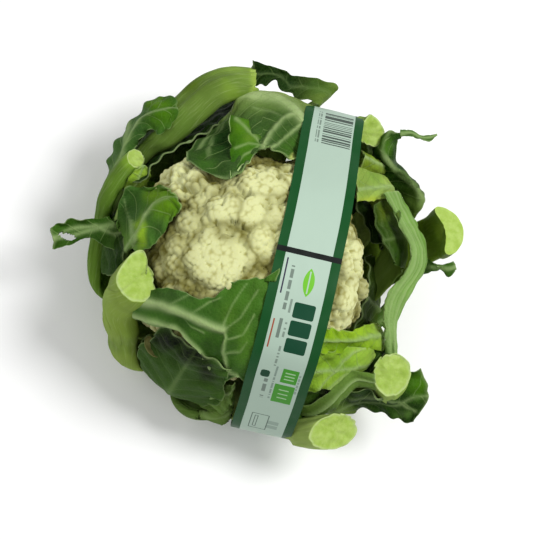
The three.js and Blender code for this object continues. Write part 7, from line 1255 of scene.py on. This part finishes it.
OVER_Y = at_z(272, 291, 133)[1]
LEAVES = [
    ("leaf_top_draped", ["B1", "B1f"], "leaf_mid"), ("leaf_inner_left", ["A5"], "leaf_mid"), ("leaf_inner_left_curl", ["A6"], "leaf_yellow_green"),
    ("leaf_lower_left_draped", ["E1", "E2"], "leaf_mid"), ("leaf_inner_lower_right_a", ["D1a"], "leaf_yellow_green"),
    ("leaf_inner_lower_right_b", ["D1b"], "leaf_yellow_green"), ("leaf_inner_upper_right", ["C4"], "leaf_yellow_green"),
    ("leaf_inner_right", ["C6"], "leaf_mid"), ("leaf_right_strap", ["D2", "C5"], "petiole_green"), ("leaf_upper_right_curl", ["C3"], "leaf_yellow_green"),
    ("leaf_outer_upper_left", ["A2"], "leaf_dark"), ("leaf_stub_upper_left", ["A1"], "petiole_green"), ("leaf_stub_left", ["A3"], "petiole_green"),
    ("leaf_outer_lower_left", ["E3", "E3b"], "leaf_dark"), ("leaf_inner_bottom", ["D5"], "leaf_yellow_green"), ("leaf_outer_lower_right", ["D3"], "leaf_dark"),
    ("leaf_stub_bottom", ["D4"], "petiole_green"), ("leaf_outer_upper_right", ["C2", "C2t"], "leaf_dark"), ("leaf_stub_right", ["C7"], "petiole_green"),
    ("leaf_curl_right", ["C8"], "leaf_dark"), ("leaf_stub_upper_right", ["C1"], "petiole_green"), ("leaf_wing_left", ["A4"], "leaf_dark"),
    ("leaf_dried_stub", ["DRY"], "dried_brown"), ("leaf_outer_top", ["B2"], "leaf_dark"),
    ("leaf_wrapper_upper_left", ["W1"], "leaf_dark"), ("leaf_wrapper_left", ["W2"], "leaf_dark"), ("leaf_wrapper_lower_left", ["W3"], "leaf_dark"),
    ("leaf_wrapper_lower_right", ["W4"], "leaf_mid"), ("leaf_wrapper_right", ["W5"], "leaf_mid"), ("leaf_wrapper_upper_right", ["W6"], "leaf_dark"),
]
for name, keys, sl in LEAVES:
    ob = join("v_" + name, [build_loft(k, O[k]) for k in keys])
    finish_piece(ob, name)


# ---------------------------------------------------------------- curd
def env_point(px, py):
    """where the view through an image point first meets the curd's envelope"""
    d = CR * ((px - 270) / FPX) + CU * ((270 - py) / FPX) - CB
    d /= np.linalg.norm(d)
    for t in np.arange(560, 900, 1.0):
        p = CAM + d * t
        q = p - CC
        R = np.linalg.norm(q)
        if R < curd_env(q / R):
            return p
    return None


def build_curd():
    florets = [  # image x, y, radius mm, how far it is sunk
        (205, 262, 27, 0), (168, 257, 18, 4), (216, 212, 19, 0.5), (250, 205, 19, 0), (264, 176, 20, 0), (182, 174, 19, 0), (162, 178, 15, -2), (154, 200, 14, 3),
        (199, 188, 15, 4), (184, 222, 14, 3), (262, 240, 17, 1), (279, 212, 16, 2), (204, 160, 15, 2), (231, 180, 14, 4), (358, 262, 19, 0),
        (350, 300, 18, 0), (343, 326, 16, 1), (350, 222, 14, 4), (300, 175, 19, 1), (305, 225, 22, 0), (308, 275, 24, 0), (290, 318, 20, 1),
        (322, 312, 18, 1), (240, 312, 22, 2), (200, 318, 20, 4), (163, 300, 18, 6), (252, 345, 19, 4), (300, 352, 20, 4), (148, 228, 16, 6),
        (232, 148, 17, 3), (272, 142, 17, 5), (330, 178, 17, 4), (330, 245, 16, 3), (381, 250, 15, 8), (382, 290, 15, 8), (372, 322, 14, 8),
        (376, 218, 14, 8), (154, 262, 14, 6),
    ]
    cen, rad = [], []
    for px, py, r, sink in florets:
        p = env_point(px, py)
        if p is None:
            continue
        q = p - CC
        R = np.linalg.norm(q)
        d = q / R
        cen.append(CC + d * (R - r * 0.95 - sink)); rad.append(r)
    # the sides and the back, out of sight
    g = (1 + 5 ** 0.5) / 2
    for i in range(90):
        z = 1 - 2 * (i + 0.5) / 90
        a = 2 * np.pi * i / g
        d = np.array([np.sqrt(1 - z * z) * np.cos(a), np.sqrt(1 - z * z) * np.sin(a), z])
        if z < -0.35:
            continue
        R = curd_env(d)
        r = 17 + 3 * RNG.random()
        c = CC + d * (R - r * 0.93 - 2 - 3 * RNG.random())
        if min(np.linalg.norm(c - x) for x in cen) > 24:
            cen.append(c); rad.append(r)
    for d, k_ in (((-0.69, 0.65, 0.34), 7.0), ((-0.58, 0.73, 0.34), 10.0)):
        d = np.array(d) / np.linalg.norm(d)
        cen.append(CC + d * (curd_env(d) - k_)); rad.append(12.5)
    cen, rad = np.array(cen), np.array(rad)

    N = 146
    k = np.tan(np.linspace(-1, 1, N + 1) * np.pi / 4)
    gx, gy = np.meshgrid(k, k, indexing="ij")
    top = np.stack([gx, gy, np.ones_like(gx)], -1)
    tid = np.arange((N + 1) ** 2).reshape(N + 1, N + 1)
    ring = np.concatenate([tid[:-1, 0], tid[-1, :-1], tid[1:, -1][::-1], tid[0, 1:][::-1]])
    # ring goes round the square; walk it downwards
    D = [top.reshape(-1, 3)]
    faces = [np.stack([tid[:-1, :-1], tid[1:, :-1], tid[1:, 1:], tid[:-1, 1:]], -1).reshape(-1, 4)]
    base = top.reshape(-1, 3)[ring]
    zs = list(np.tan(np.linspace(1, -0.5, int(N * 0.75))[1:] * np.pi / 4)) + [-0.52, -0.64, -0.78, -0.94]
    prev = ring
    cnt = (N + 1) ** 2
    for z in zs:
        row = base.copy(); row[:, 2] = z
        D.append(row)
        cur = np.arange(cnt, cnt + len(row)); cnt += len(row)
        faces.append(np.stack([prev, cur, np.roll(cur, -1), np.roll(prev, -1)], -1))
        prev = cur
    for s in (0.8, 0.6, 0.4, 0.2, 0.06):
        row = base.copy() * s; row[:, 2] = -1.0
        D.append(row)
        cur = np.arange(cnt, cnt + len(row)); cnt += len(row)
        faces.append(np.stack([prev, cur, np.roll(cur, -1), np.roll(prev, -1)], -1))
        prev = cur
    D = np.concatenate(D)
    D /= np.linalg.norm(D, axis=1, keepdims=True)
    F = np.concatenate(faces)

    def hit(D, cen, rad, best):
        """largest distance from CC along each direction to any of the spheres"""
        for c, r in zip(cen - CC, rad):
            tca = D @ c
            d2 = (c @ c) - tca ** 2
            m = (d2 < r * r) & (tca > 0)
            t = np.where(m, tca + np.sqrt(np.maximum(0, r * r - d2)), -1)
            best = np.maximum(best, t)
        return best

    env = curd_env(D)
    low = sstep(-0.42, -0.2, D[:, 2])
    floor_ = env - 10
    # florets are not true balls: their outlines wander
    Dw = D + 0.075 * np.stack([noise(D * 95, 17, 61), noise(D * 95, 17, 62), noise(D * 95, 17, 63)], -1) + 0.03 * np.stack([noise(D * 95, 7, 64), noise(D * 95, 7, 65), noise(D * 95, 7, 66)], -1)
    Dw /= np.linalg.norm(Dw, axis=1, keepdims=True)
    R1 = hit(Dw, cen, rad, floor_.copy())
    # where two florets meet there is a crease
    a1, a2 = np.full(len(D), -1.0), np.full(len(D), -1.0)
    for c, r in zip(cen - CC, rad):
        tca = Dw @ c
        d2_ = (c @ c) - tca ** 2
        t = np.where((d2_ < r * r) & (tca > 0), tca + np.sqrt(np.maximum(0, r * r - d2_)), -1)
        a2 = np.maximum(a2, np.minimum(a1, t))
        a1 = np.maximum(a1, t)
    crease = np.where(a2 > 0, np.exp(-((a1 - a2) / 2.4) ** 2), 0.0) * np.clip(0.62 + 0.9 * noise(D * 95, 24, 67), 0.1, 1.0)
    R1 = R1 - 2.2 * crease
    grow = 10.0 * np.exp(-((D[:, 0] + 0.66) ** 2 + (D[:, 1] - 0.66) ** 2) / 0.08)
    R1 = np.minimum(R1, env + 1.2 + grow)
    R1 = np.minimum(R1, env * 0 + 200)

    def scatter(n, jit, rng):
        i = np.arange(n) + 0.5
        z = 1 - (1.5) * i / n
        a = 2 * np.pi * i / g
        d = np.stack([np.sqrt(1 - z * z) * np.cos(a), np.sqrt(1 - z * z) * np.sin(a), z], -1)
        d += rng.normal(0, jit, d.shape)
        return d / np.linalg.norm(d, axis=1, keepdims=True)

    def radius_at(d, Dref, Rref):
        kd = kdtree.KDTree(len(Dref))
        step = 1
        for i in range(0, len(Dref), step):
            kd.insert(Dref[i], i)
        kd.balance()
        return np.array([Rref[kd.find(x)[1]] for x in d])

    # middle lobes
    d2 = scatter(430, 0.028, RNG)
    r2 = 6.5 + 3.0 * RNG.random(len(d2))
    base2 = radius_at(d2, D, R1)
    c2 = CC + d2 * (base2 - 0.62 * r2)[:, None]
    R2 = hit(D, c2, r2, R1 - 1.2)
    # beads
    nb = 5600
    d3 = scatter(nb, 0.010, RNG)
    r3 = 2.15 + 1.1 * RNG.random(nb)
    base3 = radius_at(d3, D, R2)
    c3 = d3 * (base3 - 0.55 * r3)[:, None]
    kd = kdtree.KDTree(nb)
    for i in range(nb):
        kd.insert(c3[i], i)
    kd.balance()
    R3 = R2 - 0.55
    P2 = D * R2[:, None]
    upper = np.where(D[:, 2] > -0.45)[0]
    for i in upper:
        best = R3[i]
        di = D[i]
        for co, j, dist in kd.find_n(P2[i], 6):
            r = r3[j]
            tca = di[0] * co[0] + di[1] * co[1] + di[2] * co[2]
            dd = (co[0] ** 2 + co[1] ** 2 + co[2] ** 2) - tca * tca
            if dd < r * r:
                t = tca + math.sqrt(r * r - dd)
                if t > best:
                    best = t
        R3[i] = best
    # underside: the branches that carry the florets, smooth ribs running to the stem
    az = np.arctan2(D[:, 1], D[:, 0])
    ribs = 2.2 * np.abs(np.sin(az * 6.5 + 0.6 * np.sin(az * 3))) * sstep(-0.95, -0.5, D[:, 2])
    Rlow = env - 6 + ribs
    R = R3 * low + Rlow * (1 - low)
    R = np.minimum(R, env + 2.0 + grow)
    P = CC + D * R[:, None]
    # colour: cream on the crowns, with painted shade in the creases: tan between the beads and lobes, darker olive deep
    # between the florets and along their creases
    deep = np.clip((env - R1) / 11.0, 0, 1)
    mid_ = np.clip((R1 - R2 + 1.2) / 3.5 + 0.15, 0, 1)
    bead = np.clip((R3 - R2 + 0.55) / 1.5, 0, 1)
    cream, tan_shade, olive_shade = lin((206, 209, 154)), lin((156, 152, 84)), lin((92, 88, 26))
    nl = noise(P, 26, 3)
    t1 = np.clip(deep * 1.05 + 0.10 * nl + 0.24 * crease, 0, 1) ** 1.1
    t2 = np.clip(0.72 * (1 - bead) ** 0.8 + 0.35 * mid_ * (1 - bead) + 0.02, 0, 1)
    C = cream + (tan_shade - cream) * np.clip(t2 + t1 * 0.6, 0, 1)[:, None]
    C = C + (olive_shade - C) * np.clip(t1 * 0.75 + 0.25 * t2 * t1, 0, 0.9)[:, None]
    green = lin((176, 190, 132))
    C = C + (green - C) * (1 - low)[:, None] * 0.8
    C *= (1 + 0.05 * noise(P, 5, 9))[:, None]
    # painted shadow: the florets under the right-hand leaves, and a small patch near the tip of the top leaf, are
    # turned a darker olive green where those leaves shade them
    gx_, gy_ = image_xy(P)
    painted_leaf_shadow = 0.75 * np.exp(-(((gx_ - 386) / 15) ** 2 + ((gy_ - 265) / 60) ** 2) ** 1.5) + 0.35 * np.exp(-(((gx_ - 285) / 14) ** 2 + ((gy_ - 160) / 10) ** 2))
    C = C + (lin((112, 118, 32)) * (C.sum(1, keepdims=True) / lin((206, 209, 154)).sum()) ** 0.5 - C) * np.clip(painted_leaf_shadow, 0, 1)[:, None]
    ob = make_object("v_curd", P, F, cols={"Col": np.clip(C, 0.002, 1)}, mats=(curd_material(),))
    return ob


finish_piece(build_curd(), "curd")


# ---------------------------------------------------------------- stem
def build_stem():
    n, rows = 96, []
    zs = [0, 0.5, 1.0] + list(np.linspace(2.5, 50, 26))
    V = []
    for z in zs:
        r = 18.9 + 3.0 * sstep(20, 50, z) - (0.7 if z == 0 else 0.2 if z == 0.5 else 0)
        for j in range(n):
            a = 2 * np.pi * j / n
            p = np.array([np.cos(a), np.sin(a), 0])
            rr = r * (1 + 0.018 * math.cos(3 * a + 0.4)) + (0.35 * noise(np.array([[p[0] * 20, p[1] * 20, z * 0.4]]), 5, 4)[0] if z > 1 else 0)
            V.append([p[0] * rr, p[1] * rr, z])
    F = []
    m = len(zs)
    for i in range(m - 1):
        for j in range(n):
            F.append([i * n + j, i * n + (j + 1) % n, (i + 1) * n + (j + 1) % n, (i + 1) * n + j])
    # rings across the flat cut, and across the top
    prev = list(range(n))
    for s in (0.85, 0.65, 0.4, 0.15):
        st = len(V)
        for j in range(n):
            V.append([V[j][0] * s, V[j][1] * s, 0.0])
        for j in range(n):
            F.append([prev[j], st + j, st + (j + 1) % n, prev[(j + 1) % n]])
        prev = list(range(st, st + n))
    F.append(prev[::-1])
    F.append([(m - 1) * n + j for j in range(n)])
    V = np.array(V)
    rr = np.hypot(V[:, 0], V[:, 1])
    onflat = (V[:, 2] < 0.01)
    skin, core, ringc = lin((176, 194, 140)), lin((222, 226, 186)), lin((160, 178, 96))
    t = np.clip((rr - 12.5) / 4.0, 0, 1)
    C = np.where(onflat[:, None], core + (ringc - core) * (np.exp(-((rr - 14.5) / 1.5) ** 2) * 0.7)[:, None], skin)
    ob = make_object("v_stem", V, F, attrs={"blade": np.zeros(len(V)), "vabs": np.zeros(len(V))}, cols={"Col": C},
                     uv=np.stack([V[:, 2], np.arctan2(V[:, 1], V[:, 0]) * 20], -1), sharp=40, mats=(LEAF,))
    return ob


finish_piece(build_stem(), "stem")


# ---------------------------------------------------------------- band
def band_material(total):
    m, nt, b = new_mat("band_film")
    uvn = coords(nt, "UV")
    sep = nt.nodes.new("ShaderNodeSeparateXYZ")
    nt.links.new(uvn.s, sep.inputs[0])
    s, w = X(nt, sep.outputs[0]), X(nt, sep.outputs[1])   # mm along and across

    def box_(s0, s1, w0, w1):
        return ((s - (s0 + s1) / 2).abs().lt((s1 - s0) / 2)) * ((w - (w0 + w1) / 2).abs().lt((w1 - w0) / 2))

    def rbox(s0, s1, w0, w1, r):
        qx = (s - (s0 + s1) / 2).abs() - ((s1 - s0) / 2 - r)
        qy = (w - (w0 + w1) / 2).abs() - ((w1 - w0) / 2 - r)
        ax, ay = qx.max(0.0), qy.max(0.0)
        d = (ax * ax + ay * ay).sqrt() + qx.max(qy).min(0.0)
        return d.lt(r), d.abs()

    def disc(s0, w0, r):
        a, c = s - s0, w - w0
        return (a * a + c * c).lt(r * r)

    def rnd(val, seed):
        n = nt.nodes.new("ShaderNodeTexWhiteNoise")
        n.noise_dimensions = "2D"
        cmb = nt.nodes.new("ShaderNodeCombineXYZ")
        nt.links.new(val.s, cmb.inputs[0])
        cmb.inputs[1].default_value = seed
        nt.links.new(cmb.outputs[0], n.inputs["Vector"])
        return X(nt, n.outputs["Value"])

    white, dark = (166, 187, 171), (0, 68, 20)
    ink, grey = (14, 20, 20), (84, 100, 94)
    col = mix(nt, w.abs().gt(15.4), white, dark)
    # bar pattern
    bars = box_(8, 47, -6.5, 14.2) * rnd((s / 0.62).floor(), 3.0).gt(0.47)
    col = mix(nt, bars * 0.86, col, ink)
    bars0 = box_(8, 47, -11.5, -8.6) * rnd((s / 1.5).floor(), 5.0).gt(0.35) * rnd((w / 0.7).floor(), 6.0).gt(0.3)
    col = mix(nt, bars0 * 0.55, col, ink)
    # plain rules and dashes where small print runs
    for s0, s1, w0, w1, c, k, cell in (
        (155, 204, -9.6, -7.4, ink, 0.62, 1.5), (172, 226, -5.6, -4.1, ink, 0.5, 1.3), (226, 262, -3.4, -2.0, grey, 0.6, 1.0),
        (240, 262, -9.0, -6.4, ink, 0.6, 1.2), (229, 250, 13.0, 14.4, grey, 0.55, 1.0), (286, 300, 2.0, 10.0, grey, 0.4, 1.1)):
        d = box_(s0, s1, w0, w1) * rnd((s / cell).floor(), w0).gt(0.3)
        col = mix(nt, d * k, col, c)
    col = mix(nt, box_(150.5, 174.5, -13.6, -12.6), col, (40, 30, 60))
    col = mix(nt, box_(191.5, 212, -13.6, -12.6), col, (150, 70, 45))
    # a plain leaf shape
    leafm = disc(164, -7.0, 14.2) * disc(164, 14.0, 14.2)
    rib_ = (w - 3.5).abs().lt(0.45) * (s - 164).abs().lt(7.5)
    col = mix(nt, leafm, col, (104, 178, 40))
    col = mix(nt, leafm * rib_, col, white)
    # three plain dark squares
    for a0 in (178, 190.2, 202.4):
        mk, _ = rbox(a0, a0 + 10.4, -2.4, 11.8, 1.4)
        col = mix(nt, mk, col, (4, 62, 38))
    mk, _ = rbox(231.5, 238.5, -12.6, -6.4, 2.0)
    col = mix(nt, mk, col, (6, 58, 34))
    # two green squares with plain pale stripes
    for a0, a1, w0, w1 in ((226.5, 240.5, 1.5, 12.5), (243, 263.5, -1.0, 12.8)):
        mk, _ = rbox(a0, a1, w0, w1, 0.5)
        col = mix(nt, mk, col, (60, 140, 30))
        cs, cw, h = (a0 + a1) / 2, (w0 + w1) / 2, (a1 - a0) / 2
        for k in (-0.45, 0.0, 0.45):
            col = mix(nt, box_(cs + k * h - 0.55, cs + k * h + 0.55, cw - 3.4, cw + 3.4) * 0.8, col, (170, 204, 160))
    mk, dd = rbox(281, 303, -11.5, 3.5, 1.5)
    col = mix(nt, (dd.lt(0.35)) * 0.8, col, (50, 66, 60))
    mk, dd = rbox(284, 300, -8.5, -4.5, 1.0)
    col = mix(nt, (dd.lt(0.3)) * 0.8, col, (50, 66, 60))
    # the black registration bar
    col = mix(nt, (s - 145.2).abs().lt(1.95), col, (3, 4, 4))
    n1 = tex_noise(nt, coords(nt), 60, 3, 0.5)
    col = mix(nt, (0.05 * n1).clamp(), col, (150, 168, 158))
    nt.links.new(col.s, b.inputs["Base Color"])
    b.inputs["Roughness"].default_value = 0.40
    b.inputs["Specular IOR Level"].default_value = 0.12
    n2 = tex_noise(nt, scaled(nt, coords(nt), (1, 0.35, 1)), 45, 3, 0.5)
    nt.links.new(bump(nt, n2, 0.25, 0.002).s, b.inputs["Normal"])
    return m


def build_band():
    L0 = np.vstack([BLOOP, BLOOP[:1]])
    s0 = np.r_[0, np.cumsum(np.linalg.norm(np.diff(L0, axis=0), axis=1))]
    total = s0[-1]
    n = 420
    t = np.linspace(0, total, n + 1)[:-1]
    C2 = np.stack([np.interp(t, s0, L0[:, 0]), np.interp(t, s0, L0[:, 1])], -1)
    for _ in range(36):
        C2 = 0.5 * C2 + 0.25 * (np.roll(C2, 1, 0) + np.roll(C2, -1, 0))
    T = np.roll(C2, -1, 0) - np.roll(C2, 1, 0)
    T /= np.linalg.norm(T, axis=1, keepdims=True)
    Nn = np.stack([T[:, 1], -T[:, 0]], -1)
    sg = np.sign((Nn * (C2 - np.array([0, -2]))).sum(1).mean())
    Nn *= sg
    nw = 25
    wv = np.linspace(-21.8, 21.8, nw)
    def put(a, b, w): return BC + a[..., None] * BE1 + b[..., None] * BE2 + w[..., None] * BN
    S, W = np.meshgrid(t, wv, indexing="ij")
    wob = 0.25 * noise(np.stack([S, W, 0 * S], -1), 24, 31) + 0.10 * noise(np.stack([S, W * 2, 0 * S], -1), 9, 32) + 0.3
    a = C2[:, None, 0] + Nn[:, None, 0] * wob
    b = C2[:, None, 1] + Nn[:, None, 1] * wob
    edgew = 0.35 * noise(np.stack([S, 0 * S, 0 * S], -1), 30, 33)
    Po = put(a + Nn[:, None, 0] * 0.16, b + Nn[:, None, 1] * 0.16, W + edgew)
    Pi = put(a - Nn[:, None, 0] * 0.08, b - Nn[:, None, 1] * 0.08, W + edgew)
    npt = n * nw
    V = np.concatenate([Po.reshape(-1, 3), Pi.reshape(-1, 3)])
    idx = np.arange(npt).reshape(n, nw)
    nx = np.roll(idx, -1, 0)
    q = np.stack([idx[:, :-1], idx[:, 1:], nx[:, 1:], nx[:, :-1]], -1).reshape(-1, 4)
    qi = q[:, ::-1] + npt
    w0 = np.stack([idx[:, 0], nx[:, 0], nx[:, 0] + npt, idx[:, 0] + npt], -1)
    w1 = np.stack([nx[:, -1], idx[:, -1], idx[:, -1] + npt, nx[:, -1] + npt], -1)
    F = np.concatenate([q, qi, w0, w1])
    if sg > 0:
        F = F[:, ::-1]
    ob = make_object("v_label_band", V, F, sharp=60, mats=(band_material(total),))
    # print coordinates per corner, so that the seam where the loop closes stays clean
    me = ob.data
    lay = me.uv_layers.new(name="UVMap")
    li = np.zeros(len(me.loops), np.int32); me.loops.foreach_get("vertex_index", li)
    sv = np.concatenate([S.ravel()] * 2)[li]; wv_ = np.concatenate([W.ravel()] * 2)[li]
    st = np.zeros(len(me.polygons), np.int32); me.polygons.foreach_get("loop_start", st)
    k4 = st[:, None] + np.arange(4)
    fs = sv[k4]
    wrap = (fs.max(1) - fs.min(1)) > total / 2
    fs[wrap] = np.where(fs[wrap] < total / 2, fs[wrap] + total, fs[wrap])
    sv[k4.ravel()] = fs.ravel()
    lay.data.foreach_set("uv", np.stack([sv, wv_], -1).astype(np.float32).ravel())
    return ob


finish_piece(build_band(), "label_band")

# ---------------------------------------------------------------- floor, light, camera
bpy.ops.mesh.primitive_plane_add(size=8, location=(0, 0, 0))
floor = bpy.context.object
floor.name = "floor"
fm, fnt, fb = new_mat("floor_pale")
fb.inputs["Base Color"].default_value = (0.95, 0.95, 0.95, 1)
fb.inputs["Roughness"].default_value = 0.8
fb.inputs["Specular IOR Level"].default_value = 0.1
floor.data.materials.append(fm)

scene = bpy.context.scene
world = bpy.data.worlds.new("studio")
scene.world = world
world.use_nodes = True
bg = world.node_tree.nodes["Background"]
bg.inputs[0].default_value = (1, 1, 1, 1)
bg.inputs[1].default_value = 0.45


def area(name, loc, size, power, target=(0, 0, 0.09)):
    l = bpy.data.lights.new(name, "AREA")
    l.shape = "DISK"
    l.size = size
    l.energy = power
    o_ = bpy.data.objects.new(name, l)
    scene.collection.objects.link(o_)
    o_.location = loc
    o_.rotation_mode = "QUATERNION"
    o_.rotation_quaternion = (Vector(target) - Vector(loc)).to_track_quat("-Z", "Y")
    return o_


area("key", (0.60, 0.08, 1.25), 0.50, 13.6)
area("fill", (-0.8, 0.0, 1.1), 1.0, 4.4)

cam = bpy.data.cameras.new("camera")
cam.sensor_width = 36
cam.lens = 36 * FPX / 540
co = bpy.data.objects.new("camera", cam)
scene.collection.objects.link(co)
M = Matrix(((CR[0], CU[0], CB[0], CAM[0] * MM), (CR[1], CU[1], CB[1], CAM[1] * MM), (CR[2], CU[2], CB[2], CAM[2] * MM), (0, 0, 0, 1)))
co.matrix_world = M
cam.clip_start, cam.clip_end = 0.05, 20
scene.camera = co
scene.view_settings.view_transform = "Standard"
